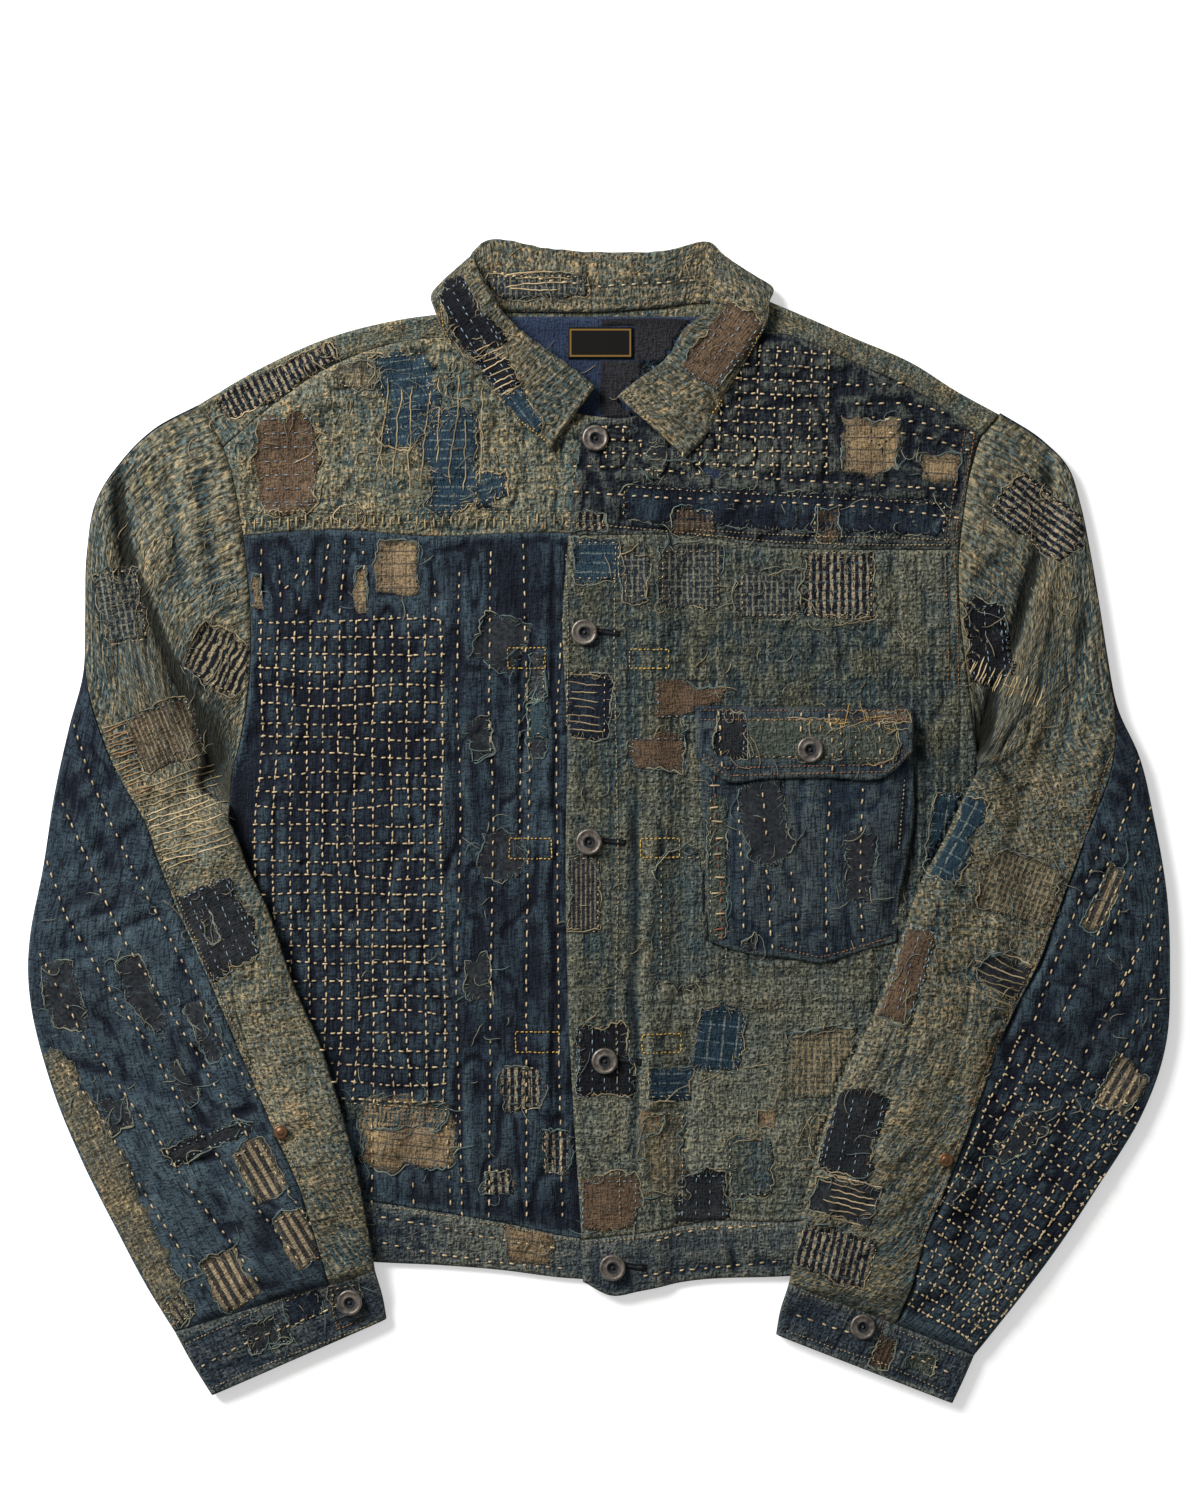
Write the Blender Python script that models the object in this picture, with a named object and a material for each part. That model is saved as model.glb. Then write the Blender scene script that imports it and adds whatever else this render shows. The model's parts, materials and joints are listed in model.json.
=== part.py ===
"""Patched boro jacket, laid flat on its back with both sleeves over its sides.

Each piece that is cut and sewn is one closed sheet of cloth at its true wall. The jacket lies on
z = 0, its collar towards +Y and its front opening up. Tables are in millimetres; the finished
meshes are in metres. "Right" and "left" are the wearer's, so the right front lies at -X.
"""
import math

import bmesh
import bpy
import numpy as np
from mathutils import Vector
from mathutils.bvhtree import BVHTree

MM = 0.001

# Walls, in millimetres: patched cloth, waistband, sleeves and cuffs, neck lining, woven label
CLOTH = 2.0
BAND = 2.6
SLEEVE_WALL = 2.8
LINING = 1.0
LABEL = 0.7
# Clearance between two pieces that touch, and how far an edge stands back from its seam line
GAP = 0.3
SETBACK = 0.16
ARMHOLE_SETBACK = 0.8
SEAM_CLEARANCE = 0.42

# How the fronts lie over the back: air under the middle, and how far in from the side it starts
FRONT_LIFT = 2.9
LIFT_REACH = 32.0
# The left front laps over the right one from x = LAP_END inwards
LAP_STEP = 3.3
LAP_END = 50.0
LAP_REACH = 14.0

BUTTON_RADIUS = 8.5
CUFF_BUTTON_RADIUS = 8.2
BUTTON_HEIGHT = 3.2
RIVET_RADIUS = 4.4
RIVET_HEIGHT = 1.8
ROUND_SIDES = 16

# Points along the seams that two pieces share, so that their edges run side by side
SHOULDER_COLUMNS = 6
NECK_COLUMNS = 7
SEAM_COLUMNS = SHOULDER_COLUMNS + NECK_COLUMNS - 1

# Side seam and armhole from hem to shoulder: y, x of the right edge, x of the left edge
BODY_EDGE = (
    (-292, -211, 209),
    (-246, -216, 213),
    (-209, -224, 221),
    (-145, -233, 234),
    (-81, -239, 243),
    (-40, -240, 246),
    (-5, -237, 245),
    (12, -237, 243),
    (31, -236, 241),
    (51, -231, 241),
    (66, -228, 239),
    (90, -225, 236),
    (130, -224, 231),
    (169, -227, 230),
    (198, -231, 233),
    (231, -238, 239),
    (250, -246, 246),
    (261, -253, 255),
    (268, -258, 261),
)
# Edge of the left front, from hem to neck: y, x
OPENING_EDGE = (
    (-303, -5),
    (-293, -12),
    (-267, -12),
    (-216, -15),
    (-126, -20),
    (-22, -22),
    (60, -21),
    (130, -24),
    (184, -20),
    (257, -12),
)
# Seams across the body: x, y
RIGHT_WAIST_SEAM = ((-217, -240), (-146, -243), (-112, -248), (-59, -257), (-16, -266), (18, -268))
RIGHT_HEM = ((-212, -276), (-144, -282), (-102, -284), (-64, -287), (-24, -292), (18, -294))
LEFT_WAIST_SEAM = ((-12, -267), (31, -262), (79, -255), (112, -256), (168, -252), (213, -246))
LEFT_HEM = ((-11, -294), (8, -303), (26, -300), (58, -294), (120, -291), (168, -287), (210, -281))
RIGHT_YOKE_SEAM = ((-228, 184), (-194, 187), (-164, 188), (-117, 184), (-47, 186), (18, 185))
LEFT_YOKE_SEAM = ((-20, 184), (74, 182), (96, 178), (161, 175), (230, 175))
BACK_WAIST_SEAM = ((-217, -242), (0, -250), (213, -247))
BACK_HEM = ((-211, -275), (0, -283), (209, -279))
BACK_YOKE_Y = 150.0
# Shoulder line (the fold) and the shoulder seam in front of it, from neck to armhole: x, y
RIGHT_FOLD = ((-88, 328), (-128, 323), (-172, 312), (-221, 290), (-256, 268))
LEFT_FOLD = ((100, 338), (129, 326), (161, 312), (202, 294), (227, 278), (253, 261))
RIGHT_SHOULDER_SEAM = ((-88, 312), (-129, 308), (-172, 293), (-212, 266), (-241, 241))
LEFT_SHOULDER_SEAM = ((100, 318), (129, 310), (161, 296), (211, 272), (244, 248))
# Neckline of each front, from shoulder seam to front edge, and of the back: x, y
RIGHT_NECK = ((-88, 312), (-76, 303), (-61, 288), (-44, 274), (-20, 264), (18, 258))
LEFT_NECK = ((100, 318), (90, 301), (75, 285), (59, 274), (30, 262), (-12, 257))
BACK_NECK = ((-88, 328), (-70, 331), (0, 331), (74, 337), (100, 338))

# Collar from its right front end round the neck to its left front end:
# seam x, y; roll x, y; outer edge x, y; lie of the fall (0 on top, 180 underneath); how far the
# outer edge stays clear of the cloth under it
COLLAR = (
    (-14, 264, -3, 279, -32, 239, 0, 0.0),
    (-27, 268, -14, 288, -47, 253, 0, 0.0),
    (-47, 276, -32, 301, -63, 269, 0, 0.0),
    (-64, 290, -53, 317, -80, 289, 0, 0.6),
    (-79, 304, -65, 331, -95, 306, 0, 2.2),
    (-87, 316, -74, 347, -105, 326, 25, 3.2),
    (-82, 328, -80, 362, -106, 342, 90, 0.0),
    (-70, 328, -76, 371, -92, 354, 150, 0.0),
    (-37, 328, -37, 369, -42, 341, 180, 0.0),
    (1, 328, 1, 366, 1, 339, 180, 0.0),
    (40, 331, 40, 366, 44, 341, 180, 0.0),
    (74, 334, 73, 370, 90, 354, 150, 0.0),
    (92, 334, 75, 362, 107, 346, 90, 0.0),
    (99, 321, 73, 346, 108, 332, 25, 3.2),
    (91, 303, 70, 330, 107, 320, 0, 2.6),
    (77, 287, 54, 315, 97, 302, 0, 0.6),
    (62, 276, 44, 298, 81, 275, 0, 0.0),
    (42, 267, 25, 283, 67, 247, 0, 0.0),
    (25, 263, 11, 272, 55, 234, 0, 0.0),
)
COLLAR_ROLL_RADIUS = 1.7
BACK_SEAM_Z = 3.4
BACK_STAND_CLIMB = 1.4

# Sleeves from armhole to cuff: outer edge x, y; inner edge x, y; share of the width at which the
# seam between the front and back piece shows; height of the upper side
RIGHT_SLEEVE = (
    (-258, 268, -236, 31, 0.00, 7.6),
    (-287, 252, -239, 28, 0.00, 8.0),
    (-308, 231, -240, 25, 0.00, 8.5),
    (-323, 206, -240.5, 22, 0.00, 9.0),
    (-329, 172, -240.5, 19, 0.00, 9.2),
    (-330, 132, -240.5, 16, 0.00, 9.4),
    (-331, 97, -240, 12, 0.02, 9.6),
    (-340, 62, -239, 5, 0.235, 9.8),
    (-349, 22, -233, -7, 0.465, 9.8),
    (-357, -28, -225, -28, 0.576, 9.6),
    (-365.5, -72, -212, -55, 0.638, 9.6),
    (-365.5, -114, -196, -102, 0.70, 9.6),
    (-353, -165, -178, -143, 0.714, 9.6),
    (-334, -213, -164, -188, 0.74, 9.6),
    (-309, -263, -153, -232, 0.77, 9.4),
    (-292, -295, -148, -260, 0.775, 9.2),
    (-273, -326, -144, -286, 0.78, 9.0),
)
LEFT_SLEEVE = (
    (256, 263, 241, 51, 0.00, 7.6),
    (284, 245, 244, 49, 0.00, 8.0),
    (300, 228, 245, 47, 0.00, 8.5),
    (308, 204, 245.5, 45, 0.00, 9.0),
    (314, 175, 245.5, 43, 0.00, 9.2),
    (320, 140, 245.5, 41, 0.00, 9.4),
    (325, 108, 244.5, 38, 0.01, 9.6),
    (331, 76, 241, 32, 0.02, 9.6),
    (345, 44, 233, 17, 0.15, 9.8),
    (355, 3, 221, -8, 0.306, 9.8),
    (363, -42, 205, -38, 0.405, 9.6),
    (365.5, -92, 190, -80, 0.477, 9.6),
    (363, -142, 174, -124, 0.55, 9.6),
    (348, -186, 153, -167, 0.54, 9.6),
    (318, -235, 138, -212, 0.52, 9.6),
    (287, -281, 127, -258, 0.506, 9.4),
    (264, -311, 124, -277, 0.465, 9.2),
    (240, -341, 121, -294, 0.43, 9.0),
)
# Cuffs: outer edge x, y; inner edge x, y; share at which the button tab ends; height
RIGHT_CUFF = (
    (-273, -326, -144, -286, 0.77, 8.8),
    (-262, -346, -140, -301, 0.765, 8.8),
    (-249, -367, -137, -318, 0.76, 8.6),
)
LEFT_CUFF = (
    (240, -341, 121, -294, 0.48, 8.8),
    (233, -357, 116, -311, 0.475, 8.8),
    (226, -372, 113, -328, 0.47, 8.6),
)
# Where the bent sleeve folds over its own cap: y, x of the right fold, x of the left fold
SLEEVE_FOLD = (
    (-40, -80, 80),
    (0, -190, 160),
    (12, -238, 205),
    (44, -252, 243),
    (92, -273, 258),
    (138, -294, 274),
    (168, -306, 282),
    (215, -312, 290),
    (268, -300, 285),
)
# y between which each sleeve climbs from the table on to the body: low end, high end
RIGHT_CLIMB = (3.0, 14.0)
LEFT_CLIMB = (39.0, 49.0)
CLIMB_HEIGHT = 3.9
CLIMB_START = 7.0
CLIMB_REACH = 28.0
CLIMB_SHARE = 0.88
SIDE_ROUNDNESS = 7.0

# Patch pocket on the left front, and its flap: x, y
POCKET_BOTTOM = ((70, -76), (84, -81), (129, -88), (141, -90), (161, -84), (190, -76))
POCKET_TOP = ((63, 58), (100, 58), (150, 58), (200, 58))
POCKET_RIGHT = ((190, -76), (192, -47), (200, -8), (200, 58))
POCKET_BULGE = 3.2
FLAP_CLEARANCE = 0.5
FLAP_TOP = ((61, 75), (130, 74), (200, 74))
FLAP_BOTTOM = ((61, 42), (83, 26), (103, 28), (145, 29), (183, 30), (200, 46))

LINING_X = (-74.0, 88.0)
LINING_Y = (205.0, 325.0)
LABEL_X = (-20.5, 21.0)
LABEL_Y = (298.0, 318.0)

# Soft folds of the body: start x, y; end x, y; height; half width
BODY_FOLDS = (
    (-35, 175, -30, -240, 1.0, 9.0),
    (34, 150, 30, -235, 0.9, 8.0),
    (-215, 100, -120, 150, 0.9, 14.0),
    (-190, -215, -60, -236, 0.8, 10.0),
    (60, -225, 190, -205, 0.8, 11.0),
    (205, 150, 120, 110, 0.8, 13.0),
)

# Tack buttons down the front: x, y
FRONT_BUTTONS = ((-3, 246), (-10, 122), (-7, -12), (3, -152), (8, -284))
FLAP_BUTTON = (134, 47)
RIGHT_CUFF_BUTTON = (-160, -306)
LEFT_CUFF_BUTTON = (168, -322)
RIGHT_RIVET = (-203, -196)
LEFT_RIVET = (220, -214)

# Colours as linear red, green, blue, with roughness and metallic
LOOKS = {
    "indigo": ((0.020, 0.035, 0.070), 0.95, 0.0),
    "faded_teal": ((0.085, 0.110, 0.105), 0.95, 0.0),
    "olive_indigo": ((0.060, 0.070, 0.060), 0.95, 0.0),
    "lining_blue": ((0.040, 0.045, 0.085), 0.95, 0.0),
    "black_label": ((0.012, 0.012, 0.012), 0.85, 0.0),
    "aged_steel": ((0.160, 0.150, 0.135), 0.55, 0.9),
    "aged_copper": ((0.250, 0.120, 0.070), 0.55, 0.9),
}


def clear_scene():
    for item in list(bpy.data.objects):
        bpy.data.objects.remove(item, do_unlink=True)


def material(look):
    found = bpy.data.materials.get(look)
    if found:
        return found
    colour, roughness, metallic = LOOKS[look]
    made = bpy.data.materials.new(look)
    made.use_nodes = True
    shader = made.node_tree.nodes["Principled BSDF"]
    shader.inputs["Base Color"].default_value = (*colour, 1.0)
    shader.inputs["Roughness"].default_value = roughness
    shader.inputs["Metallic"].default_value = metallic
    return made


# ---------------------------------------------------------------- curves and heights

def ease(value, low, high):
    """0 below low, 1 above high, smooth between."""
    share = np.clip((np.asarray(value, dtype=float) - low) / (high - low), 0.0, 1.0)
    return share * share * (3.0 - 2.0 * share)


def hermite(knots, values, at):
    """Smooth curve through the values at the knots; values may be points."""
    knots = np.asarray(knots, dtype=float)
    values = np.asarray(values, dtype=float)
    at = np.clip(np.asarray(at, dtype=float), knots[0], knots[-1])
    slopes = np.gradient(values, knots, axis=0)
    first = np.clip(np.searchsorted(knots, at, side="right") - 1, 0, len(knots) - 2)
    step = knots[first + 1] - knots[first]
    share = (at - knots[first]) / step
    if values.ndim > 1:
        share = share[..., None]
        step = step[..., None]
    square = share * share
    cube = square * share
    start = (2.0 * cube - 3.0 * square + 1.0) * values[first]
    start_slope = (cube - 2.0 * square + share) * step * slopes[first]
    end = (3.0 * square - 2.0 * cube) * values[first + 1]
    end_slope = (cube - square) * step * slopes[first + 1]
    return start + start_slope + end + end_slope


def along(points, count):
    """The given number of points, evenly spaced on a smooth curve through a table's points."""
    points = np.asarray(points, dtype=float)
    runs = np.linalg.norm(np.diff(points, axis=0), axis=1)
    knots = np.concatenate([[0.0], np.cumsum(runs)])
    return hermite(knots, points, np.linspace(0.0, knots[-1], count))


def column(table, index, at):
    """A table's column at the given values of its first column."""
    rows = np.asarray(table, dtype=float)
    return hermite(rows[:, 0], rows[:, index], at)


def edge_points(index, low, high, count):
    """Points up the side seam and armhole between two heights; index 1 is right, 2 is left."""
    heights = np.linspace(low, high, count)
    return np.stack([column(BODY_EDGE, index, heights), heights], axis=1)


def opening_points(low, high, count):
    heights = np.linspace(low, high, count)
    return np.stack([column(OPENING_EDGE, 1, heights), heights], axis=1)


def outside_body(x, y):
    """How far a point lies outside the sides or below the hem; negative inside."""
    right = column(BODY_EDGE, 1, y) - x
    left = x - column(BODY_EDGE, 2, y)
    hem = np.where(x < 0.0, column(RIGHT_HEM, 1, x), column(LEFT_HEM, 1, x)) - y
    return np.maximum(np.maximum(right, left), hem)


def fold_height(x, y, folds):
    total = np.zeros_like(np.asarray(x, dtype=float) + np.asarray(y, dtype=float))
    for start_x, start_y, end_x, end_y, height, half_width in folds:
        run = np.array([end_x - start_x, end_y - start_y], dtype=float)
        length = math.hypot(*run)
        forward = ((x - start_x) * run[0] + (y - start_y) * run[1]) / length
        aside = ((x - start_x) * run[1] - (y - start_y) * run[0]) / length
        fade = ease(forward, 0.0, 0.25 * length) * ease(length - forward, 0.0, 0.25 * length)
        total = total + height * fade * np.exp(-((aside / half_width) ** 2))
    return total


def right_under(x, y):
    """Underside of the right front: just clear of the back at the sides, lifted inside."""
    inside = ease(-outside_body(x, y), 0.0, LIFT_REACH)
    armhole = ease(y, 20.0, 70.0)
    lift = np.maximum(inside, armhole)
    return CLOTH + GAP + lift * (FRONT_LIFT + fold_height(x, y, BODY_FOLDS))


def left_under(x, y):
    """Underside of the left front: like the right one, stepped up where it laps over it."""
    return right_under(x, y) + LAP_STEP * ease(LAP_END - x, 0.0, LAP_REACH)


def front_under(x, y, side):
    return right_under(x, y) if side == "right" else left_under(x, y)


def sleeve_rest(x, y, side):
    """What the sleeve lies on: the table outside the body, the front's upper side inside."""
    low, high = RIGHT_CLIMB if side == "right" else LEFT_CLIMB
    climbed = 1.0 - ease(y, low, high)
    beside = 1.0 - ease(outside_body(x, y), CLIMB_START, CLIMB_REACH)
    return (right_under(x, y) + CLIMB_HEIGHT) * beside * climbed


def sleeve_upper(x, y, side, height):
    """Upper side of the sleeve: low on its cap, higher past the fold where it bends."""
    cap = right_under(x, y) + CLOTH
    tube = np.maximum(height + CLIMB_SHARE * sleeve_rest(x, y, side), cap)
    index = 1 if side == "right" else 2
    past = (column(SLEEVE_FOLD, index, y) - x) * (1.0 if side == "right" else -1.0)
    return cap + (tube - cap) * ease(past, -4.0, 15.0)


# ---------------------------------------------------------------- solids from sheets

def new_object(name, vertices, faces, look, smooth=False):
    mesh = bpy.data.meshes.new(name)
    mesh.from_pydata([tuple(MM * value for value in vertex) for vertex in vertices], [], faces)
    surface = bmesh.new()
    surface.from_mesh(mesh)
    bmesh.ops.recalc_face_normals(surface, faces=surface.faces)
    surface.to_mesh(mesh)
    surface.free()
    made = bpy.data.objects.new(name, mesh)
    bpy.context.scene.collection.objects.link(made)
    mesh.materials.append(material(look))
    if smooth:
        mesh.shade_smooth()
        mesh.set_sharp_from_angle(angle=math.radians(40.0))
    return made


def cloth_solid(name, outer, inner, look, cells=None):
    """Closed solid between two grids of points, outer and inner, walled round its edge.

    The outer side's normal points out when its rows run up and its columns to the right. A grid
    of booleans may leave cells out.
    """
    rows, columns = outer.shape[:2]
    if cells is None:
        cells = np.ones((rows - 1, columns - 1), dtype=bool)
    numbers = {}
    vertices = []

    def vertex(row, column_index, layer):
        key = (row, column_index, layer)
        if key not in numbers:
            numbers[key] = len(vertices)
            grid = outer if layer == 0 else inner
            vertices.append(tuple(grid[row, column_index]))
        return numbers[key]

    faces = []
    border = {}
    for row in range(rows - 1):
        for col in range(columns - 1):
            if not cells[row, col]:
                continue
            corners = [(row, col), (row, col + 1), (row + 1, col + 1), (row + 1, col)]
            faces.append([vertex(*corner, 0) for corner in corners])
            faces.append([vertex(*corner, 1) for corner in reversed(corners)])
            for start, end in zip(corners, corners[1:] + corners[:1]):
                if (end, start) in border:
                    del border[(end, start)]
                else:
                    border[(start, end)] = True
    for start, end in border:
        faces.append([vertex(*end, 0), vertex(*start, 0), vertex(*start, 1), vertex(*end, 1)])
    return new_object(name, vertices, faces, look)


def patch(bottom, top, left, right, setback=(SETBACK, SETBACK, SETBACK, SETBACK)):
    """Grid of points filling four seam lines, stood back from each: bottom, top, left, right."""
    across = np.linspace(0.0, 1.0, len(bottom))[None, :, None]
    up = np.linspace(0.0, 1.0, len(left))[:, None, None]
    bottom_top = (1.0 - up) * bottom[None] + up * top[None]
    left_right = (1.0 - across) * left[:, None] + across * right[:, None]
    corners = ((1.0 - up) * ((1.0 - across) * bottom[0] + across * bottom[-1])
               + up * ((1.0 - across) * top[0] + across * top[-1]))
    grid = bottom_top + left_right - corners
    moved = grid.copy()
    for line, inner_line, distance in ((0, 1, setback[0]), (-1, -2, setback[1])):
        step = grid[inner_line] - grid[line]
        moved[line] += distance * step / np.linalg.norm(step, axis=1, keepdims=True)
    for line, inner_line, distance in ((0, 1, setback[2]), (-1, -2, setback[3])):
        step = grid[:, inner_line] - grid[:, line]
        moved[:, line] += distance * step / np.linalg.norm(step, axis=1, keepdims=True)
    return moved


def raised(grid, heights):
    return np.dstack([grid, np.broadcast_to(heights, grid.shape[:2])])


def flat_piece(name, grid, under, wall, look):
    """A piece that lies as a sheet: the grid at the height of its underside, and a wall above."""
    heights = under(grid[..., 0], grid[..., 1]) + 0.0 * grid[..., 0]
    return cloth_solid(name, raised(grid, heights + wall), raised(grid, heights), look)


def joined(first, second):
    """Two lines of points that share a corner, as one line."""
    return np.concatenate([first, second[1:]])


# ---------------------------------------------------------------- body

def build_back():
    across = 9
    side_rows = 14
    right = edge_points(1, -242.0, BACK_YOKE_Y, side_rows)
    left = edge_points(2, -247.0, BACK_YOKE_Y, side_rows)
    yoke_seam = np.linspace(right[-1], left[-1], across)
    waist = along(BACK_WAIST_SEAM, across)
    waist[0], waist[-1] = right[0], left[0]
    hem = along(BACK_HEM, across)
    flat_piece("back", patch(waist, yoke_seam, right, left), lambda x, y: 0.0 * x, CLOTH, "indigo")
    band = patch(hem, waist, np.linspace(hem[0], waist[0], 3), np.linspace(hem[-1], waist[-1], 3))
    flat_piece("back_waistband", band, lambda x, y: 0.0 * x, CLOTH, "indigo")


def build_back_yoke():
    """The yoke lies under the fronts and turns over each shoulder to the seam in front of it."""
    shoulder_columns = SHOULDER_COLUMNS
    neck_columns = 7
    fold_right = along(RIGHT_FOLD, shoulder_columns)[::-1]
    fold_left = along(LEFT_FOLD, shoulder_columns)
    seam_right = along(RIGHT_SHOULDER_SEAM, shoulder_columns)[::-1]
    seam_left = along(LEFT_SHOULDER_SEAM, shoulder_columns)
    neck = along(BACK_NECK, neck_columns)
    fold = joined(joined(fold_right, neck), fold_left)
    seam = joined(joined(seam_right, neck), seam_left)
    out = fold - seam
    out[shoulder_columns - 1:shoulder_columns + neck_columns - 1] = (0.0, 1.0)
    out /= np.linalg.norm(out, axis=1, keepdims=True)

    turned = np.ones(len(fold), dtype=bool)
    turned[shoulder_columns:shoulder_columns + neck_columns - 2] = False
    front = front_under(fold[:, 0], fold[:, 1], "right")
    radius = 0.5 * (front + CLOTH)
    centre = fold - out * radius[:, None]
    rim = np.where(turned[:, None], centre, fold)

    lower_rows = 9
    right = edge_points(1, BACK_YOKE_Y, 262.0, lower_rows)
    left = edge_points(2, BACK_YOKE_Y, 256.0, lower_rows)
    right[-1], left[-1] = rim[0], rim[-1]
    start = np.linspace(right[0], left[0], len(fold))
    lower = patch(start, rim, right, left, (SETBACK, 0.0, SETBACK, SETBACK))
    outer_rows = [raised(lower, 0.0)]
    inner_rows = [raised(lower, CLOTH)]
    for angle in (-60.0, -30.0, 0.0, 30.0, 60.0, 90.0):
        reach = math.cos(math.radians(angle))
        rise = math.sin(math.radians(angle))
        for rows, arc in ((outer_rows, radius), (inner_rows, radius - CLOTH)):
            ring = centre + out * (arc * reach)[:, None]
            height = radius + arc * rise
            rows.append(np.column_stack([ring, height])[None])
    for share in (0.5, 1.0):
        top = centre + (seam - centre) * share
        if share == 1.0:
            top = top + out * SETBACK
        height = front_under(top[:, 0], top[:, 1], "right")
        outer_rows.append(np.column_stack([top, height + CLOTH])[None])
        inner_rows.append(np.column_stack([top, height])[None])
    outer = np.concatenate(outer_rows)
    inner = np.concatenate(inner_rows)
    cells = np.ones((outer.shape[0] - 1, outer.shape[1] - 1), dtype=bool)
    first_turned = lower_rows - 1
    cells[first_turned:, shoulder_columns - 1:shoulder_columns + neck_columns - 2] = False
    cloth_solid("back_yoke", outer[:, ::-1], inner[:, ::-1], "faded_teal", cells[:, ::-1])


def build_front_yokes():
    shoulder_columns = SHOULDER_COLUMNS
    neck_columns = NECK_COLUMNS
    across = SEAM_COLUMNS
    rows = 6
    top = joined(along(RIGHT_SHOULDER_SEAM, shoulder_columns)[::-1], along(RIGHT_NECK, neck_columns))
    bottom = along(RIGHT_YOKE_SEAM, across)
    armhole = edge_points(1, bottom[0][1], top[0][1], rows)
    armhole[0], armhole[-1] = bottom[0], top[0]
    lap = np.linspace(bottom[-1], top[-1], rows)
    flat_piece("right_front_yoke", patch(bottom, top, armhole, lap), right_under, CLOTH, "faded_teal")

    top = joined(along(LEFT_NECK, neck_columns)[::-1], along(LEFT_SHOULDER_SEAM, shoulder_columns))
    bottom = along(LEFT_YOKE_SEAM, across)
    armhole = edge_points(2, bottom[-1][1], top[-1][1], rows)
    armhole[0], armhole[-1] = bottom[-1], top[-1]
    opening = opening_points(bottom[0][1], top[0][1], rows)
    opening[0], opening[-1] = bottom[0], top[0]
    flat_piece("left_front_yoke", patch(bottom, top, opening, armhole), left_under, CLOTH, "indigo")


def build_fronts():
    across = SEAM_COLUMNS
    rows = 15
    bottom = along(RIGHT_WAIST_SEAM, across)
    top = along(RIGHT_YOKE_SEAM, across)
    side = edge_points(1, bottom[0][1], top[0][1], rows)
    side[0], side[-1] = bottom[0], top[0]
    lap = np.linspace(bottom[-1], top[-1], rows)
    flat_piece("right_front", patch(bottom, top, side, lap), right_under, CLOTH, "indigo")

    bottom = along(LEFT_WAIST_SEAM, across)
    top = along(LEFT_YOKE_SEAM, across)
    side = edge_points(2, bottom[-1][1], top[-1][1], rows)
    side[0], side[-1] = bottom[-1], top[-1]
    opening = opening_points(bottom[0][1], top[0][1], rows)
    opening[0], opening[-1] = bottom[0], top[0]
    flat_piece("left_front", patch(bottom, top, opening, side), left_under, CLOTH, "olive_indigo")


def build_waistbands():
    across = SEAM_COLUMNS
    rows = 3
    bottom = along(RIGHT_HEM, across)
    top = along(RIGHT_WAIST_SEAM, across)
    ends = [np.linspace(bottom[end], top[end], rows) for end in (0, -1)]
    flat_piece("right_waistband", patch(bottom, top, *ends), right_under, BAND, "indigo")
    bottom = along(LEFT_HEM, across)
    top = along(LEFT_WAIST_SEAM, across)
    ends = [np.linspace(bottom[end], top[end], rows) for end in (0, -1)]
    flat_piece("left_waistband", patch(bottom, top, *ends), left_under, BAND, "indigo")


# ---------------------------------------------------------------- collar, lining and label

def collar_station(row):
    """Outer and inner points of the collar's section: stand, roll and fall."""
    seam_x, seam_y, roll_x, roll_y, edge_x, edge_y, lie, clear = row
    side = "right" if seam_x < 0.0 else "left"
    turn = math.radians(lie)
    on_front = lie < 90.0
    seam = np.array([seam_x, seam_y])
    roll = np.array([roll_x, roll_y])
    edge = np.array([edge_x, edge_y])
    half = 0.5 * CLOTH
    front_z = float(front_under(seam_x, seam_y, side)) + CLOTH + GAP + half
    seam_z = front_z if on_front else BACK_SEAM_Z + (2.0 if lie == 90.0 else 0.0)
    toward = roll - seam
    length = np.linalg.norm(toward)
    toward = toward / length
    outward = np.array([-toward[1], toward[0]])
    if side == "left" and lie not in (0.0, 180.0):
        outward = -outward
    normal = np.array([*(outward * math.sin(turn)), math.cos(turn)])
    forward = np.array([*toward, 0.0])
    base = np.array([*seam, seam_z])
    radius = COLLAR_ROLL_RADIUS
    climb = np.array([0.0, 0.0, 0.0 if on_front else BACK_STAND_CLIMB])
    mids = [base, base + forward * 0.5 * (length - radius) + 0.6 * climb]
    mids.append(base + forward * (length - radius) + climb)
    normals = [normal, normal, normal]
    centre = mids[-1] + normal * radius
    for angle in (-45.0, 0.0, 45.0, 90.0):
        turned = math.radians(angle)
        away = forward * math.cos(turned) + normal * math.sin(turned)
        mids.append(centre + away * radius)
        normals.append(-away)
    start = mids[-1]
    edge_z = 1.3
    if on_front:
        edge_z = float(front_under(edge_x, edge_y, side)) + CLOTH + GAP + half + clear
    elif lie == 90.0:
        edge_z = 5.6
    end = np.array([*edge, edge_z])
    span = np.linalg.norm(edge - start[:2])
    covered = min((length + 5.0) / span, 0.86) if on_front else 0.4
    for share in (0.5 * covered, covered, 0.5 * (1.0 + covered), 1.0):
        point = start + (end - start) * share
        if on_front:
            drop = float(ease(share, covered, 1.0))
            point[2] = start[2] + (end[2] - start[2]) * drop
        mids.append(point)
        normals.append(-normal)
    mids = np.array(mids)
    normals = np.array(normals)
    return mids - normals * half, mids + normals * half


def build_collar():
    outer = []
    inner = []
    for row in COLLAR:
        first, second = collar_station(row)
        outer.append(second)
        inner.append(first)
    cloth_solid("collar", np.array(outer), np.array(inner), "faded_teal")


def rectangle(x_range, y_range, across, rows):
    bottom = np.array([[x, y_range[0]] for x in np.linspace(*x_range, across)])
    top = np.array([[x, y_range[1]] for x in np.linspace(*x_range, across)])
    ends = [np.linspace(bottom[end], top[end], rows) for end in (0, -1)]
    return patch(bottom, top, *ends)


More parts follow.
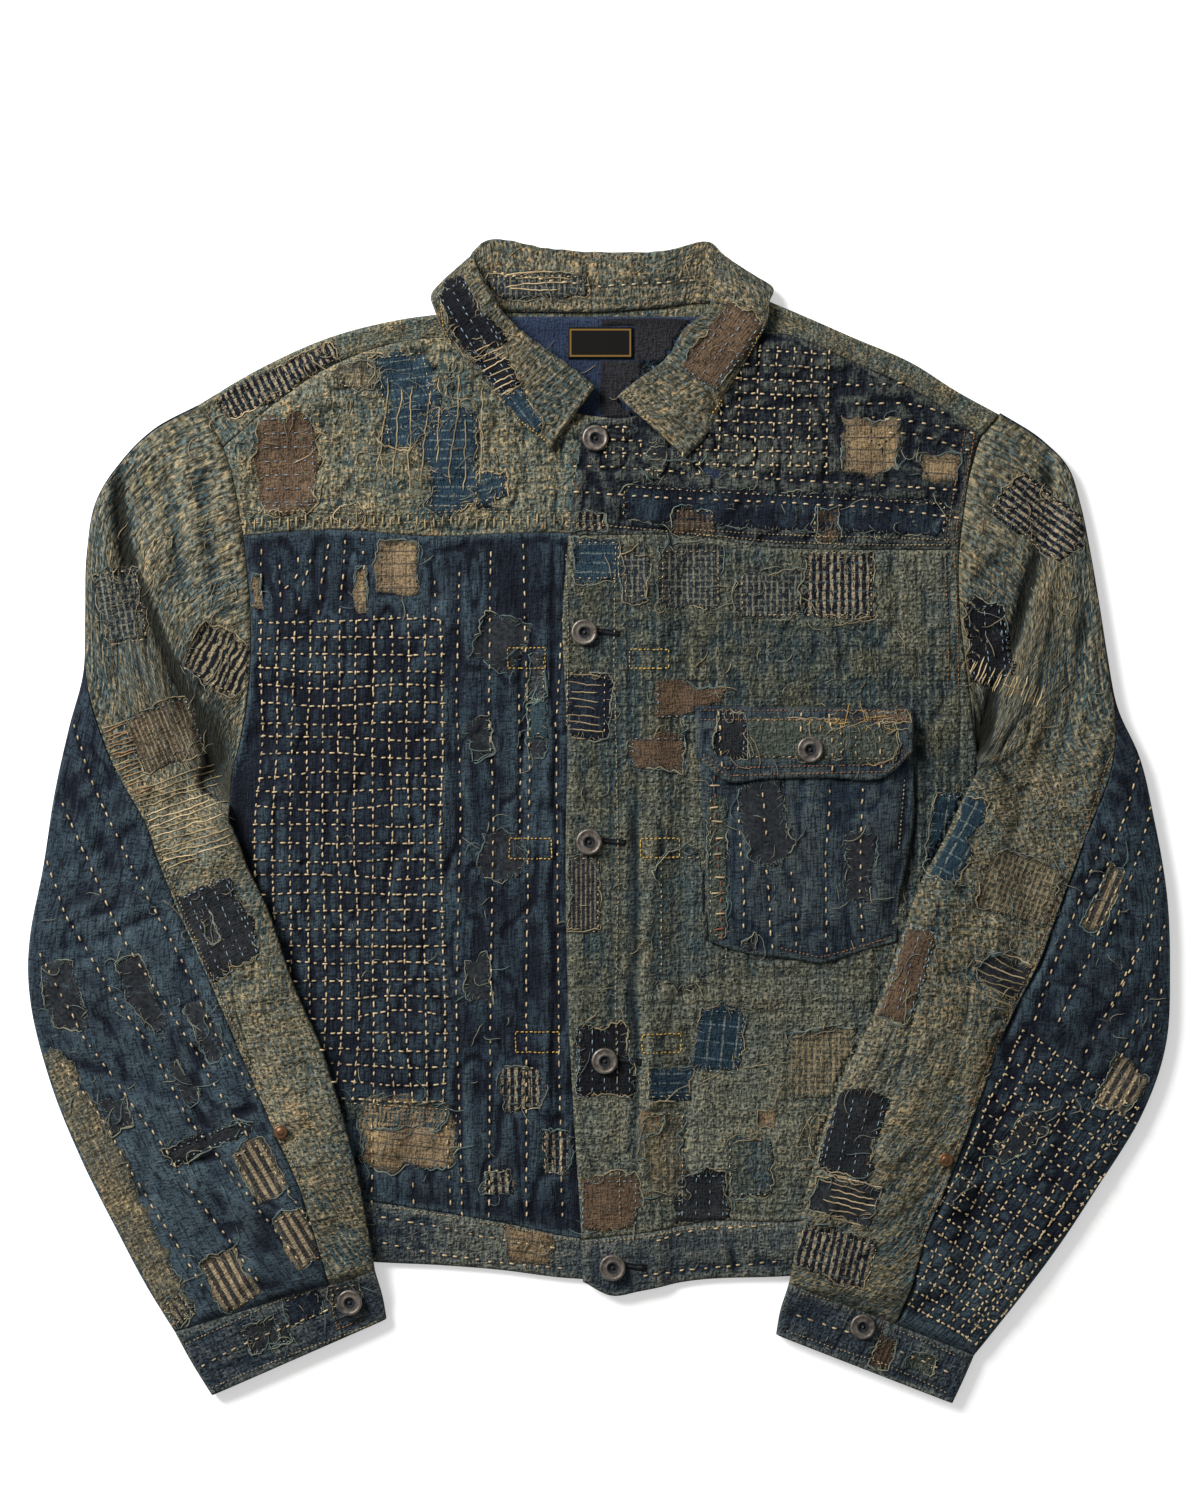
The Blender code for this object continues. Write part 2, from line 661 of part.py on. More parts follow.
def build_lining():
    lining_z = CLOTH + GAP
    label_z = lining_z + LINING + GAP
    lining = rectangle(LINING_X, LINING_Y, 5, 5)
    flat_piece("neck_lining", lining, lambda x, y: lining_z + 0.0 * x, LINING, "lining_blue")
    label = rectangle(LABEL_X, LABEL_Y, 3, 2)
    flat_piece("neck_label", label, lambda x, y: label_z + 0.0 * x, LABEL, "black_label")


# ---------------------------------------------------------------- sleeves and cuffs

# Shares of a sleeve's width near its edges, where its section rounds over
RING_EDGE = (0.008, 0.03, 0.08)
UNDER_SHARES = (0.84, 0.76, 0.68, 0.59, 0.5, 0.4, 0.28, 0.16)
UNDER_SEAM_SHARE = 0.5
LEAST_SEAM_SHARE = 0.012


def ring_shares(seam_share):
    """Shares of the width round a section, from the seam over the top to the inner edge, then
    along the underside to the outer edge, and back over the top to the seam."""
    seam_share = max(seam_share, LEAST_SEAM_SHARE)
    over = [seam_share + (1.0 - seam_share) * part for part in (0.0, 0.12, 0.35, 0.6)]
    upper = over + [1.0 - part for part in reversed(RING_EDGE)] + [1.0]
    lower = [1.0 - part for part in RING_EDGE] + list(UNDER_SHARES)
    lower += list(reversed(RING_EDGE)) + [0.0]
    back = [seam_share * part for part in (0.12, 0.35, 0.65, 1.0)]
    return upper, lower, back


def section(row, side, bow, inset=0.0):
    """One ring of the sleeve, moved inwards all round by the inset."""
    outer_x, outer_y, inner_x, inner_y, seam_share, height = row
    start = np.array([outer_x, outer_y], dtype=float)
    end = np.array([inner_x, inner_y], dtype=float)
    heading = (end - start) / np.linalg.norm(end - start)
    upper, lower, back = ring_shares(seam_share)
    shares = np.array(upper + lower + back)
    is_upper = np.array([True] * len(upper) + [False] * len(lower) + [True] * len(back))
    flat = start + (end - start) * shares[:, None] + bow(shares)
    flat = flat + heading * (inset * (1.0 - 2.0 * shares))[:, None]
    x, y = flat[:, 0], flat[:, 1]
    rest = sleeve_rest(x, y, side) + inset
    top = sleeve_upper(x, y, side, height) - inset
    middle = 0.5 * (top + rest)
    half = 0.5 * (top - rest)
    swell = (1.0 - np.abs(2.0 * shares - 1.0) ** SIDE_ROUNDNESS) ** (1.0 / SIDE_ROUNDNESS)
    return np.column_stack([flat, middle + np.where(is_upper, half, -half) * swell])


def armhole_bow(row, index, outward):
    """Bends the first ring from its straight chord on to the armhole's curve."""
    outer_x, outer_y, inner_x, inner_y = row[:4]

    def bow(shares):
        y = outer_y + (inner_y - outer_y) * shares
        curve_x = column(BODY_EDGE, index, y) + outward * ARMHOLE_SETBACK
        chord_x = outer_x + (inner_x - outer_x) * shares
        return np.column_stack([curve_x - chord_x, 0.0 * shares])

    return bow


def build_sleeve(side, table):
    """Two pieces, front and back, that meet at the seam on top and at one under the sleeve."""
    index, outward = (1, -1.0) if side == "right" else (2, 1.0)
    bend = armhole_bow(table[0], index, outward)
    outer_rings = []
    inner_rings = []
    for number, row in enumerate(table):
        fade = max(0.0, 1.0 - number / 3.0) ** 2

        def bow(shares, fade=fade):
            return fade * bend(shares)

        outer_rings.append(section(row, side, bow))
        inner_rings.append(section(row, side, bow, SLEEVE_WALL))
    outer = np.array(outer_rings)
    inner = np.array(inner_rings)
    for grid in (outer, inner):
        step = grid[-2] - grid[-1]
        grid[-1] += 2.0 * SETBACK * step / np.linalg.norm(step, axis=1, keepdims=True)
    upper, lower = ring_shares(UNDER_SEAM_SHARE)[:2]
    under_seam = len(upper) + lower.index(UNDER_SEAM_SHARE)
    front_outer = outer[:, :under_seam + 1].copy()
    front_inner = inner[:, :under_seam + 1].copy()
    back_outer = outer[:, under_seam:].copy()
    back_inner = inner[:, under_seam:].copy()
    for grid in (front_outer, front_inner, back_outer, back_inner):
        for line, neighbour in ((0, 1), (-1, -2)):
            step = grid[:, neighbour] - grid[:, line]
            grid[:, line] += SEAM_CLEARANCE * step / np.linalg.norm(step, axis=1, keepdims=True)
    cloth_solid(f"{side}_sleeve_front", front_outer, front_inner, "faded_teal")
    cloth_solid(f"{side}_sleeve_back", back_outer, back_inner, "indigo")


def build_cuff(side, table):
    def straight(shares):
        return 0.0 * shares[:, None]

    outer = np.array([section(row, side, straight) for row in table])
    inner = np.array([section(row, side, straight, SLEEVE_WALL) for row in table])
    for grid in (outer, inner):
        for line, neighbour in ((0, 1), (-1, -2)):
            step = grid[:, neighbour] - grid[:, line]
            grid[:, line] += 1.5 * SETBACK * step / np.linalg.norm(step, axis=1, keepdims=True)
    cloth_solid(f"{side}_cuff", outer, inner, "indigo")


# ---------------------------------------------------------------- pocket

def pocket_grid():
    across = 9
    rows = 9
    bottom = along(POCKET_BOTTOM, across)
    top = along(POCKET_TOP, across)
    right = along(POCKET_RIGHT, rows)
    left = np.linspace(bottom[0], top[0], rows)
    right[0], right[-1] = bottom[-1], top[-1]
    return patch(bottom, top, left, right, (0.0, 0.0, 0.0, 0.0))


def pocket_rise(grid):
    rows, columns = grid.shape[:2]
    across = np.linspace(0.0, 1.0, columns)[None, :]
    up = np.linspace(0.0, 1.0, rows)[:, None]
    return POCKET_BULGE * ease(across, 0.0, 0.25) * ease(1.0 - across, 0.0, 0.13) * ease(up, 0.0, 0.25)


def build_pocket():
    grid = pocket_grid()
    under = left_under(grid[..., 0], grid[..., 1]) + CLOTH + GAP + pocket_rise(grid)
    cloth_solid("pocket", raised(grid, under + CLOTH), raised(grid, under), "indigo")

    across = 11
    bottom = along(FLAP_BOTTOM, across)
    top = along(FLAP_TOP, across)
    ends = [np.linspace(bottom[end], top[end], 5) for end in (0, -1)]
    flap = patch(bottom, top, *ends, (0.0, 0.0, 0.0, 0.0))
    clear = (POCKET_BULGE + CLOTH + GAP + FLAP_CLEARANCE) * ease(74.0 - flap[..., 1], 0.0, 14.0)
    under = left_under(flap[..., 0], flap[..., 1]) + CLOTH + GAP + clear
    cloth_solid("pocket_flap", raised(flap, under + CLOTH), raised(flap, under), "indigo")


# ---------------------------------------------------------------- buttons and rivets

def seat_height(carrier, x, y, radius):
    """Highest point of the carrier under a round piece of the given radius."""
    mesh = carrier.data
    tree = BVHTree.FromPolygons([vertex.co for vertex in mesh.vertices],
                                [tuple(face.vertices) for face in mesh.polygons])
    highest = 0.0
    for share in (0.0, 0.5, 1.0):
        for turn in range(12):
            angle = math.radians(30.0 * turn)
            place = Vector((MM * (x + share * radius * math.cos(angle)),
                            MM * (y + share * radius * math.sin(angle)), 0.2))
            hit = tree.ray_cast(place, Vector((0.0, 0.0, -1.0)))[0]
            if hit:
                highest = max(highest, hit.z / MM)
    return highest


def turned_piece(name, x, y, z, profile, look):
    """Solid of revolution about an upright axis; the profile runs from its base to its crown."""
    vertices = []
    faces = []
    for radius, height in profile:
        for turn in range(ROUND_SIDES):
            angle = 2.0 * math.pi * turn / ROUND_SIDES
            vertices.append((x + radius * math.cos(angle), y + radius * math.sin(angle), z + height))
    for level in range(len(profile) - 1):
        for turn in range(ROUND_SIDES):
            following = (turn + 1) % ROUND_SIDES
            low = level * ROUND_SIDES
            high = low + ROUND_SIDES
            faces.append([low + turn, low + following, high + following, high + turn])
    faces.append(list(reversed(range(ROUND_SIDES))))
    last = (len(profile) - 1) * ROUND_SIDES
    faces.append([last + turn for turn in range(ROUND_SIDES)])
    return new_object(name, vertices, faces, look, smooth=True)


def build_button(name, carrier, place, radius):
    x, y = place
    z = seat_height(carrier, x, y, radius) + GAP
    profile = (
        (0.82 * radius, 0.0),
        (radius, 0.22 * BUTTON_HEIGHT),
        (0.97 * radius, 0.62 * BUTTON_HEIGHT),
        (0.72 * radius, BUTTON_HEIGHT),
        (0.46 * radius, 0.80 * BUTTON_HEIGHT),
        (0.20 * radius, 0.70 * BUTTON_HEIGHT),
    )
    turned_piece(name, x, y, z, profile, "aged_steel")


def build_rivet(name, carrier, place):
    x, y = place
    z = seat_height(carrier, x, y, RIVET_RADIUS) + GAP
    profile = (
        (RIVET_RADIUS, 0.0),
        (RIVET_RADIUS, 0.35 * RIVET_HEIGHT),
        (0.62 * RIVET_RADIUS, 0.62 * RIVET_HEIGHT),
        (0.40 * RIVET_RADIUS, RIVET_HEIGHT),
    )
    turned_piece(name, x, y, z, profile, "aged_copper")


def build_fastenings():
    pieces = bpy.data.objects
    carriers = ("left_front_yoke", "left_front", "left_front", "left_front", "left_waistband")
    for number, (carrier, place) in enumerate(zip(carriers, FRONT_BUTTONS), start=1):
        build_button(f"front_button_{number}", pieces[carrier], place, BUTTON_RADIUS)
    build_button("pocket_button", pieces["pocket_flap"], FLAP_BUTTON, BUTTON_RADIUS)
    build_button("right_cuff_button", pieces["right_cuff"], RIGHT_CUFF_BUTTON, CUFF_BUTTON_RADIUS)
    build_button("left_cuff_button", pieces["left_cuff"], LEFT_CUFF_BUTTON, CUFF_BUTTON_RADIUS)
    build_rivet("right_sleeve_rivet", pieces["right_sleeve_front"], RIGHT_RIVET)
    build_rivet("left_sleeve_rivet", pieces["left_sleeve_front"], LEFT_RIVET)


def main():
    clear_scene()
    build_back()
    build_back_yoke()
    build_front_yokes()
    build_fronts()
    build_waistbands()
    build_collar()
    build_lining()
    build_sleeve("right", RIGHT_SLEEVE)
    build_sleeve("left", LEFT_SLEEVE)
    build_cuff("right", RIGHT_CUFF)
    build_cuff("left", LEFT_CUFF)
    build_pocket()
    build_fastenings()


main()
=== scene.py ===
"""The looks of the patched boro jacket: cloth, patches, stitches, frayed yarn and buttons.

Tables are in millimetres in the frame's axes: +X is the wearer's left, +Y runs towards the collar
and +Z up. Meshes are in metres. Each cloth piece is a thin shell on its own solid's form, and
what lies on it, from patches to loose yarn, is dropped on to the finished shells from above.
"""

import json
import math
from collections import namedtuple

import bpy
import numpy as np
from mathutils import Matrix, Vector
from mathutils.bvhtree import BVHTree

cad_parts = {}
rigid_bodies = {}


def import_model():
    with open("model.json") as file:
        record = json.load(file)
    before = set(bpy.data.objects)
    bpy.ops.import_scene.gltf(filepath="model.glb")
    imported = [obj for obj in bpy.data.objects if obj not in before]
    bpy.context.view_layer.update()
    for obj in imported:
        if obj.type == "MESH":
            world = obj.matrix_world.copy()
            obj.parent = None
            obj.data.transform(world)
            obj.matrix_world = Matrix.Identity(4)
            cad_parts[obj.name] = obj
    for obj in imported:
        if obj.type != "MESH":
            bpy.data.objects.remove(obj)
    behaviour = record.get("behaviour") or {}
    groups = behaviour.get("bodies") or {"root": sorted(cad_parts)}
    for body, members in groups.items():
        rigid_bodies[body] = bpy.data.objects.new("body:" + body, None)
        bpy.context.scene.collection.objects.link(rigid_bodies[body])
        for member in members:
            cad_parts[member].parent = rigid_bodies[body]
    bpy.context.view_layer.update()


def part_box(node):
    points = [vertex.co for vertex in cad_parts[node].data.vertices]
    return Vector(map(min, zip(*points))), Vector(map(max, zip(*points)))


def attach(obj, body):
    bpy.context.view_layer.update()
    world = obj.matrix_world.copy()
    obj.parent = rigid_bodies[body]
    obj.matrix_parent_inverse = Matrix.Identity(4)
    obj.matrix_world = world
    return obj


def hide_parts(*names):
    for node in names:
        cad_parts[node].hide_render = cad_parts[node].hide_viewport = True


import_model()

bl_info = {
    "name": "Patched boro jacket",
    "version": (1, 0, 0),
    "blender": (4, 5, 0),
    "location": "View3D > Sidebar > Boro jacket",
    "description": "Makes the cloth, patches, stitches, buttons and studio of a patched jacket",
    "category": "Object",
}

MM = 0.001


# ---- sizes, as the solids have them

# Walls: patched cloth, waistband, sleeves and cuffs, neck lining, woven label; gap between pieces
CLOTH = 2
BAND = 2.6
SLEEVE_WALL = 2.8
LINING = 1
LABEL = 0.7
GAP = 0.3
SETBACK = 0.04
ARMHOLE_SETBACK = 0.12
SEAM_CLEARANCE = 0.12
# How the fronts lie over the back, and the left one over the right one
FRONT_LIFT = 2.9
LIFT_REACH = 32
LAP_STEP = 3.3
LAP_END = 50
LAP_REACH = 14
BUTTON_RADIUS = 8.5
BUTTON_HEIGHT = 3.2
RIVET_RADIUS = 4.4
RIVET_HEIGHT = 1.8

# Side seam and armhole from hem to shoulder: y, x of the right edge, x of the left edge
BODY_EDGE = (
    (-292, -211, 209), (-246, -216, 213), (-209, -224, 221), (-145, -233, 234), (-81, -239, 243),
    (-40, -240, 246), (-5, -237, 245), (12, -237, 243), (31, -236, 241), (51, -231, 241),
    (66, -228, 239), (90, -225, 236), (130, -224, 231), (169, -227, 230), (198, -231, 233),
    (231, -238, 239), (250, -246, 246), (261, -253, 255), (268, -258, 261),
)
# Edge of the left front, from hem to neck: y, x
OPENING_EDGE = (
    (-303, -5), (-293, -12), (-267, -12), (-216, -15), (-126, -20), (-22, -22), (60, -21),
    (130, -24), (184, -20), (257, -12),
)
# Seams across the body: x, y
RIGHT_WAIST_SEAM = ((-217, -240), (-146, -243), (-112, -248), (-59, -257), (-16, -266), (18, -268))
RIGHT_HEM = ((-212, -276), (-144, -282), (-102, -284), (-64, -287), (-24, -292), (18, -294))
LEFT_WAIST_SEAM = ((-12, -267), (31, -262), (79, -255), (112, -256), (168, -252), (213, -246))
LEFT_HEM = ((-11, -294), (8, -303), (26, -300), (58, -294), (120, -291), (168, -287), (210, -281))
RIGHT_YOKE_SEAM = ((-228, 184), (-194, 187), (-164, 188), (-117, 184), (-47, 186), (18, 185))
LEFT_YOKE_SEAM = ((-20, 184), (74, 182), (96, 178), (161, 175), (230, 175))
BACK_WAIST_SEAM = ((-217, -242), (0, -250), (213, -247))
BACK_HEM = ((-211, -275), (0, -283), (209, -279))
BACK_YOKE_Y = 150
# Shoulder line (the fold) and the shoulder seam in front of it, from neck to armhole: x, y
RIGHT_FOLD = ((-88, 328), (-128, 323), (-172, 312), (-221, 290), (-258, 268))
LEFT_FOLD = ((100, 338), (129, 326), (161, 312), (202, 294), (227, 278), (256, 262))
RIGHT_SHOULDER_SEAM = ((-88, 312), (-129, 308), (-172, 293), (-212, 266), (-241, 241))
LEFT_SHOULDER_SEAM = ((100, 318), (129, 310), (161, 296), (211, 272), (244, 248))
# Neckline of each front, from shoulder seam to front edge, and of the back: x, y
RIGHT_NECK = ((-88, 312), (-76, 303), (-61, 288), (-44, 274), (-20, 264), (18, 258))
LEFT_NECK = ((100, 318), (90, 301), (75, 285), (59, 274), (30, 262), (-12, 257))
BACK_NECK = ((-88, 328), (-70, 331), (0, 331), (74, 337), (100, 338))

# Collar from its right front end round the neck to its left front end: seam x, y; roll x, y;
# outer edge x, y; lie of the fall (0 on top, 180 underneath); height of the edge over the cloth
COLLAR = (
    (-14, 264, -3, 279, -32, 239, 0, 0), (-27, 268, -14, 288, -47, 253, 0, 0),
    (-47, 276, -32, 301, -63, 269, 0, 0), (-64, 290, -53, 317, -80, 289, 0, 0.6),
    (-79, 304, -65, 331, -95, 306, 0, 2.2), (-87, 316, -74, 347, -105, 326, 25, 3.2),
    (-82, 328, -80, 362, -106, 342, 90, 0), (-70, 328, -76, 371, -92, 354, 150, 0),
    (-37, 328, -37, 369, -42, 341, 180, 0), (1, 328, 1, 366, 1, 339, 180, 0),
    (40, 331, 40, 366, 44, 341, 180, 0), (74, 334, 73, 370, 90, 354, 150, 0),
    (92, 334, 75, 362, 107, 346, 90, 0), (99, 321, 73, 346, 108, 332, 25, 3.2),
    (91, 303, 70, 330, 107, 320, 0, 2.6), (77, 287, 54, 315, 97, 302, 0, 0.6),
    (62, 276, 44, 298, 81, 275, 0, 0), (42, 267, 25, 283, 67, 247, 0, 0),
    (25, 263, 11, 272, 55, 234, 0, 0),
)
COLLAR_ROLL_RADIUS = 1.7
BACK_SEAM_Z = 3.4
BACK_STAND_CLIMB = 1.4

# Sleeves from armhole to cuff: outer edge x, y; inner edge x, y; share of the width at which the
# seam between the front and back piece shows; height of the upper side
RIGHT_SLEEVE = (
    (-258, 268, -236, 31, 0, 7.6), (-287, 252, -239, 28, 0, 8), (-308, 231, -240, 25, 0, 8.5),
    (-323, 206, -240.5, 22, 0, 9), (-329, 172, -240.5, 19, 0, 9.2), (-330, 132, -240.5, 16, 0, 9.4),
    (-331, 97, -240, 12, 0.02, 9.6), (-340, 62, -239, 5, 0.235, 9.8), (-349, 22, -233, -7, 0.465, 9.8),
    (-357, -28, -225, -28, 0.576, 9.6), (-365.5, -72, -212, -55, 0.638, 9.6),
    (-365.5, -114, -196, -102, 0.7, 9.6), (-353, -165, -178, -143, 0.714, 9.6),
    (-334, -213, -164, -188, 0.74, 9.6), (-309, -263, -153, -232, 0.77, 9.4),
    (-292, -295, -148, -260, 0.775, 9.2), (-273, -326, -144, -286, 0.78, 9),
)
LEFT_SLEEVE = (
    (256, 263, 241, 51, 0, 7.6), (284, 245, 244, 49, 0, 8), (300, 228, 245, 47, 0, 8.5),
    (308, 204, 245.5, 45, 0, 9), (314, 175, 245.5, 43, 0, 9.2), (320, 140, 245.5, 41, 0, 9.4),
    (325, 108, 244.5, 38, 0.01, 9.6), (331, 76, 241, 32, 0.02, 9.6), (345, 44, 233, 17, 0.15, 9.8),
    (355, 3, 221, -8, 0.306, 9.8), (363, -42, 205, -38, 0.405, 9.6), (365.5, -92, 190, -80, 0.477, 9.6),
    (363, -142, 174, -124, 0.55, 9.6), (348, -186, 153, -167, 0.54, 9.6),
    (318, -235, 138, -212, 0.52, 9.6), (287, -281, 127, -258, 0.506, 9.4),
    (264, -311, 124, -277, 0.465, 9.2), (240, -341, 121, -294, 0.43, 9),
)
# Cuffs: outer edge x, y; inner edge x, y; share at which the button tab ends; height
RIGHT_CUFF = (
    (-273, -326, -144, -286, 0.77, 8.8), (-262, -346, -140, -301, 0.765, 8.8),
    (-249, -367, -137, -318, 0.76, 8.6),
)
LEFT_CUFF = (
    (240, -341, 121, -294, 0.48, 8.8), (233, -357, 116, -311, 0.475, 8.8),
    (226, -372, 113, -328, 0.47, 8.6),
)
# Where the bent sleeve folds over its own cap: y, x of the right fold, x of the left fold
SLEEVE_FOLD = (
    (-40, -80, 80), (0, -190, 160), (12, -238, 205), (44, -252, 243), (92, -273, 258),
    (138, -294, 274), (168, -306, 282), (215, -312, 290), (268, -300, 285),
)
# y between which each sleeve climbs from the table on to the body: low end, high end
RIGHT_CLIMB = (3, 14)
LEFT_CLIMB = (39, 49)
CLIMB_HEIGHT = 3.9
CLIMB_START = 7
CLIMB_REACH = 28
CLIMB_SHARE = 0.88
SIDE_ROUNDNESS = 7
LEAST_SEAM_SHARE = 0.004

# Patch pocket on the left front, and its flap: x, y
POCKET_BOTTOM = ((70, -76), (84, -81), (129, -88), (141, -90), (161, -84), (190, -76))
POCKET_TOP = ((63, 58), (100, 58), (150, 58), (200, 58))
POCKET_RIGHT = ((190, -76), (192, -47), (200, -8), (200, 58))
POCKET_BULGE = 3.2
FLAP_CLEARANCE = 0.5
FLAP_TOP = ((61, 75), (130, 74), (200, 74))
FLAP_BOTTOM = ((61, 42), (83, 26), (103, 28), (145, 29), (183, 30), (200, 46))

LINING_X = (-74, 88)
LINING_Y = (205, 325)
LABEL_X = (-20.5, 21)
LABEL_Y = (298, 318)

# Soft folds of the body: start x, y; end x, y; height; half width
BODY_FOLDS = (
    (-35, 175, -30, -240, 1, 9), (34, 150, 30, -235, 0.9, 8), (-215, 100, -120, 150, 0.9, 14),
    (-190, -215, -60, -236, 0.8, 10), (60, -225, 190, -205, 0.8, 11), (205, 150, 120, 110, 0.8, 13),
)


# ---- folds and puckers

# Creases on each piece: start x, y; end x, y; height (negative is a trough); half width
CREASES = {
    "right_front": ((-31, 186, -28, -262, -1.7, 1.4), (-52, 182, -50, -60, -1.1, 1.5),
        (-191, 130, -190, 5, -1.7, 5), (-100, 136, -102, -182, 0.9, 1.8), (-238, 62, -178, 40, -1.4, 6),
        (-235, 96, -168, 74, -1.1, 6), (-216, -188, -118, -214, 1.4, 9), (-204, -212, -66, -233, -1.5, 6),
        (-128, -176, -104, -236, -1.2, 4), (-80, 60, -62, 24, -1.2, 3), (-226, -60, -140, -84, -1, 7),
        (-214, -120, -120, -140, 1, 8)),
    "left_front": ((19, 178, 22, -260, -2.4, 2), (38, 4, 38, -126, -2.2, 2.2),
        (30, -10, 30, -250, 1.4, 4), (36, 178, 38, 40, -0.8, 1.8), (53, 60, 55, -255, -1, 2.2),
        (194, 96, 199, -74, -2, 5), (58, 140, 232, 132, -1, 2.6), (14, 112, 120, 106, -0.8, 3),
        (-14, -70, 70, -96, -1.1, 4), (40, -120, 128, -108, 1.1, 7), (60, -196, 200, -176, -1.2, 6),
        (26, -214, 150, -222, 1.1, 8), (224, 60, 176, 96, -1.4, 5), (232, 96, 196, 118, 1.2, 6),
        (206, -110, 178, -196, -1.4, 6)),
    "right_front_yoke": ((-236, 214, -120, 238, -1, 6), (-232, 246, -160, 290, 1.2, 8),
        (-150, 306, -128, 206, -1, 5), (-108, 300, -66, 206, 1, 7), (-50, 262, -44, 196, -1, 4)),
    "left_front_yoke": ((-6, 231, 232, 216, -0.9, 3), (20, 209, 232, 197, 0.9, 5),
        (150, 306, 152, 228, -0.9, 4), (170, 292, 236, 262, 1, 7), (96, 300, 60, 240, 0.9, 8)),
    "right_waistband": ((-190, -262, -80, -276, 0.8, 6), (-120, -246, -112, -284, -0.9, 3)),
    "left_waistband": ((30, -276, 150, -274, 0.8, 6), (84, -262, 90, -294, -0.9, 3)),
    "right_sleeve": ((-318, 186, -253, 38, -3.2, 4.5), (-262, 122, -226, 104, -2, 2.6),
        (-266, 106, -229, 88, -2, 2.6), (-262, 92, -232, 70, -1.8, 2.6), (-254, 82, -242, 24, -4, 8),
        (-286, 246, -262, 128, -2, 4), (-258, 246, -247, 132, -1.6, 4), (-302, 226, -284, 146, 1.8, 5),
        (-272, 240, -254, 150, 1.6, 5), (-346, 150, -322, 60, 1.8, 7), (-352, 40, -300, -40, -1.6, 7),
        (-328, -78, -276, -50, -1.6, 3.6), (-364, -96, -300, -124, 1.8, 8), (-300, -6, -236, -28, 1.2, 6),
        (-350, -150, -280, -170, -1.4, 5), (-276, -220, -236, -209, -2.2, 2.6),
        (-236, -186, -213, -178, -1.8, 2.6), (-213, -178, -208, -216, -1.6, 2.4),
        (-320, -206, -230, -236, 1.4, 8), (-212, -240, -160, -252, 1, 6), (-208, -90, -176, -180, -1, 5)),
    "left_sleeve": ((302, 226, 276, 143, -3, 4), (276, 143, 241, 36, -3, 4),
        (262, 176, 240, 150, -1.6, 4), (270, 200, 248, 168, 1.4, 5), (268, 128, 236, 120, -1.8, 3),
        (290, 150, 262, 40, 1.6, 6), (318, 150, 292, 20, -1.8, 5), (334, 110, 308, -10, 1.6, 6),
        (300, 100, 256, -40, -1.4, 5), (236, -10, 180, -120, 1.4, 8), (352, -20, 290, -44, -1.4, 5),
        (360, -96, 280, -130, 1.6, 9), (346, -160, 262, -176, -1.5, 6), (300, -200, 230, -236, 1.2, 8),
        (190, -150, 150, -236, -1.2, 5), (214, -240, 166, -262, -1.2, 5)),
    "pocket": ((96, 20, 100, -70, 0.7, 8), (150, 10, 176, -60, -0.8, 6), (84, 30, 86, -74, -0.9, 1.4)),
    "pocket_flap": ((64, 58, 196, 56, -0.7, 4), (138, 70, 150, 34, 0.8, 7)),
    "right_cuff": ((-256, -346, -150, -306, 0.6, 5),),
    "left_cuff": ((236, -350, 130, -312, 0.6, 5),),
}
# Fine puckers of each kind of cloth: grain across and along, height; the last row's troughs are
# sharp
PUCKERS = {
    "right_front": ((7, 24, 0.8), (14, 10, 0.8), (44, 40, 1.3), (11, 40, 1.6)),
    "left_front": ((6, 9, 0.6), (12, 7, 0.6), (26, 24, 1.1), (10, 28, 1.2)),
    "yoke": ((6, 6, 0.9), (10, 8, 0.9), (22, 16, 1.2), (40, 30, 1.2), (14, 20, 1.8)),
    "sleeve": ((7, 9, 1), (18, 16, 1.5), (46, 50, 2), (16, 26, 1.1)),
    "plain": ((8, 9, 0.6), (20, 16, 0.8), (50, 50, 0.8), (16, 26, 1.1)),
}
PUCKER_KIND = {
    "right_front": "right_front", "left_front": "left_front", "right_front_yoke": "yoke",
    "left_front_yoke": "yoke", "right_sleeve": "sleeve", "left_sleeve": "sleeve",
}
# Quilting rows with no stitch in sight: piece, rows, first row, last row, depth, half width
QUILTING = (
    ("left_front", 15, (-12, 178, -6, -262), (226, 172, 208, -250), 0.55, 1.6),
    ("left_front", 23, (-16, 166, 226, 158), (-8, -250, 206, -240), 0.45, 1.8),
    ("right_front_yoke", 11, (-222, 262, -224, 190), (-30, 262, -26, 192), 0.5, 1.6),
    ("right_front_yoke", 9, (-236, 205, -10, 205), (-150, 300, -70, 300), 0.45, 1.8),
    ("right_front", 6, (-96, 180, -96, -258), (-14, 180, -12, -262), 0.4, 1.6),
)
GROOVE_DEPTH = 0.75
GROOVE_HALF_WIDTH = 1.7


# ---- stitches

# Kinds of sewn row: thread, pitch, stitch length
ROW_KINDS = {
    "row": ("cream", 7.4, 3.7), "tan": ("tan", 2.7, 1.7), "wide tan": ("tan", 3.6, 2.2),
    "orange": ("orange", 2.8, 1.8), "gold": ("gold", 2.2, 1.5), "rust": ("rust", 5.5, 3.2),
    "box": ("gold", 2.6, 2.2),
}
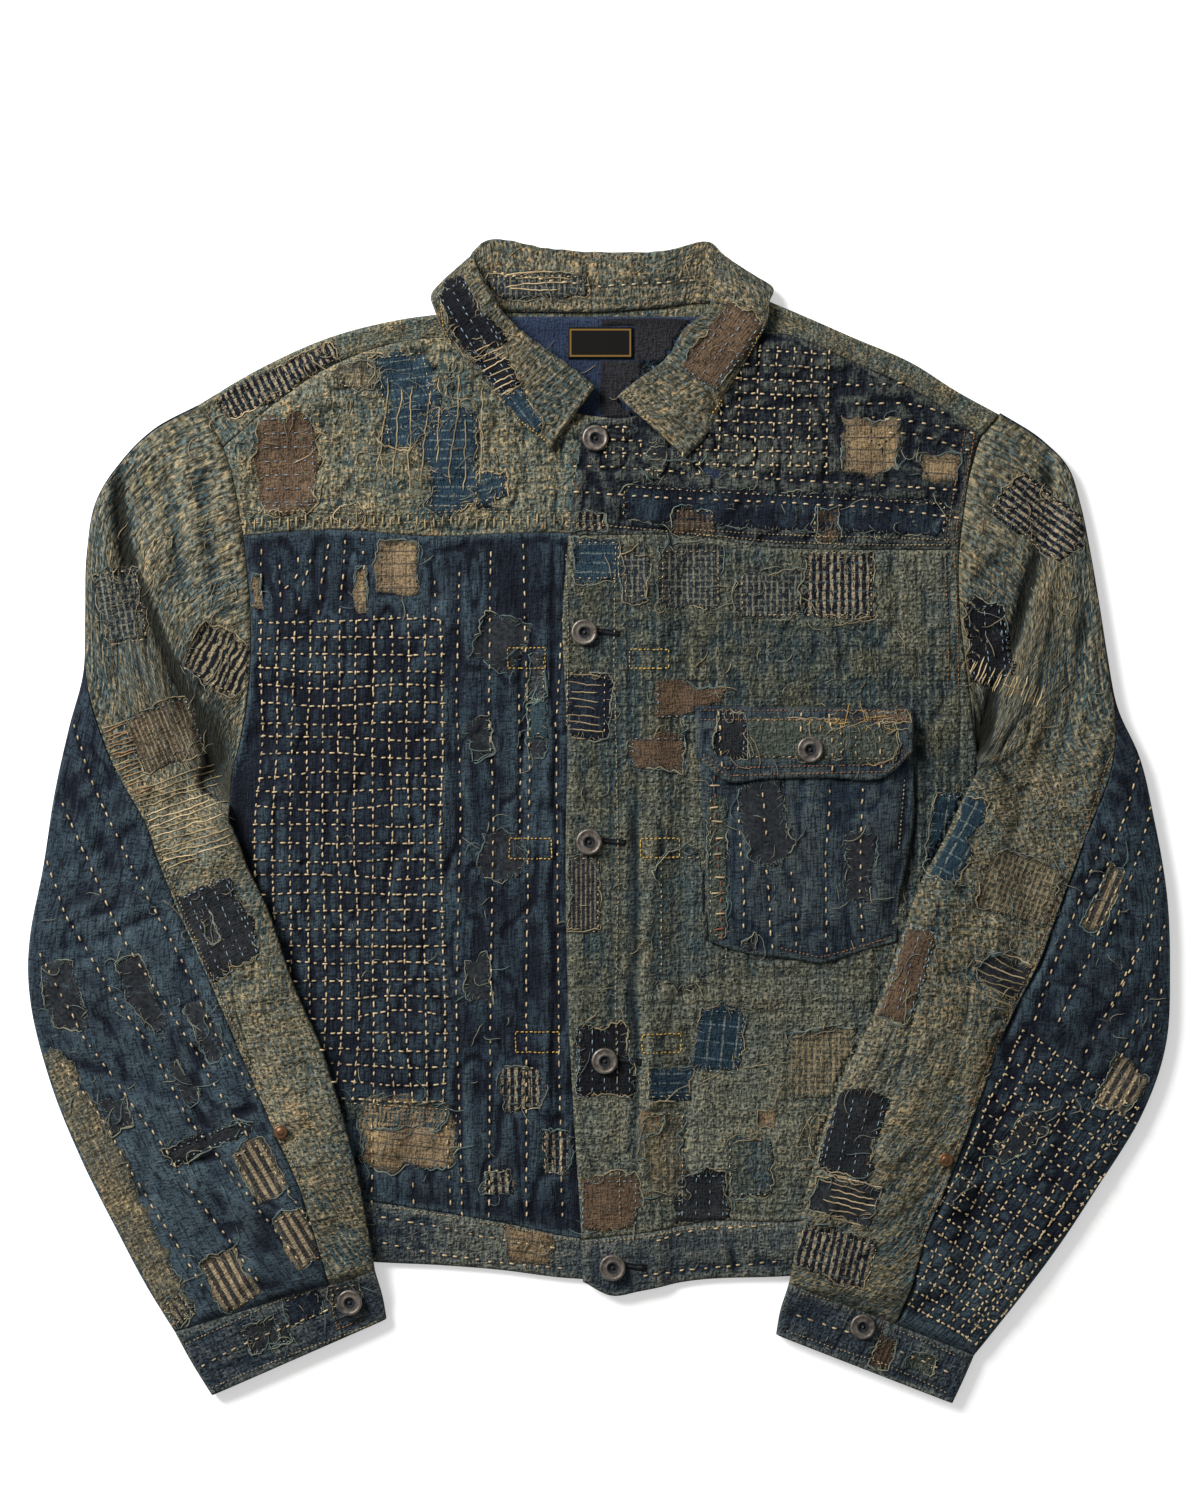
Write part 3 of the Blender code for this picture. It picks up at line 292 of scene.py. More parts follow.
# Rows of running stitches: piece, kind of row, each line as x, y, x, y and so on
RUNNING = (
    ("right_front", "row", (-217, 178, -217, 143), (-205, 168, -205, 153, -204, 133),
     (-193, 173, -194, 157, -204, 148), (-184, 172, -187, 163, -191, 150, -195, 132),
     (-173, 182, -175, 170, -178, 157, -180, 133), (-163, 185, -164, 164, -167, 132),
     (-152, 185, -151, 159), (-106, 159, -105, 133), (-90, 163, -92, 79, -89, 15, -92, -113, -88, -255),
     (-70, 178, -71, 66, -68, 15, -70, -113, -71, -255),
     (-49, 181, -47, 85, -45, 37, -47, -88, -47, -255), (-52, 85, -51, 44, -51, -11),
     (-20, 178, -25, 111, -28, 66, -26, -164, -24, -255), (-99, -184, -97, -216, -95, -255),
     (-146, -190, -146, -255), (-120, -228, -119, -257)),
    ("right_front_yoke", "wide tan", (-239, 191, -192, 194, -141, 191, -83, 195, 0, 193),
     (-238, 197, -192, 200, -141, 197, -83, 200, 0, 198)),
    ("left_front_yoke", "row", (-18, 228, 0, 228, 40, 225, 102, 221, 232, 213),
     (-19, 212, 26, 209, 101, 206, 179, 202, 232, 195), (147, 283, 163, 280, 200, 282, 224, 275),
     (161, 268, 195, 269, 223, 262, 240, 259), (172, 260, 202, 257, 242, 249),
     (183, 250, 202, 249, 239, 238)),
    ("left_front_yoke", "tan", (58, 188, 90, 186, 128, 184, 179, 183, 230, 181),
     (-18, 192, 51, 186, 115, 180, 173, 178, 225, 178)),
    ("left_front_yoke", "orange", (240, 250, 236, 226, 230, 200, 227, 178),
     (234, 252, 229, 226, 225, 200, 222, 178)),
    ("left_front", "tan", (-22, 178, -20, 117, -22, 40, -22, -113, -15, -255)),
    ("left_front", "wide tan", (10, 178, 9, 117, 12, -36, 10, -113, 13, -255)),
    ("left_front", "orange", (221, 173, 223, 130, 223, 85), (227, 173, 229, 130, 230, 85)),
    ("right_waistband", "row", (-141, -252, -102, -259, -64, -267, -26, -273),
     (-140, -269, -102, -277, -64, -282, -22, -286)),
    ("right_waistband", "tan", (-140, -245, -102, -251, -64, -258, -19, -267)),
    ("left_waistband", "row", (32, -268, 64, -260, 102, -258), (26, -290, 64, -286, 115, -281)),
    ("left_waistband", "tan", (-10, -269, 26, -265, 64, -259, 115, -257)),
    ("pocket", "row", (104, 22, 106, -4, 106, -8), (106, -28, 108, -43, 109, -70, 111, -83),
     (122, -30, 125, -52, 126, -81), (147, 24, 146, -4, 144, -24, 145, -84),
     (168, 24, 167, -4, 166, -49, 169, -79), (88, 12, 90, -17, 92, -43, 92, -70)),
    ("pocket", "tan", (195, 28, 193, 5, 191, -17)),
    ("pocket", "orange", (115, -80, 141, -86, 160, -81, 187, -73)),
    ("pocket", "rust", (73, 31, 74, -4, 77, -36, 78, -75)),
    ("pocket_flap", "orange", (63, 72, 102, 72, 147, 72, 197, 72), (63, 66, 102, 66, 147, 66, 197, 66),
     (66, 44, 80, 35, 106, 36, 166, 37, 184, 38, 196, 49),
     (65, 41, 81, 30, 104, 31, 145, 32, 184, 33, 198, 46)),
    ("pocket_flap", "row", (76, 73, 77, 52, 78, 32), (129, 73, 128, 60, 128, 56),
     (146, 73, 148, 52, 148, 31), (178, 67, 179, 47, 180, 32)),
    ("right_sleeve_back", "row", (-337, 65, -324, 24, -298, -31, -271, -80, -246, -133, -221, -171, -213,
     -182), (-345, 15, -324, -31, -307, -70, -269, -129, -234, -186, -202, -229, -178, -263),
     (-354, -23, -342, -58, -312, -108, -283, -150, -262, -191, -224, -237, -191, -280),
     (-360, -80, -333, -132, -303, -174, -282, -202, -257, -241, -216, -294),
     (-346, -152, -318, -189, -292, -236, -262, -282, -252, -299)),
    ("right_cuff", "tan", (-266, -334, -239, -321, -211, -308, -177, -294),
     (-249, -362, -224, -351, -192, -338, -159, -326, -142, -319)),
    ("right_cuff", "row", (-257, -349, -231, -335, -200, -322, -173, -311)),
    ("right_cuff", "orange", (-172, -292, -171, -312, -168, -324, -152, -318)),
    ("left_sleeve_back", "row", (347, 50, 339, 15, 328, -17, 319, -43, 310, -65),
     (355, 21, 346, -17, 334, -49, 323, -81), (361, -17, 352, -62, 339, -94, 326, -120),
     (362, -62, 355, -97, 344, -126, 332, -152),
     (360, -104, 352, -139, 328, -196, 310, -225, 291, -251, 269, -281, 246, -312, 234, -334),
     (324, -5, 306, -50, 290, -90, 277, -128), (331, -40, 312, -86, 292, -128),
     (342, -84, 325, -120, 310, -148)),
    ("left_sleeve_front", "orange", (325, 40, 311, -1, 296, -40, 279, -85, 256, -131, 240, -174, 221,
     -221, 203, -267)),
    ("right_sleeve_front", "tan", (-292, 9, -278, -28, -264, -61, -244, -105, -225, -149, -205, -194,
     -186, -239)),
    ("left_cuff", "tan", (191, -325, 211, -333, 228, -341),
     (119, -325, 147, -335, 176, -344, 205, -357, 222, -365), (128, -300, 154, -306, 179, -315)),
    ("left_cuff", "row", (189, -337, 208, -345, 226, -353), (123, -314, 147, -322, 163, -327)),
    ("left_cuff", "orange", (182, -318, 179, -331, 175, -342)),
    ("collar", "gold", (-102, 332, -100, 316, -92, 301, -76, 280, -60, 265, -33, 243),
     (103, 314, 96, 301, 90, 289, 81, 275, 72, 262)),
    ("collar", "row", (-72, 354, -51, 350, 0, 344, 64, 348)),
)
# Rows of stitches side by side: thread, lines, pitch, stitch length, first line, last line
CROSSED = {
    "left_front_yoke": (("cream", 9, 5.2, 3, (58, 310, 52, 222), (147, 304, 145, 222)),
        ("cream", 9, 5.6, 3.4, (58, 305, 147, 300), (54, 230, 147, 228)),
        ("cream", 3, 5.2, 3, (4, 262, 4, 231), (26, 246, 26, 231)),
        ("cream", 3, 5.6, 3.2, (0, 253, 20, 253), (0, 237, 38, 236))),
    "right_front_yoke": (("tan", 40, 12, 8, (-238, 186, -238, 199), (-24, 187, -24, 199)),),
}
# Grids whose stitches cross at their nodes: piece, thread, columns, rows, stitch length, corners
# (low left, low right, high left, high right)
LATTICES = (
    ("right_front", "cream", 12, 29, 3.7, (-224, -178), (-99, -178), (-215, 131), (-103, 131)),
    ("left_sleeve_back", "cream", 9, 20, 3, (190, -304), (240, -334), (268, -132), (352, -190)),
)
# Single stitches set apart: piece, thread, centre x, y, length, turn in degrees
BAR_TACKS = (
    ("pocket", "cream", 74, 24, 9, 0), ("pocket", "cream", 73, 10, 8, 3),
    ("pocket", "cream", 75, 1, 9, -4), ("pocket", "cream", 77, -10, 8, 0),
    ("pocket", "cream", 75, -20, 8, 5), ("pocket", "cream", 76, -35, 9, -5),
    ("pocket", "cream", 74, -45, 8, 2), ("pocket", "cream", 77, -58, 9, 0),
    ("pocket", "rust", 76, -68, 9, 6),
)
# Stitched boxes that close the pleats: piece, x from, x to, y from, y to
PLEAT_BOXES = (
    ("right_front", -59, -35, 99, 112), ("left_front", 19, 44, 99, 111),
    ("right_front", -58, -31, -23, -10), ("left_front", 26, 51, -22, -10),
    ("right_front", -54, -26, -147, -134), ("left_front", 27, 52, -147, -135),
)


# ---- patches, holes, ladders

# Patches sewn on each piece: cloth, centre x, y, width, height, turn in degrees, raggedness
PATCHES = {
    "right_front_yoke": (("brown_cotton", -201, 232, 62, 38, 92, 3.2),
        ("blue_cotton", -124, 272, 34, 60, 8, 4.2), ("blue_cotton", -95, 232, 36, 62, 0, 4.2),
        ("beige_slub", -156, 286, 24, 16, 0, 3), ("beige_slub", -160, 199, 18, 14, 0, 3),
        ("blue_cotton", -70, 216, 18, 22, 10, 3)),
    "right_sleeve_back": (("beige_slub", -314, -232, 30, 200, 27, 4),
        ("tan_stripe", -216, -222, 24, 38, 30, 1.6), ("tan_stripe", -191, -264, 24, 38, 30, 1.6),
        ("tan_stripe", -236, -292, 26, 38, 30, 1.6), ("dark_stripe", -270, -312, 18, 20, 34, 1.6),
        ("charcoal_cotton", -252, -204, 60, 12, 24, 2.6)),
    "neck_lining": (("lining_charcoal", 29, 284, 58, 80, 0, 0.2),
        ("lining_navy", 72, 297, 27, 54, 0, 0.2), ("blue_cotton", 33, 291, 21, 17, 0, 0.3)),
    "back_yoke": (("dark_stripe", -204, 284, 84, 22, 25, 2),),
    "right_front": (("tan_plaid", -129, 163, 27, 36, 0, 1.6), ("tan_plaid", -153, 148, 9, 26, 0, 1.6),
        ("tan_cotton", -219, 146, 9, 22, 4, 1.6), ("tan_plaid", -125, -200, 62, 44, -6, 4),
        ("dark_stripe", -51, -170, 25, 30, 0, 2.4), ("dark_stripe", -29, -211, 17, 31, 0, 2),
        ("dark_stripe", -66, -230, 19, 19, 0, 2), ("grey_cotton", -40, 92, 12, 30, 0, 1.6),
        ("teal_cotton", -40, 66, 14, 22, 0, 1.6), ("teal_slub", -150, -186, 120, 16, -4, 4)),
    "right_waistband": (("tan_plaid", -47, -270, 30, 24, -8, 2),),
    "left_front_yoke": (("tan_plaid", 174, 240, 34, 38, 0, 2.8), ("tan_plaid", 218, 228, 26, 16, -5, 1.8),
        ("brown_stripe", 60, 192, 28, 20, 0, 2), ("brown_stripe", 145, 192, 19, 22, 0, 2),
        ("grey_green", 35, 223, 8, 9, 0, 1), ("dark_stripe", -6, 192, 20, 13, 0, 1.6),
        ("brown_stripe", -20, 227, 12, 40, 0, 1.6), ("washed_denim", 118, 200, 210, 24, -3, 1.6)),
    "left_front": (("blue_cotton", -2, 168, 32, 27, 0, 2), ("pale_check", 23, 159, 18, 32, 0, 2),
        ("pale_check", 58, 157, 40, 38, 0, 2.6), ("dark_stripe", 153, 153, 46, 44, 0, 2.4),
        ("pale_check", 110, 147, 42, 32, 0, 2.6), ("washed_denim", -9, 76, 28, 44, 0, 2.6),
        ("beige_slub", 42, -214, 26, 60, 0, 4), ("brown_cotton", 59, 79, 48, 26, 0, 3),
        ("brown_cotton", 38, 45, 38, 22, 0, 3), ("pinstripe", -10, -46, 22, 51, 0, 1.6),
        ("black_denim", 3, -152, 40, 51, 0, 3), ("brown_cotton", 6, -244, 38, 34, 0, 2.4),
        ("blue_window", 75, -140, 35, 43, -6, 2.4), ("blue_cotton", 45, -166, 32, 22, 0, 2),
        ("tan_cotton", 32, -192, 13, 16, 0, 1.6), ("tan_check", 141, -156, 45, 48, 0, 2.6),
        ("tan_cotton", 108, -190, 12, 13, 0, 1.6), ("charcoal_cotton", 66, -240, 35, 32, 0, 2.4),
        ("tan_check", 160, -200, 60, 30, 0, 3), ("teal_slub", 96, -220, 30, 40, 0, 3),
        ("teal_slub", 60, -60, 46, 80, 0, 5), ("blue_window", 226, -6, 30, 50, -8, 2.2)),
    "pocket": (("grey_green", 75, -28, 13, 92, 0, 0.6),),
    "pocket_flap": (("charcoal_cotton", 84, 57, 20, 30, 0, 1.4), ("grey_green", 126, 54, 60, 28, 0, 1),
        ("grey_green", 176, 50, 30, 22, 0, 1.6), ("brown_cotton", 186, 68, 24, 9, 0, 1)),
    "right_sleeve_front": (("pale_check", -307, 138, 30, 50, 10, 2.4),
        ("wavy_stripe", -243, 103, 33, 46, 62, 2.4), ("brown_pinstripe", -279, 56, 46, 40, 22, 2),
        ("charcoal_cotton", -244, -68, 44, 60, 24, 3), ("tan_check", -252, -140, 46, 22, 16, 2.2)),
    "left_sleeve_front": (("dark_stripe", 282, 196, 34, 60, 52, 2.4),
        ("black_denim", 248, 116, 30, 50, 6, 3), ("blue_window", 226, -8, 26, 64, -28, 2.4),
        ("brown_cotton", 192, -94, 34, 62, -16, 2.8), ("tan_check", 268, -42, 48, 44, -20, 2.8),
        ("charcoal_cotton", 161, -199, 38, 58, -12, 2.6), ("dark_stripe", 150, -276, 52, 30, -14, 2.4)),
    "left_sleeve_back": (("tan_stripe", 323, -46, 15, 44, -24, 1.8),
        ("tan_stripe", 333, -168, 26, 34, -30, 2.2)),
    "collar": (("pale_check", -40, 345, 60, 15, 0, 2), ("black_denim", -83, 322, 24, 52, 32, 2.6),
        ("black_denim", -68, 292, 18, 40, 38, 2.6), ("blue_cotton", -50, 262, 30, 20, -52, 2),
        ("brown_cotton", 79, 304, 30, 56, -38, 2)),
    "right_cuff": (("charcoal_cotton", -214, -328, 30, 20, 22, 2.4),
        ("grey_cotton", -162, -300, 22, 12, 14, 1.6), ("washed_denim", -190, -310, 26, 20, 22, 1.4)),
    "left_cuff": (("brown_stripe", 182, -338, 14, 22, -22, 1.4),
        ("grey_green", 206, -346, 18, 14, -22, 1.6)),
}
# Worn holes with the dark under layer showing, darkened as painted shade in the hole: centre x, y,
# width, height, turn
HOLES = {
    "right_front": ((-64, 116, 28, 32, -24), (-40, 90, 11, 22, 0), (-78, 55, 13, 28, 8),
        (-40, 47, 10, 18, 0), (-63, -20, 26, 30, 0), (-77, -100, 18, 30, 12)),
    "left_front": ((64, 46, 10, 14, 20),),
    "left_front_yoke": ((50, 236, 34, 11, -2), (74, 224, 20, 7, -4)),
    "pocket": ((106, 0, 30, 48, 14), (165, -30, 19, 42, 0), (96, -78, 16, 10, 20)),
    "pocket_flap": ((159, 66, 16, 9, 10), (188, 63, 16, 9, 4)),
    "right_sleeve_back": ((-293, -108, 17, 48, 24), (-252, -132, 15, 42, 26), (-308, -186, 17, 26, 20),
        (-342, -112, 20, 40, 14), (-267, -164, 10, 30, 34)),
    "left_sleeve_back": ((268, -202, 40, 16, 34), (226, -236, 16, 10, 34)),
    "left_sleeve_front": ((158, -240, 42, 24, -14), (260, -98, 38, 22, -22)),
    "right_sleeve_front": ((-250, -66, 8, 20, 30),),
    "right_cuff": ((-214, -330, 20, 14, 22),),
}
# Places where only the yarn of one direction is left: yarn, centre x, y, width, height, turn of the
# yarn in degrees, pitch
LADDERS = {
    "left_front": (("tan", -9, 76, 30, 44, -6, 5),),
    "right_sleeve_front": (("brown", -304, 39, 24, 50, 20, 2.6), ("cream", -268, 4, 66, 58, 18, 4.2)),
    "left_sleeve_front": (("cream", 258, -98, 46, 30, -22, 4.6), ("cream", 159, -240, 46, 26, -14, 4.2),
        ("cream", 256, 92, 20, 56, 66, 3)),
    "collar": (("cream", -36, 348, 50, 12, 0, 3.4), ("cream", -66, 292, 22, 36, 24, 4.6)),
    "right_front_yoke": (("beige", -108, 250, 76, 64, 86, 9),),
}
# Loose yarn on each piece: yarn, centre x, y, width, height of the place, ends, longest end
FRAYS = {
    "right_front_yoke": (("beige", -150, 240, 180, 90, 60, 26), ("sage", -110, 250, 60, 90, 24, 26)),
    "back_yoke": (("beige", -190, 300, 120, 30, 20, 16),),
    "right_front": (("sage", -110, -120, 120, 240, 30, 18),),
    "left_front_yoke": (("sage", 110, 210, 220, 80, 22, 16),),
    "left_front": (("beige", 100, 20, 220, 320, 60, 18), ("sage", 90, -40, 220, 420, 60, 16)),
    "right_sleeve_front": (("beige", -275, 190, 80, 120, 44, 22), ("sage", -250, -40, 120, 300, 60, 20)),
    "right_sleeve_back": (("sage", -290, -160, 120, 240, 34, 16),),
    "left_sleeve_front": (("beige", 280, 100, 100, 260, 60, 18), ("sage", 230, -100, 140, 240, 70, 20)),
    "left_sleeve_back": (("sage", 290, -180, 140, 260, 30, 15),),
    "collar": (("beige", 0, 320, 230, 110, 70, 20),),
    "pocket": (("sage", 130, -20, 120, 110, 14, 14),),
    "pocket_flap": (("gold", 160, 64, 50, 12, 12, 16),),
    "right_cuff": (("sage", -180, -318, 90, 30, 12, 14),),
    "left_cuff": (("sage", 170, -330, 90, 30, 8, 12),),
    "left_waistband": (("sage", 80, -275, 180, 24, 10, 12),),
    "right_waistband": (("sage", -90, -268, 140, 24, 10, 12),),
}
# Buttonhole slits beside the front buttons: centre x, y
BUTTONHOLES = {
    "left_front_yoke": ((11, 247),),
    "left_front": ((5, 122), (8, -12), (18, -152)),
    "left_waistband": ((22, -284),),
}
# Where each piece is rubbed pale, and where a negative strength darkens it: painted shade in the
# armhole hollows, along creases, beside the pocket and at the side edges, and darker cloth under the
# right front's grid. Columns: centre x, y, half width, half height, strength
WEAR_AND_SHADE_SPOTS = {
    "right_sleeve_front": ((-248, 52, 12, 32, -1), (-262, 92, 12, 30, -0.6), (-230, -120, 90, 120, 0.3),
        (-280, 60, 50, 30, 0.3), (-262, 6, 40, 36, 0.8), (-202, -190, 30, 70, 1),
        (-280, 200, 40, 60, 0.5)),
    "left_sleeve_front": ((243, 52, 10, 26, -0.8), (270, -20, 36, 44, 0.6), (270, 20, 60, 90, 0.3),
        (270, -50, 50, 40, 0.6), (290, 190, 40, 60, 0.5), (170, -170, 40, 60, 0.6),
        (214, -140, 30, 50, 0.6)),
    "left_front": ((204, 10, 8, 60, -0.8), (22, -100, 3, 150, -0.9), (38, -60, 3, 60, -0.8),
        (222, -60, 14, 90, -0.6), (110, -190, 130, 80, 0.85), (56, -196, 80, 60, 1),
        (60, -40, 60, 80, 0.45), (42, -104, 24, 30, 1), (134, -122, 44, 44, 0.7), (206, 150, 26, 34, 0.6),
        (210, -60, 24, 50, 0.4)),
    "right_front": ((-234, -60, 12, 90, -0.8), (-56, 150, 12, 40, -0.4), (-160, 60, 50, 60, -0.35),
        (-167, 97, 24, 12, 0.5), (-50, 20, 20, 60, 0.4), (-130, -210, 80, 26, 0.6),
        (-112, 146, 34, 22, 0.4), (-196, -64, 30, 10, 0.4), (-96, -50, 10, 130, 0.4)),
    "right_sleeve_back": ((-290, -120, 100, 170, 0.45), (-300, -70, 50, 18, 0.7),
        (-250, -204, 50, 14, 0.7), (-300, -250, 80, 90, 0.9)),
    "left_sleeve_back": ((330, -60, 60, 120, 0.3), (250, -300, 60, 30, 0.6), (330, -40, 20, 60, 0.4)),
    "right_waistband": ((-62, -270, 50, 20, 0.8),),
    "left_waistband": ((100, -270, 100, 30, 0.35),),
    "right_front_yoke": ((-60, 226, 40, 34, 0.5), (-180, 280, 40, 26, 0.6), (-160, 220, 30, 30, 0.4)),
    "left_front_yoke": ((80, 232, 60, 14, 0.5), (190, 190, 50, 12, 0.4)),
    "collar": ((40, 256, 26, 26, 0.7), (-10, 360, 60, 14, 0.6), (86, 340, 20, 20, 0.6)),
    "pocket": ((120, -20, 26, 50, 0.5), (176, -40, 20, 50, 0.4)),
    "pocket_flap": ((130, 50, 60, 20, 0.6),),
}


# ---- curves and heights

def ease(value, low, high):
    """0 below low, 1 above high, smooth between."""
    share = np.clip((value - low) / (high - low), 0, 1)
    return share * share * (3 - 2 * share)


def hermite(knots, values, at):
    """Smooth curve through the values at the knots; values may be points."""
    knots = np.asarray(knots)
    values = np.asarray(values)
    at = np.clip(at, knots[0], knots[-1])
    slopes = np.gradient(values, knots, axis=0)
    first = np.clip(np.searchsorted(knots, at, side="right") - 1, 0, len(knots) - 2)
    step = (knots[first + 1] - knots[first]).reshape(at.shape + (1,) * (values.ndim - 1))
    share = (at - knots[first]).reshape(step.shape) / step
    square = share * share
    cube = square * share
    return ((2 * cube - 3 * square + 1) * values[first]
            + (cube - 2 * square + share) * step * slopes[first]
            + (3 * square - 2 * cube) * values[first + 1]
            + (cube - square) * step * slopes[first + 1])


def runs_along(points):
    """How far along a line each of its points is."""
    return np.concatenate([[0], np.cumsum(np.linalg.norm(np.diff(points, axis=0), axis=1))])


def unit(vectors):
    return vectors / np.linalg.norm(vectors, axis=-1, keepdims=True)


def along(points, count):
    """The given number of points, evenly spaced on a smooth curve through a table's points."""
    knots = runs_along(points)
    return hermite(knots, points, np.linspace(0, knots[-1], count))


def column(table, index, at):
    """A table's column at the given values of its first column."""
    rows = np.array(table)
    return hermite(rows[:, 0], rows[:, index], at)


def line_points(table, index, low, high, count):
    heights = np.linspace(low, high, count)
    return np.stack([column(table, index, heights), heights], axis=1)


def edge_points(index, low, high, count):
    """Points up the side seam and armhole between two heights; index 1 is right, 2 is left."""
    return line_points(BODY_EDGE, index, low, high, count)


def outside_body(x, y):
    """How far a point lies outside the sides or below the hem; negative inside."""
    right = column(BODY_EDGE, 1, y) - x
    left = x - column(BODY_EDGE, 2, y)
    hem = np.where(x < 0, column(RIGHT_HEM, 1, x), column(LEFT_HEM, 1, x)) - y
    return np.maximum(np.maximum(right, left), hem)


def fold_height(x, y, folds):
    """Sum of straight soft folds, each fading out at its ends."""
    total = 0 * (x + y)
    for start_x, start_y, end_x, end_y, height, half_width in folds:
        length = math.hypot(end_x - start_x, end_y - start_y)
        run_x, run_y = (end_x - start_x) / length, (end_y - start_y) / length
        forward = (x - start_x) * run_x + (y - start_y) * run_y
        aside = (x - start_x) * run_y - (y - start_y) * run_x
        fade = ease(forward, 0, 0.25 * length) * ease(length - forward, 0, 0.25 * length)
        total = total + height * fade * np.exp(-((aside / half_width) ** 2))
    return total


def front_lift(x, y):
    """How far the fronts stand off the back: 0 at the side seams, 1 inside and at the armholes."""
    inside = ease(-outside_body(x, y), 0, LIFT_REACH)
    return np.maximum(inside, ease(y, 20, 70))


def right_under(x, y):
    """Underside of the right front: just clear of the back at the sides, lifted inside."""
    return CLOTH + GAP + front_lift(x, y) * (FRONT_LIFT + fold_height(x, y, BODY_FOLDS))


def left_under(x, y):
    """Underside of the left front: like the right one, stepped up where it laps over it."""
    return right_under(x, y) + LAP_STEP * ease(LAP_END - x, 0, LAP_REACH)


def front_under(x, y, side):
    return right_under(x, y) if side == "right" else left_under(x, y)


def sleeve_rest(x, y, side):
    """What the sleeve lies on: the table outside the body, the front's upper side inside."""
    low, high = RIGHT_CLIMB if side == "right" else LEFT_CLIMB
    climbed = 1 - ease(y, low, high)
    beside = 1 - ease(outside_body(x, y), CLIMB_START, CLIMB_REACH)
    return (right_under(x, y) + CLIMB_HEIGHT) * beside * climbed


def past_fold(x, y, side):
    """How far a place lies outwards of the line where the bent sleeve folds over its cap."""
    line = column(SLEEVE_FOLD, 1 if side == "right" else 2, y)
    return (line - x) * (1 if side == "right" else -1)


def fold_reach(y):
    """How much of the fold there is: none at the shoulder and under the arm."""
    return ease(y, 24, 50) * ease(250 - y, 0, 50)


def sleeve_upper(x, y, side, height):
    """Upper side of the sleeve: low on its cap, higher past the fold where it bends."""
    cap = right_under(x, y) + CLOTH
    tube = np.maximum(height + CLIMB_SHARE * sleeve_rest(x, y, side), cap)
    past = past_fold(x, y, side)
    roll = 1.2 * np.exp(-(((past - 8) / 7) ** 2)) - 3 * np.exp(-(((past + 4) / 4) ** 2))
    return cap + (tube - cap) * ease(past, -1, 3.5) + fold_reach(y) * roll


# ---- relief of the cloth

TROUGH_WIDTH = 0.10
# How deep a scrap or hole sinks into its cloth, and how wide the slope round it is
SCRAP_SINK = 0.9
SCRAP_BORDER = 1.8
CHANCE = np.random.default_rng(71).random((256, 256)) * 2 - 1


def noise(x, y, grain_x, grain_y, seed):
    """Smooth unevenness from -1 to 1, with its grain in millimetres."""
    grid_x = x / grain_x + 17.3 * seed
    grid_y = y / grain_y + 9.1 * seed
    cell_x = np.floor(grid_x).astype(int)
    cell_y = np.floor(grid_y).astype(int)
    share_x = ease(grid_x - cell_x, 0, 1)
    share_y = ease(grid_y - cell_y, 0, 1)
    low, high = (CHANCE[cell_x % 256, (cell_y + up) % 256] * (1 - share_x)
                 + CHANCE[(cell_x + 1) % 256, (cell_y + up) % 256] * share_x for up in (0, 1))
    return low * (1 - share_y) + high * share_y


def troughs(x, y, grain_x, grain_y, seed):
    """Narrow wandering creases: 1 along their bottoms, 0 between them."""
    return np.exp(-((noise(x, y, grain_x, grain_y, seed) / TROUGH_WIDTH) ** 2))


def rows_between(first, last, count):
    """Evenly spaced straight lines from the first to the last: each is two points."""
    first, last = np.reshape([first, last], (2, 2, 2))
    return [first + (last - first) * share for share in np.linspace(0, 1, count)]


def turned(x, y, degrees):
    angle = math.radians(degrees)
    return x * math.cos(angle) - y * math.sin(angle), x * math.sin(angle) + y * math.cos(angle)


def entries(table):
    """A table's rows, each with the piece it stands under put first."""
    return [(piece, *row) for piece, rows in table.items() for row in rows]


def lattice_nodes(columns, rows, corners):
    """Crossing points of a hand-sewn grid, wandering a little; rows first."""
    low_left, low_right, high_left, high_right = np.array(corners)
    up = np.linspace(0, 1, rows)[:, None, None]
    low, high = (np.linspace(*ends, columns) for ends in ((low_left, low_right), (high_left, high_right)))
    nodes = (1 - up) * low + up * high
    x, y = nodes[..., 0], nodes[..., 1]
    return nodes + 3.2 * np.dstack([noise(x, y, 30, 60, 21), noise(x, y, 48, 17, 22)])


def stitch_lines():
    """Every line of stitches: piece, thread, pitch, stitch length, points."""
    lines = [(piece, *ROW_KINDS[kind], np.reshape(line, (-1, 2)))
             for piece, kind, *rows in RUNNING for line in rows]
    for piece, thread, count, pitch, length, first, last in entries(CROSSED):
        for points in rows_between(first, last, count):
            lines.append((piece, thread, pitch, length, points))
    for piece, thread, x, y, length, degrees in BAR_TACKS:
        reach = np.array(turned(0.5 * length, 0, degrees))
        lines.append((piece, thread, length + 1, length, np.array([(x, y) - reach, (x, y) + reach])))
    for piece, thread, columns, rows, length, *corners in LATTICES:
        nodes = lattice_nodes(columns, rows, corners)
        for points in [*nodes, *nodes.transpose(1, 0, 2)]:
            run = np.linalg.norm(np.diff(points, axis=0), axis=1).sum()
            pitch = 0.5 * run / (len(points) - 1)
            start = points[0] - (points[1] - points[0]) * 0.25
            end = points[-1] + (points[-1] - points[-2]) * 0.25
            lines.append((piece, thread, pitch, length, np.array([start, *points[1:-1], end])))
    for piece, low_x, high_x, low_y, high_y in PLEAT_BOXES:
        corners = [(low_x, low_y), (high_x, low_y), (high_x, high_y), (low_x, high_y), (low_x, low_y)]
        for start, end in zip(corners, corners[1:]):
            lines.append((piece, *ROW_KINDS["box"], np.array([start, end])))
    return lines


def distance_to_line(x, y, points):
    """Distance from each place to a line of points."""
    nearest = np.full(np.shape(x), 1e9)
    for start, end in zip(points, points[1:]):
        run = end - start
        share = np.clip(((x - start[0]) * run[0] + (y - start[1]) * run[1]) / (run @ run), 0, 1)
        far = np.hypot(x - start[0] - share * run[0], y - start[1] - share * run[1])
        nearest = np.minimum(nearest, far)
    return nearest


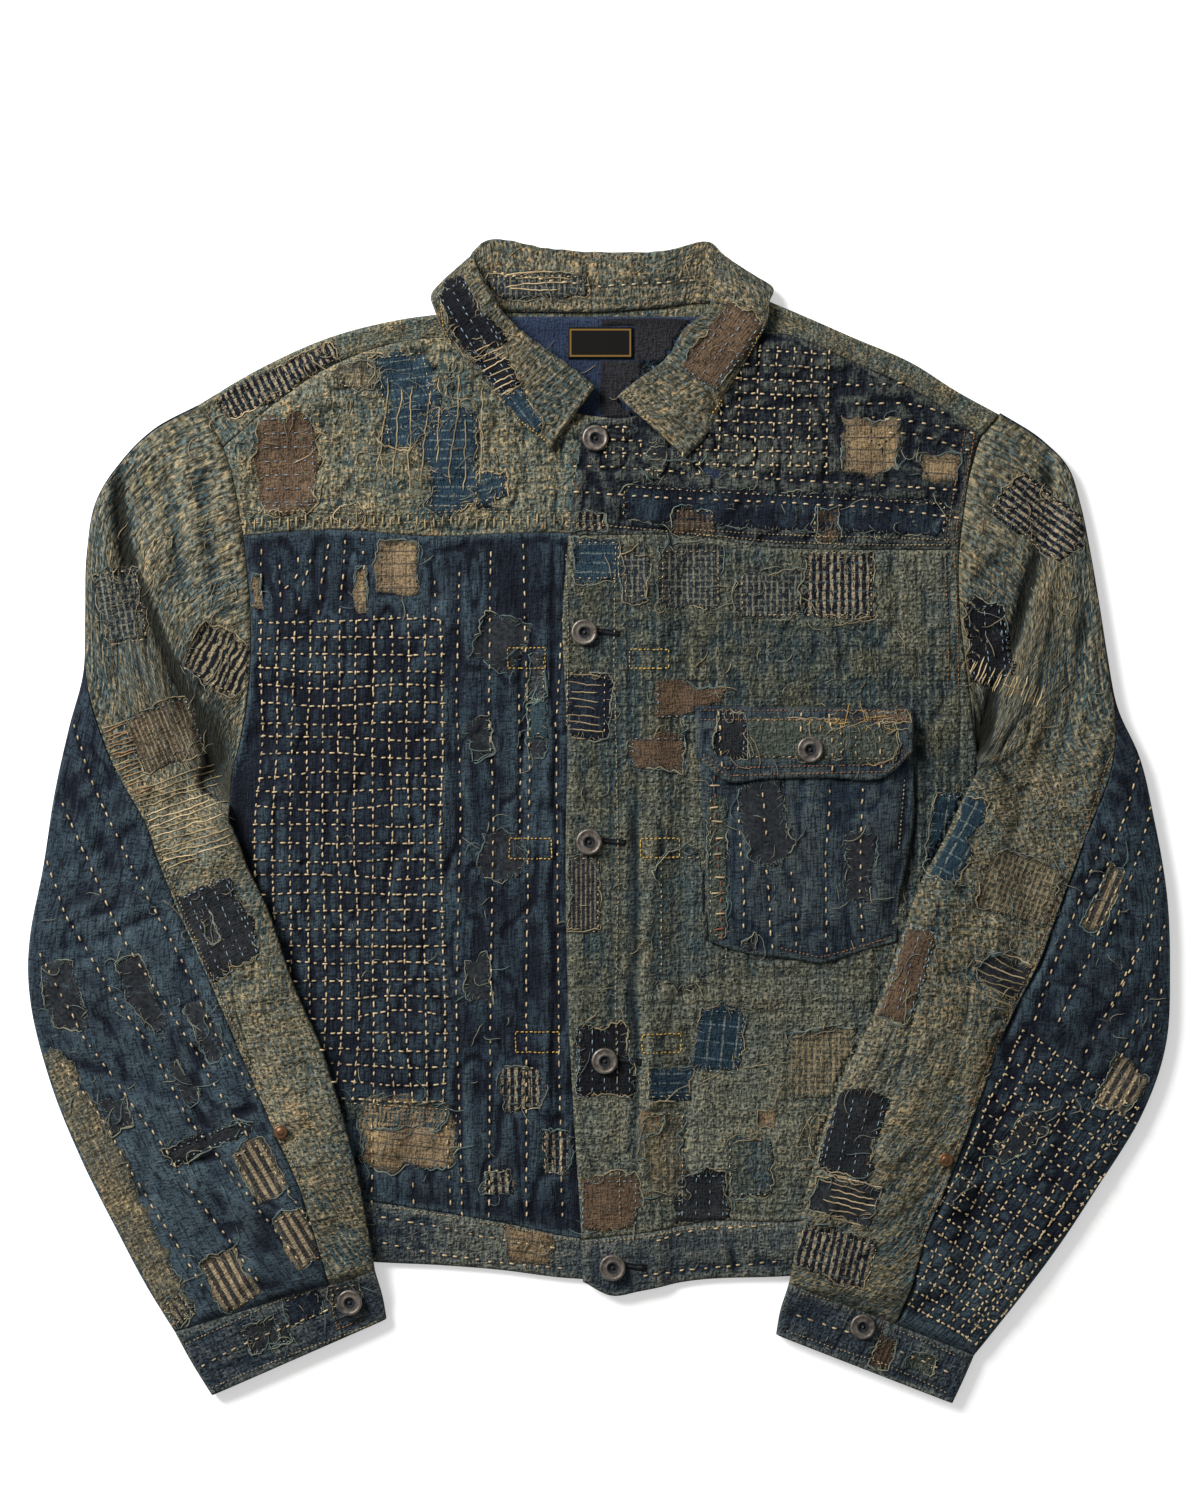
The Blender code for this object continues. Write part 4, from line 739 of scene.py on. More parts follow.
def grooves(x, y, pieces):
    """Narrow troughs that stitches and quilting pull into the cloth."""
    rows = [(points, 0, GROOVE_DEPTH, GROOVE_HALF_WIDTH)
            for piece, _, _, _, points in stitch_lines() if piece in pieces]
    for piece, count, first, last, deep, half_width in QUILTING:
        if piece in pieces:
            rows += [(points, 3 * noise(x, y, 60, 60, number % 7), deep, half_width)
                     for number, points in enumerate(rows_between(first, last, count))]
    depth = np.zeros(np.shape(x))
    for points, sway, deep, half_width in rows:
        far = distance_to_line(x + sway, y + sway, points)
        depth = np.maximum(depth, deep * np.exp(-((far / half_width) ** 2)))
    return depth


def inside_box(x, y, centre_x, centre_y, width, height, degrees, soft):
    """1 inside a turned, rounded box and 0 outside, with a soft border."""
    local_x, local_y = turned(x - centre_x, y - centre_y, -degrees)
    rim = np.maximum(np.abs(local_x) - 0.5 * width, np.abs(local_y) - 0.5 * height)
    return 1 - ease(rim, -soft, soft)


def relief(x, y, creases, pieces, pattern=None):
    """Height of creases, puckers, stitch grooves and holes over the plain form."""
    settings = bpy.context.scene.boro_cloth
    grain = (x, y) if pattern is None else np.moveaxis(pattern, -1, 0)
    sway_x, sway_y = (3 * noise(x, y, 34, 34, seed) for seed in (3, 5))
    height = settings.crease_depth * fold_height(x + sway_x, y + sway_y, CREASES.get(creases, ()))
    *rows, (across, up, share) = PUCKERS[PUCKER_KIND.get(creases, "plain")]
    puckers = -share * troughs(*grain, across, up, 11)
    for seed, (across, up, share) in enumerate(rows):
        puckers = puckers + share * noise(*grain, across, up, seed)
    height = height + settings.pucker_depth * puckers - grooves(x, y, pieces)
    scraps = [(piece, *box) for piece, _, *box, _ in entries(PATCHES)]
    for piece, *box in entries(HOLES) + scraps:
        if piece in pieces:
            height = height - SCRAP_SINK * inside_box(x, y, *box, SCRAP_BORDER)
    return height


def wear_and_shade_spots(x, y, pieces):
    """How far the cloth is rubbed pale, up to 1, and how far it is darkened, down to -1, mostly as painted
    shade.
    """
    pale = dark = np.zeros(np.shape(x))
    for piece in pieces:
        for centre_x, centre_y, half_width, half_height, strength in WEAR_AND_SHADE_SPOTS.get(piece, ()):
            far = ((x - centre_x) / half_width) ** 2 + ((y - centre_y) / half_height) ** 2
            pale = np.maximum(pale, strength * np.exp(-far))
            dark = np.minimum(dark, strength * np.exp(-far * far))
    return pale + dark


def windows(heights, reach):
    """The heights around each place of a grid, its edges carried on."""
    padded = np.pad(heights, reach, mode="edge")
    return np.lib.stride_tricks.sliding_window_view(padded, (2 * reach + 1, 2 * reach + 1))


def relief_wear_and_shade(heights, reach=3):
    """Colour that goes with relief: ridges rubbed pale, partly as painted highlight, and troughs darkened
    as painted shade.
    """
    around = windows(heights, reach).mean(axis=(2, 3))
    return np.clip(0.55 * (heights - around), -0.9, 0.45)


# ---- meshes

SPACING = 1.8
# Thinnest the cloth gets where a crease bites into it
LEAST_WALL = 0.8
# Cells of a shell's inner side are this many times wider than those of its outer side
COARSE = 3
# Cells from its edge over which cloth rounds over, and over which its relief fades in; how far the
# very edge is rubbed
ROUND_CELLS = 2.2
FADE_CELLS = 3
EDGE_WEAR = 0.5


def cells(length, spacing=SPACING):
    """Number of points over a length, for cells that group evenly into coarse ones."""
    return COARSE * max(2, math.ceil(length / (COARSE * spacing))) + 1


def shell_parts(outer, inner, pattern, wear):
    """Closed shell: a fine outer grid, a coarse inner one and a rim that joins them.

    Returns its points, faces, pattern coordinates, and its wear and painted shade.
    """
    sparse = (slice(None, None, COARSE),) * 2
    points = np.concatenate([outer.reshape(-1, 3), inner[sparse].reshape(-1, 3)])
    flat = np.concatenate([pattern.reshape(-1, 2), pattern[sparse].reshape(-1, 2)])
    fine = np.arange(wear.size).reshape(wear.shape)
    wide = np.arange(wear[sparse].size).reshape(wear[sparse].shape) + wear.size
    faces = []
    for grid in (fine, wide.T):
        cell = np.stack([grid[:-1, :-1], grid[:-1, 1:], grid[1:, 1:], grid[1:, :-1]], axis=-1)
        faces += cell.reshape(-1, 4).tolist()
    for _ in range(4):
        for number in range(wide.shape[1] - 1):
            upper = fine[0, number * COARSE:(number + 1) * COARSE + 1][::-1].tolist()
            faces.append(upper + wide[0, number:number + 2].tolist())
        fine, wide = np.rot90(fine), np.rot90(wide)
    return points, faces, flat, np.concatenate([wear.ravel(), wear[sparse].ravel()])


def patch_parts(upper, depth, pattern, kept, wear):
    """Closed thin patch: an upper grid, a copy of it below, walled round the kept cells."""
    corners = ((0, 0), (0, 1), (1, 1), (1, 0))
    rows, columns = kept.shape
    used = np.zeros((rows + 1, columns + 1), dtype=bool)
    for down, right in corners:
        used[down:rows + down, right:columns + right] |= kept
    number = np.cumsum(used).reshape(used.shape) - 1
    total = int(used.sum())
    points = np.concatenate([upper[used], upper[used] - (0, 0, depth)])
    faces = []
    border = {}
    for row, col in zip(*np.nonzero(kept)):
        cell = [int(number[row + down, col + right]) for down, right in corners]
        faces += [cell, [value + total for value in reversed(cell)]]
        for edge in zip(cell, cell[1:] + cell[:1]):
            if border.pop(edge[::-1], None) is None:
                border[edge] = True
    faces += [[end, start, start + total, end + total] for start, end in border]
    return points, faces, np.tile(pattern[used], (2, 1)), np.tile(wear[used], 2)


def add_object(name, data):
    made = bpy.data.objects.new(name, data)
    bpy.context.scene.collection.objects.link(made)
    return made


def make_piece(name, parts):
    """Joins parts (points in mm, faces, pattern, wear and painted shade, material) into one object
    on the root."""
    looks = list(dict.fromkeys(part[4] for part in parts))
    points, patterns, wears_and_shades = (np.concatenate([part[column] for part in parts]) for column in (0, 2, 3))
    faces = []
    indices = []
    offset = 0
    for part_points, part_faces, _, _, look in parts:
        faces.extend([[value + offset for value in face] for face in part_faces])
        indices.extend([looks.index(look)] * len(part_faces))
        offset += len(part_points)
    points = points * MM
    points[:, 2] = np.maximum(points[:, 2], 0)
    mesh = bpy.data.meshes.new(name)
    mesh.from_pydata(points.tolist(), [], faces)
    for look in looks:
        mesh.materials.append(finish(look))
    mesh.polygons.foreach_set("material_index", indices)
    corners = np.empty(len(mesh.loops), dtype=np.int32)
    mesh.loops.foreach_get("vertex_index", corners)
    mesh.uv_layers.new(name="cloth").data.foreach_set("uv", (patterns[corners] * MM).ravel())
    mesh.attributes.new("wear", "FLOAT", "POINT").data.foreach_set("value", wears_and_shades)
    mesh.shade_smooth()
    mesh.update()
    made = add_object(name, mesh)
    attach(made, "root")
    return made


def make_cloth(name, parts, area, width, length):
    """A piece of cloth that stands for its solid, with its cut: area in square metres, width and
    length in mm."""
    made = make_piece(name + "_cloth", [(*part, CLOTHS[name][0]) for part in parts])
    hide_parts(name)
    made["flat_area"] = float(area)
    made["flat_size"] = (float(width) * MM, float(length) * MM)


def grid_area(grid):
    """Area of a grid's sheet, in square metres."""
    cells_across = np.cross(np.diff(grid, axis=1)[:-1], np.diff(grid, axis=0)[:, :-1])
    return float(np.linalg.norm(cells_across, axis=-1).sum()) * MM * MM


def rim(grid, reach):
    """1 on the edge of a grid, 0 from a number of cells inwards."""
    down, across = (np.minimum(np.arange(count), np.arange(count)[::-1]) for count in grid.shape)
    return 1 - ease(np.minimum(down[:, None], across), 0, reach)


def crossed(across, down):
    """Grid of points from a row of first coordinates and a column of second ones."""
    return np.stack(np.broadcast_arrays(across[None, :], down[:, None]), axis=-1)


def seam_patch(bottom, top, left, right, setback=SETBACK):
    """Grid of points filling four seam lines, stood back from each."""
    across = np.linspace(0, 1, len(bottom))[None, :, None]
    up = np.linspace(0, 1, len(left))[:, None, None]
    corners = ((1 - up) * ((1 - across) * bottom[0] + across * bottom[-1])
               + up * ((1 - across) * top[0] + across * top[-1]))
    grid = ((1 - up) * bottom[None] + up * top[None]
            + (1 - across) * left[:, None] + across * right[:, None] - corners)
    moved = grid.copy()
    for line, inner_line in ((0, 1), (-1, -2)):
        moved[line] += setback * unit(grid[inner_line] - grid[line])
        moved[:, line] += setback * unit(grid[:, inner_line] - grid[:, line])
    return moved


def strip(bottom, top, rows, setback=SETBACK):
    """Grid of points between two seam lines, with straight ends."""
    ends = [np.linspace(bottom[end], top[end], rows) for end in (0, -1)]
    return seam_patch(bottom, top, *ends, setback)


def raised(grid, heights):
    return np.dstack([grid, np.broadcast_to(heights, grid.shape[:2])])


def lowest_near(heights):
    """The lowest height within a coarse cell of each place."""
    return windows(heights, COARSE).min(axis=(2, 3))


def flat_cloth(name, grid, under, wall=CLOTH, creases=None, sink=0.2):
    """A piece that lies as a sheet: its relief on top, its rim rounded over. It may sink below
    its plain underside by a given depth, where there is room."""
    x, y = grid[..., 0], grid[..., 1]
    low = under(x, y) + 0 * x
    rounding = 0.45 * wall * rim(x, ROUND_CELLS) ** 2
    folds = relief(x, y, creases or name, (name,)) * (1 - rim(x, FADE_CELLS))
    deepest = sink(x, y) if callable(sink) else sink
    high = np.maximum(low + wall + folds, low + LEAST_WALL - deepest) - rounding
    low = np.maximum(np.minimum(low, lowest_near(high) - LEAST_WALL), low - deepest)
    # Wear and painted shade: the listed spots, troughs painted dark and ridges pale from the relief, the
    # rubbed edge.
    wear = wear_and_shade_spots(x, y, (name,)) + relief_wear_and_shade(high) + EDGE_WEAR * rim(x, FADE_CELLS)
    parts = shell_parts(raised(grid, high), raised(grid, low), grid, wear)
    make_cloth(name, [parts], grid_area(raised(grid, 0)), np.ptp(x), np.ptp(y))


def joined(first, second):
    """Two lines of points that share a corner, as one line."""
    return np.concatenate([first, second[1:]])


# ---- body cloth

# Cells of what lies plain on the table, rows round and along the yoke's turn over a shoulder, and
# how far it runs round and along there; size of each turn and cut of the whole yoke
PLAIN_SPACING = 5
TURN_ROWS = 13
TURN_RUN = 14.4
TURN_REACH = 24
SHOULDER_SIZE = (190, 34)
YOKE_CUT = (520, 240)


def width_points(table):
    return cells(runs_along(table)[-1])


def table_top(x, _):
    return 0 * x


def make_back():
    across = cells(480, PLAIN_SPACING)
    rows = cells(396, PLAIN_SPACING)
    right = edge_points(1, -242, BACK_YOKE_Y, rows)
    left = edge_points(2, -247, BACK_YOKE_Y, rows)
    waist = along(BACK_WAIST_SEAM, across)
    waist[0], waist[-1] = right[0], left[0]
    yoke_seam = np.linspace(right[-1], left[-1], across)
    flat_cloth("back", seam_patch(waist, yoke_seam, right, left), table_top)
    flat_cloth("back_waistband", strip(along(BACK_HEM, across), waist, 13), table_top)


def shoulder_turn(fold_table, seam_table, way):
    """The back yoke's fold over one shoulder, to the seam in front of it."""
    across = cells(SHOULDER_SIZE[0], 2)
    fold = along(fold_table, across)[::way]
    seam = along(seam_table, across)[::way]
    out = unit(fold - seam)
    radius = 0.5 * (front_under(*fold.T, "right") + CLOTH)
    centre = fold - out * radius[:, None]
    outer = []
    inner = []
    for angle in np.radians(np.linspace(-90, 90, TURN_ROWS)):
        for rows, arc in ((outer, radius), (inner, radius - CLOTH)):
            ring = centre + out * (arc * math.cos(angle))[:, None]
            rows.append(np.column_stack([ring, radius + arc * math.sin(angle)]))
    for share in np.linspace(0, 1, TURN_ROWS)[1:]:
        top = centre + (seam - centre) * share + out * SETBACK * share
        height = front_under(*top.T, "right")
        rounding = 0.8 * ease(share, 0.84, 1)
        folds = relief(*top.T, "right_front_yoke", ("back_yoke",)) * ease(share, 0, 0.2)
        outer.append(np.column_stack([top, height + CLOTH + folds * (1 - rounding) - rounding]))
        inner.append(np.column_stack([top, height]))
    distance = np.linspace(0, TURN_RUN, TURN_ROWS)
    distance = joined(distance, TURN_RUN + np.linspace(0, TURN_REACH, TURN_ROWS))
    outer = np.array(outer)
    # The turn is made paler the higher it stands.
    wear = wear_and_shade_spots(outer[..., 0], outer[..., 1], ("back_yoke",)) + 0.3 * ease(outer[..., 2], 2, 8)
    return shell_parts(outer, np.array(inner), crossed(runs_along(fold), distance), wear)


def make_back_yoke():
    across = cells(500, PLAIN_SPACING)
    rows = cells(112, PLAIN_SPACING)
    right, neck, left = (along(line, 24) for line in (RIGHT_FOLD, BACK_NECK, LEFT_FOLD))
    top = along(joined(joined(right[::-1], neck), left), across)
    top[:, 1] -= 5 * ease(np.abs(top[:, 0]), 84, 120)
    right = edge_points(1, BACK_YOKE_Y, 262, rows)
    left = edge_points(2, BACK_YOKE_Y, 256, rows)
    right[-1], left[-1] = top[0], top[-1]
    grid = seam_patch(np.linspace(right[0], left[0], across), top, right, left)
    lower = raised(grid, 0)
    parts = [shell_parts(raised(grid, CLOTH), lower, grid, 0 * grid[..., 0]),
             shoulder_turn(RIGHT_FOLD, RIGHT_SHOULDER_SEAM, -1),
             shoulder_turn(LEFT_FOLD, LEFT_SHOULDER_SEAM, 1)]
    turns = 2 * math.prod(SHOULDER_SIZE) * MM * MM
    make_cloth("back_yoke", parts, grid_area(lower) + turns, *YOKE_CUT)


def right_sink(x, y):
    return 2.3 * front_lift(x, y)


def left_sink(x, y):
    return 0.2 + 2.1 * front_lift(x, y) * ease(x, LAP_END - 6, LAP_END + 8)


# How far the fronts reach under each sleeve where it climbs on to them
UNDERARM_COVER = 1.2


def make_front(name, bottom, top, rows, cover=0):
    """A front or a front yoke, from its opening to its side seam or armhole."""
    if name.startswith("right"):
        under, sink, index, outer, outward, climb_y = right_under, right_sink, 1, 0, -1, 6
        opening = np.linspace(bottom[-1], top[-1], rows)
    else:
        under, sink, index, outer, outward, climb_y = left_under, left_sink, 2, -1, 1, 38
        opening = line_points(OPENING_EDGE, 1, bottom[0][1], top[0][1], rows)
    side = edge_points(index, bottom[outer][1], top[outer][1], rows)
    side[:, 0] += outward * cover * np.exp(-((side[:, 1] - climb_y) / 10) ** 2)
    first, last = (side, opening) if outer == 0 else (opening, side)
    first[0], first[-1], last[0], last[-1] = bottom[0], top[0], bottom[-1], top[-1]
    flat_cloth(name, seam_patch(bottom, top, first, last), under, sink=sink)


def make_front_yokes():
    rows = cells(130)
    across = cells(300)
    split = across * 5 // 12
    rest = across - split + 1
    top = joined(along(RIGHT_SHOULDER_SEAM, split)[::-1], along(RIGHT_NECK, rest))
    make_front("right_front_yoke", along(RIGHT_YOKE_SEAM, across), top, rows)
    top = joined(along(LEFT_NECK, rest)[::-1], along(LEFT_SHOULDER_SEAM, split))
    make_front("left_front_yoke", along(LEFT_YOKE_SEAM, across), top, rows)


def make_fronts():
    across = width_points(RIGHT_WAIST_SEAM)
    for name, waist, yoke in (("right_front", RIGHT_WAIST_SEAM, RIGHT_YOKE_SEAM),
                              ("left_front", LEFT_WAIST_SEAM, LEFT_YOKE_SEAM)):
        make_front(name, along(waist, across), along(yoke, across), cells(435), UNDERARM_COVER)


def make_waistbands():
    for name, hem, waist, under in (
            ("right_waistband", RIGHT_HEM, RIGHT_WAIST_SEAM, right_under),
            ("left_waistband", LEFT_HEM, LEFT_WAIST_SEAM, left_under)):
        across = width_points(waist)
        flat_cloth(name, strip(along(hem, across), along(waist, across), cells(36)), under, BAND)


# ---- collar, lining and label

def collar_station(row):
    """Visible and hidden points of the collar's section: stand, roll and fall."""
    seam, roll, edge = np.reshape(row[:6], (3, 2))
    lie, clear = row[6:]
    side = "right" if seam[0] < 0 else "left"
    on_front = lie < 90
    half = 0.5 * CLOTH
    base_z = BACK_SEAM_Z + (2 if lie == 90 else 0)
    edge_z = 5.6 if lie == 90 else 1.3
    if on_front:
        base_z = float(front_under(*seam, side)) + CLOTH + GAP + half
        edge_z = float(front_under(*edge, side)) + CLOTH + GAP + half + clear
    length = np.linalg.norm(roll - seam)
    toward = (roll - seam) / length
    outward = np.array([-toward[1], toward[0]])
    if side == "left" and lie not in (0, 180):
        outward = -outward
    turn = math.radians(lie)
    normal = np.array([*(outward * math.sin(turn)), math.cos(turn)])
    forward = np.array([*toward, 0])
    climb = np.array([0, 0, 0 if on_front else BACK_STAND_CLIMB])
    straight = forward * (length - COLLAR_ROLL_RADIUS)
    mids = [np.array([*seam, base_z]) + part * straight + rise * climb
            for part, rise in ((0, 0), (0.5, 0.6), (1, 1))]
    normals = [normal] * 3
    centre = mids[-1] + normal * COLLAR_ROLL_RADIUS
    for bend in np.radians([-45, 0, 45, 90]):
        away = forward * math.cos(bend) + normal * math.sin(bend)
        mids.append(centre + away * COLLAR_ROLL_RADIUS)
        normals.append(-away)
    start = mids[-1]
    end = np.array([*edge, edge_z])
    span = np.linalg.norm(edge - start[:2])
    covered = min((length + 5) / span, 0.86) if on_front else 0.4
    for share in (0.5 * covered, covered, 0.5 * (1 + covered), 1):
        point = start + (end - start) * share
        if on_front:
            point[2] = start[2] + (edge_z - start[2]) * float(ease(share, covered, 1))
        mids.append(point)
        normals.append(-normal)
    offset = np.array(normals) * half
    return np.array([mids - offset, mids + offset])


def softened(grid, times):
    """Evens a grid out along its columns, its two ends kept."""
    for _ in range(times):
        grid[:, 1:-1] = 0.25 * grid[:, :-2] + 0.5 * grid[:, 1:-1] + 0.25 * grid[:, 2:]
    return grid


def make_collar():
    stations = np.array([collar_station(row) for row in COLLAR])
    knots = runs_along(stations[:, 0, 5])
    at = np.linspace(0, knots[-1], cells(knots[-1], 2.2))
    columns = np.interp(np.linspace(0, 1, 52), (0, 0.26, 0.46, 1), (0, 2, 6, 10))
    first = np.clip(columns.astype(int), 0, 9)
    part = (columns - first)[None, :, None]
    grids = []
    for number in (0, 1):
        lengthwise = hermite(knots, stations[:, number], at)
        fine = lengthwise[:, first] * (1 - part) + lengthwise[:, first + 1] * part
        grids.append(softened(fine, 3))
    shown, hidden = grids
    steps = np.linalg.norm(np.diff(shown, axis=1), axis=-1).mean(0)
    down = np.concatenate([[0], np.cumsum(steps)])
    pattern = crossed(down, at)[..., ::-1]
    along_roll, across = pattern[..., 0], pattern[..., 1]
    x, y = shown[..., 0], shown[..., 1]
    folds = 0.7 * noise(along_roll, across, 12, 26, 2) + 0.5 * noise(along_roll, across, 5, 7, 4)
    folds = folds - 0.8 * troughs(along_roll, across, 20, 30, 8)
    folds = folds * (1 - rim(x, 4)) - grooves(x, y, ("collar",)) - 0.5 * rim(x, 2)
    # Wear and painted shade: the listed spots, troughs painted dark and ridges pale from the relief, the
    # rubbed edge.
    wear = wear_and_shade_spots(x, y, ("collar",)) + relief_wear_and_shade(2 * folds) + EDGE_WEAR * rim(x, FADE_CELLS)
    shown = shown + unit(shown - hidden) * folds[..., None]
    make_cloth("collar", [shell_parts(shown, hidden, pattern, wear)], grid_area(shown), at[-1], down[-1])


def rectangle(x_range, y_range, spacing):
    across, rows = (cells(high - low, spacing) for low, high in (x_range, y_range))
    bottom, top = (np.linspace((x_range[0], y), (x_range[1], y), across) for y in y_range)
    return strip(bottom, top, rows)


def make_lining():
    lining_z = CLOTH + GAP
    flat_cloth("neck_lining", rectangle(LINING_X, LINING_Y, 2.4), lambda x, y: lining_z + 0 * x,
               LINING, "lining")
    grid = rectangle(LABEL_X, LABEL_Y, 1)
    low = raised(grid, lining_z + LINING + GAP)
    pattern = grid - (LABEL_X[0], LABEL_Y[0])
    parts = shell_parts(low + (0, 0, LABEL), low, pattern, 0 * grid[..., 0])
    make_cloth("neck_label", [parts], grid_area(low), np.ptp(LABEL_X), np.ptp(LABEL_Y))


# ---- sleeves and cuffs

def section(rows, shares, is_upper, side, bow, inset=0):
    """Rings of a sleeve, moved inwards all round by the inset; shares has a row for each ring."""
    start, end = rows[:, None, 0:2], rows[:, None, 2:4]
    flat = start + (end - start) * shares[..., None] + bow
    flat = flat + unit(end - start) * (inset * (1 - 2 * shares))[..., None]
    x, y = flat[..., 0], flat[..., 1]
    rest = sleeve_rest(x, y, side) + inset
    top = sleeve_upper(x, y, side, rows[:, None, 5]) - inset
    half = 0.5 * (top - rest) * np.where(is_upper, 1, -1)
    swell = (1 - np.abs(2 * shares - 1) ** SIDE_ROUNDNESS) ** (1 / SIDE_ROUNDNESS)
    return raised(flat, 0.5 * (top + rest) + half * swell)


def tube_shares(seam, kind):
    """Shares of the width round a tube of cloth, a row for each ring's seam share, and which of
    them lie on top. Kind is front, back or cuff. They crowd towards its rounded edges."""
    seam = np.maximum(seam, LEAST_SEAM_SHARE)[:, None]
    ones = np.ones_like(seam)
    near = 0.06 * (np.arange(8) / 8) ** 2
    spread = np.linspace(0, 1, 71)
    over = (seam + 0.06 * (1 - seam)) * (1 - spread) + 0.94 * spread
    front_top = [(seam + near * (1 - seam), True), (over, True), ((1 - near[::-1]) * ones, True),
                 (ones, True), ((1 - near) * ones, False)]
    back_top = [(seam * np.linspace(0, 1, 62) ** 1.25, True)]
    under = np.linspace(0.93, 0.07, 22) * ones
    turn = [(near[:0:-1] * ones, False)]
    runs = {"front": front_top + [(under[:, :12], False)],
            "back": [(under[:, 10:], False)] + turn + back_top,
            "cuff": front_top + [(under, False)] + turn + back_top}[kind]
    shares = np.concatenate([part for part, _ in runs], axis=1)
    on_top = np.concatenate([np.full(part.shape[1], upper) for part, upper in runs])
    spare = 4 + 9 * np.arange((shares.shape[1] - 1) % COARSE)
    return np.delete(shares, spare, axis=1), np.delete(on_top, spare)


# How far a sleeve's cloth stands up between its creases
SLEEVE_BODY = 2.2


def make_tube(name, side, rows, kind, bow, creases):
    """One cloth piece of a sleeve, or a whole cuff."""
    shares, on_top = tube_shares(rows[:, 4], kind)
    bend = bow(shares)
    outer = section(rows, shares, on_top, side, bend)
    inner = section(rows, shares, on_top, side, bend, SLEEVE_WALL)
    clearance = SEAM_CLEARANCE if kind != "cuff" else 1.5 * SETBACK
    for grid in (outer, inner):
        for line, neighbour in ((0, 3), (-1, -4)):
            step = grid[:, neighbour] - grid[:, line]
            length = np.linalg.norm(step, axis=1, keepdims=True)
            grid[:, line] += np.minimum(clearance, 0.3 * length) * step / np.maximum(length, 1e-6)
        for line, neighbour in ((0, 1), (-1, -2)):
            grid[line] += 2 * SETBACK * unit(grid[neighbour] - grid[line])
    width = np.linalg.norm(rows[:, 2:4] - rows[:, 0:2], axis=1)
    run = runs_along(0.5 * (rows[:, 2:4] + rows[:, 0:2]))
    pattern = np.dstack([shares * width[:, None], run[:, None] + 0 * shares])
    x, y = outer[..., 0], outer[..., 1]
    level = on_top * (1 - np.abs(2 * shares - 1) ** 9) * (1 - rim(x, FADE_CELLS))
    folds = relief(x, y, creases, (name,), pattern)
    past = past_fold(x, y, side)
    shade = 0
    if kind != "cuff":
        outer[..., 2] += SLEEVE_BODY * level * ease(past, -1, 3.5)
        # shade is a painted shadow along the fold, where the bent sleeve overlaps its cap; it darkens the
        # wear and shade attribute below.
        shade = 1.1 * fold_reach(y) * np.exp(-(((past + 5) / 5.5) ** 2)) * (level > 0.05)
    room = np.maximum(outer[..., 2] - sleeve_rest(x, y, side) - SLEEVE_WALL - 1.5 * LEAST_WALL, 0)
    outer[..., 2] += np.maximum(folds, -room) * level
    thinned = np.minimum(inner[..., 2], lowest_near(outer[..., 2]) - LEAST_WALL)
    inner[..., 2] = np.where(on_top & (level > 0.2), thinned, inner[..., 2])
    outer[..., 2] -= 0.4 * rim(x, ROUND_CELLS) * on_top
    # Wear and painted shade: the listed spots, the relief painted as shade and highlight, the fold's
    # painted shadow.
    wear = wear_and_shade_spots(x, y, (name,)) + relief_wear_and_shade(outer[..., 2]) * (level > 0.05) - shade
    wear = wear + EDGE_WEAR * rim(x, FADE_CELLS) * on_top
    around = np.linalg.norm(np.diff(outer, axis=1), axis=-1).sum(1).max()
    parts = shell_parts(outer, inner, pattern, wear)
    make_cloth(name, [parts], grid_area(outer), around, 1.2 * run[-1])


def make_sleeves():
    for side, table, index, outward in (("right", RIGHT_SLEEVE, 1, -1), ("left", LEFT_SLEEVE, 2, 1)):
        coarse = np.array(table)
        knots = runs_along(0.5 * (coarse[:, 0:2] + coarse[:, 2:4]))
        at = np.linspace(0, knots[-1], cells(knots[-1], 2.1))
        rows = hermite(knots, coarse, at)
        body_x = column(BODY_EDGE, index, rows[:, 3])
        beside = outward * (rows[:, 2] - body_x) > 0
        rows[beside, 2] = body_x[beside] + outward * ARMHOLE_SETBACK
        number = np.interp(at, knots, np.arange(len(coarse)))
        fade = np.maximum(0, 1 - number / 3)[:, None] ** 2
        outer_x, outer_y, inner_x, inner_y = coarse[0][:4]

        def bow(shares):
            y = outer_y + (inner_y - outer_y) * shares
            curve_x = column(BODY_EDGE, index, y) + outward * ARMHOLE_SETBACK
            chord_x = outer_x + (inner_x - outer_x) * shares
            return np.dstack([fade * (curve_x - chord_x), 0 * shares])

        for kind in ("front", "back"):
            make_tube(f"{side}_sleeve_{kind}", side, rows, kind, bow, f"{side}_sleeve")


def make_cuffs():
    for side, table in (("right", RIGHT_CUFF), ("left", LEFT_CUFF)):
        rows = hermite(np.arange(3), table, np.linspace(0, 2, 22))
        make_tube(f"{side}_cuff", side, rows, "cuff", lambda shares: 0, f"{side}_cuff")


# ---- pocket

def make_pocket():
    across = cells(130)
    rows = cells(150)
    bottom = along(POCKET_BOTTOM, across)
    top = along(POCKET_TOP, across)
    right = along(POCKET_RIGHT, rows)
    left = np.linspace(bottom[0], top[0], rows)
    right[0], right[-1] = bottom[-1], top[-1]
    over = np.linspace(0, 1, across)[None, :]
    up = np.linspace(0, 1, rows)[:, None]
    rise = POCKET_BULGE * ease(over, 0, 0.25) * ease(1 - over, 0, 0.13) * ease(up, 0, 0.25)
    flat_cloth("pocket", seam_patch(bottom, top, left, right, 0),
               lambda x, y: left_under(x, y) + CLOTH + GAP + rise)

    def flap_under(x, y):
        clear = (POCKET_BULGE + CLOTH + GAP + FLAP_CLEARANCE) * ease(74 - y, 0, 14)
        return left_under(x, y) + CLOTH + GAP + clear

    across = cells(140)
    grid = strip(along(FLAP_BOTTOM, across), along(FLAP_TOP, across), cells(36), 0)
    flat_cloth("pocket_flap", grid, flap_under)


# ---- materials

def linear(code):
    """A colour from its sRGB hex value, in linear light."""
    channels = [int(code[start:start + 2], 16) / 255 for start in (0, 2, 4)]
    return (*(value / 12.92 if value <= 0.04045 else ((value + 0.055) / 1.055) ** 2.4
              for value in channels), 1)


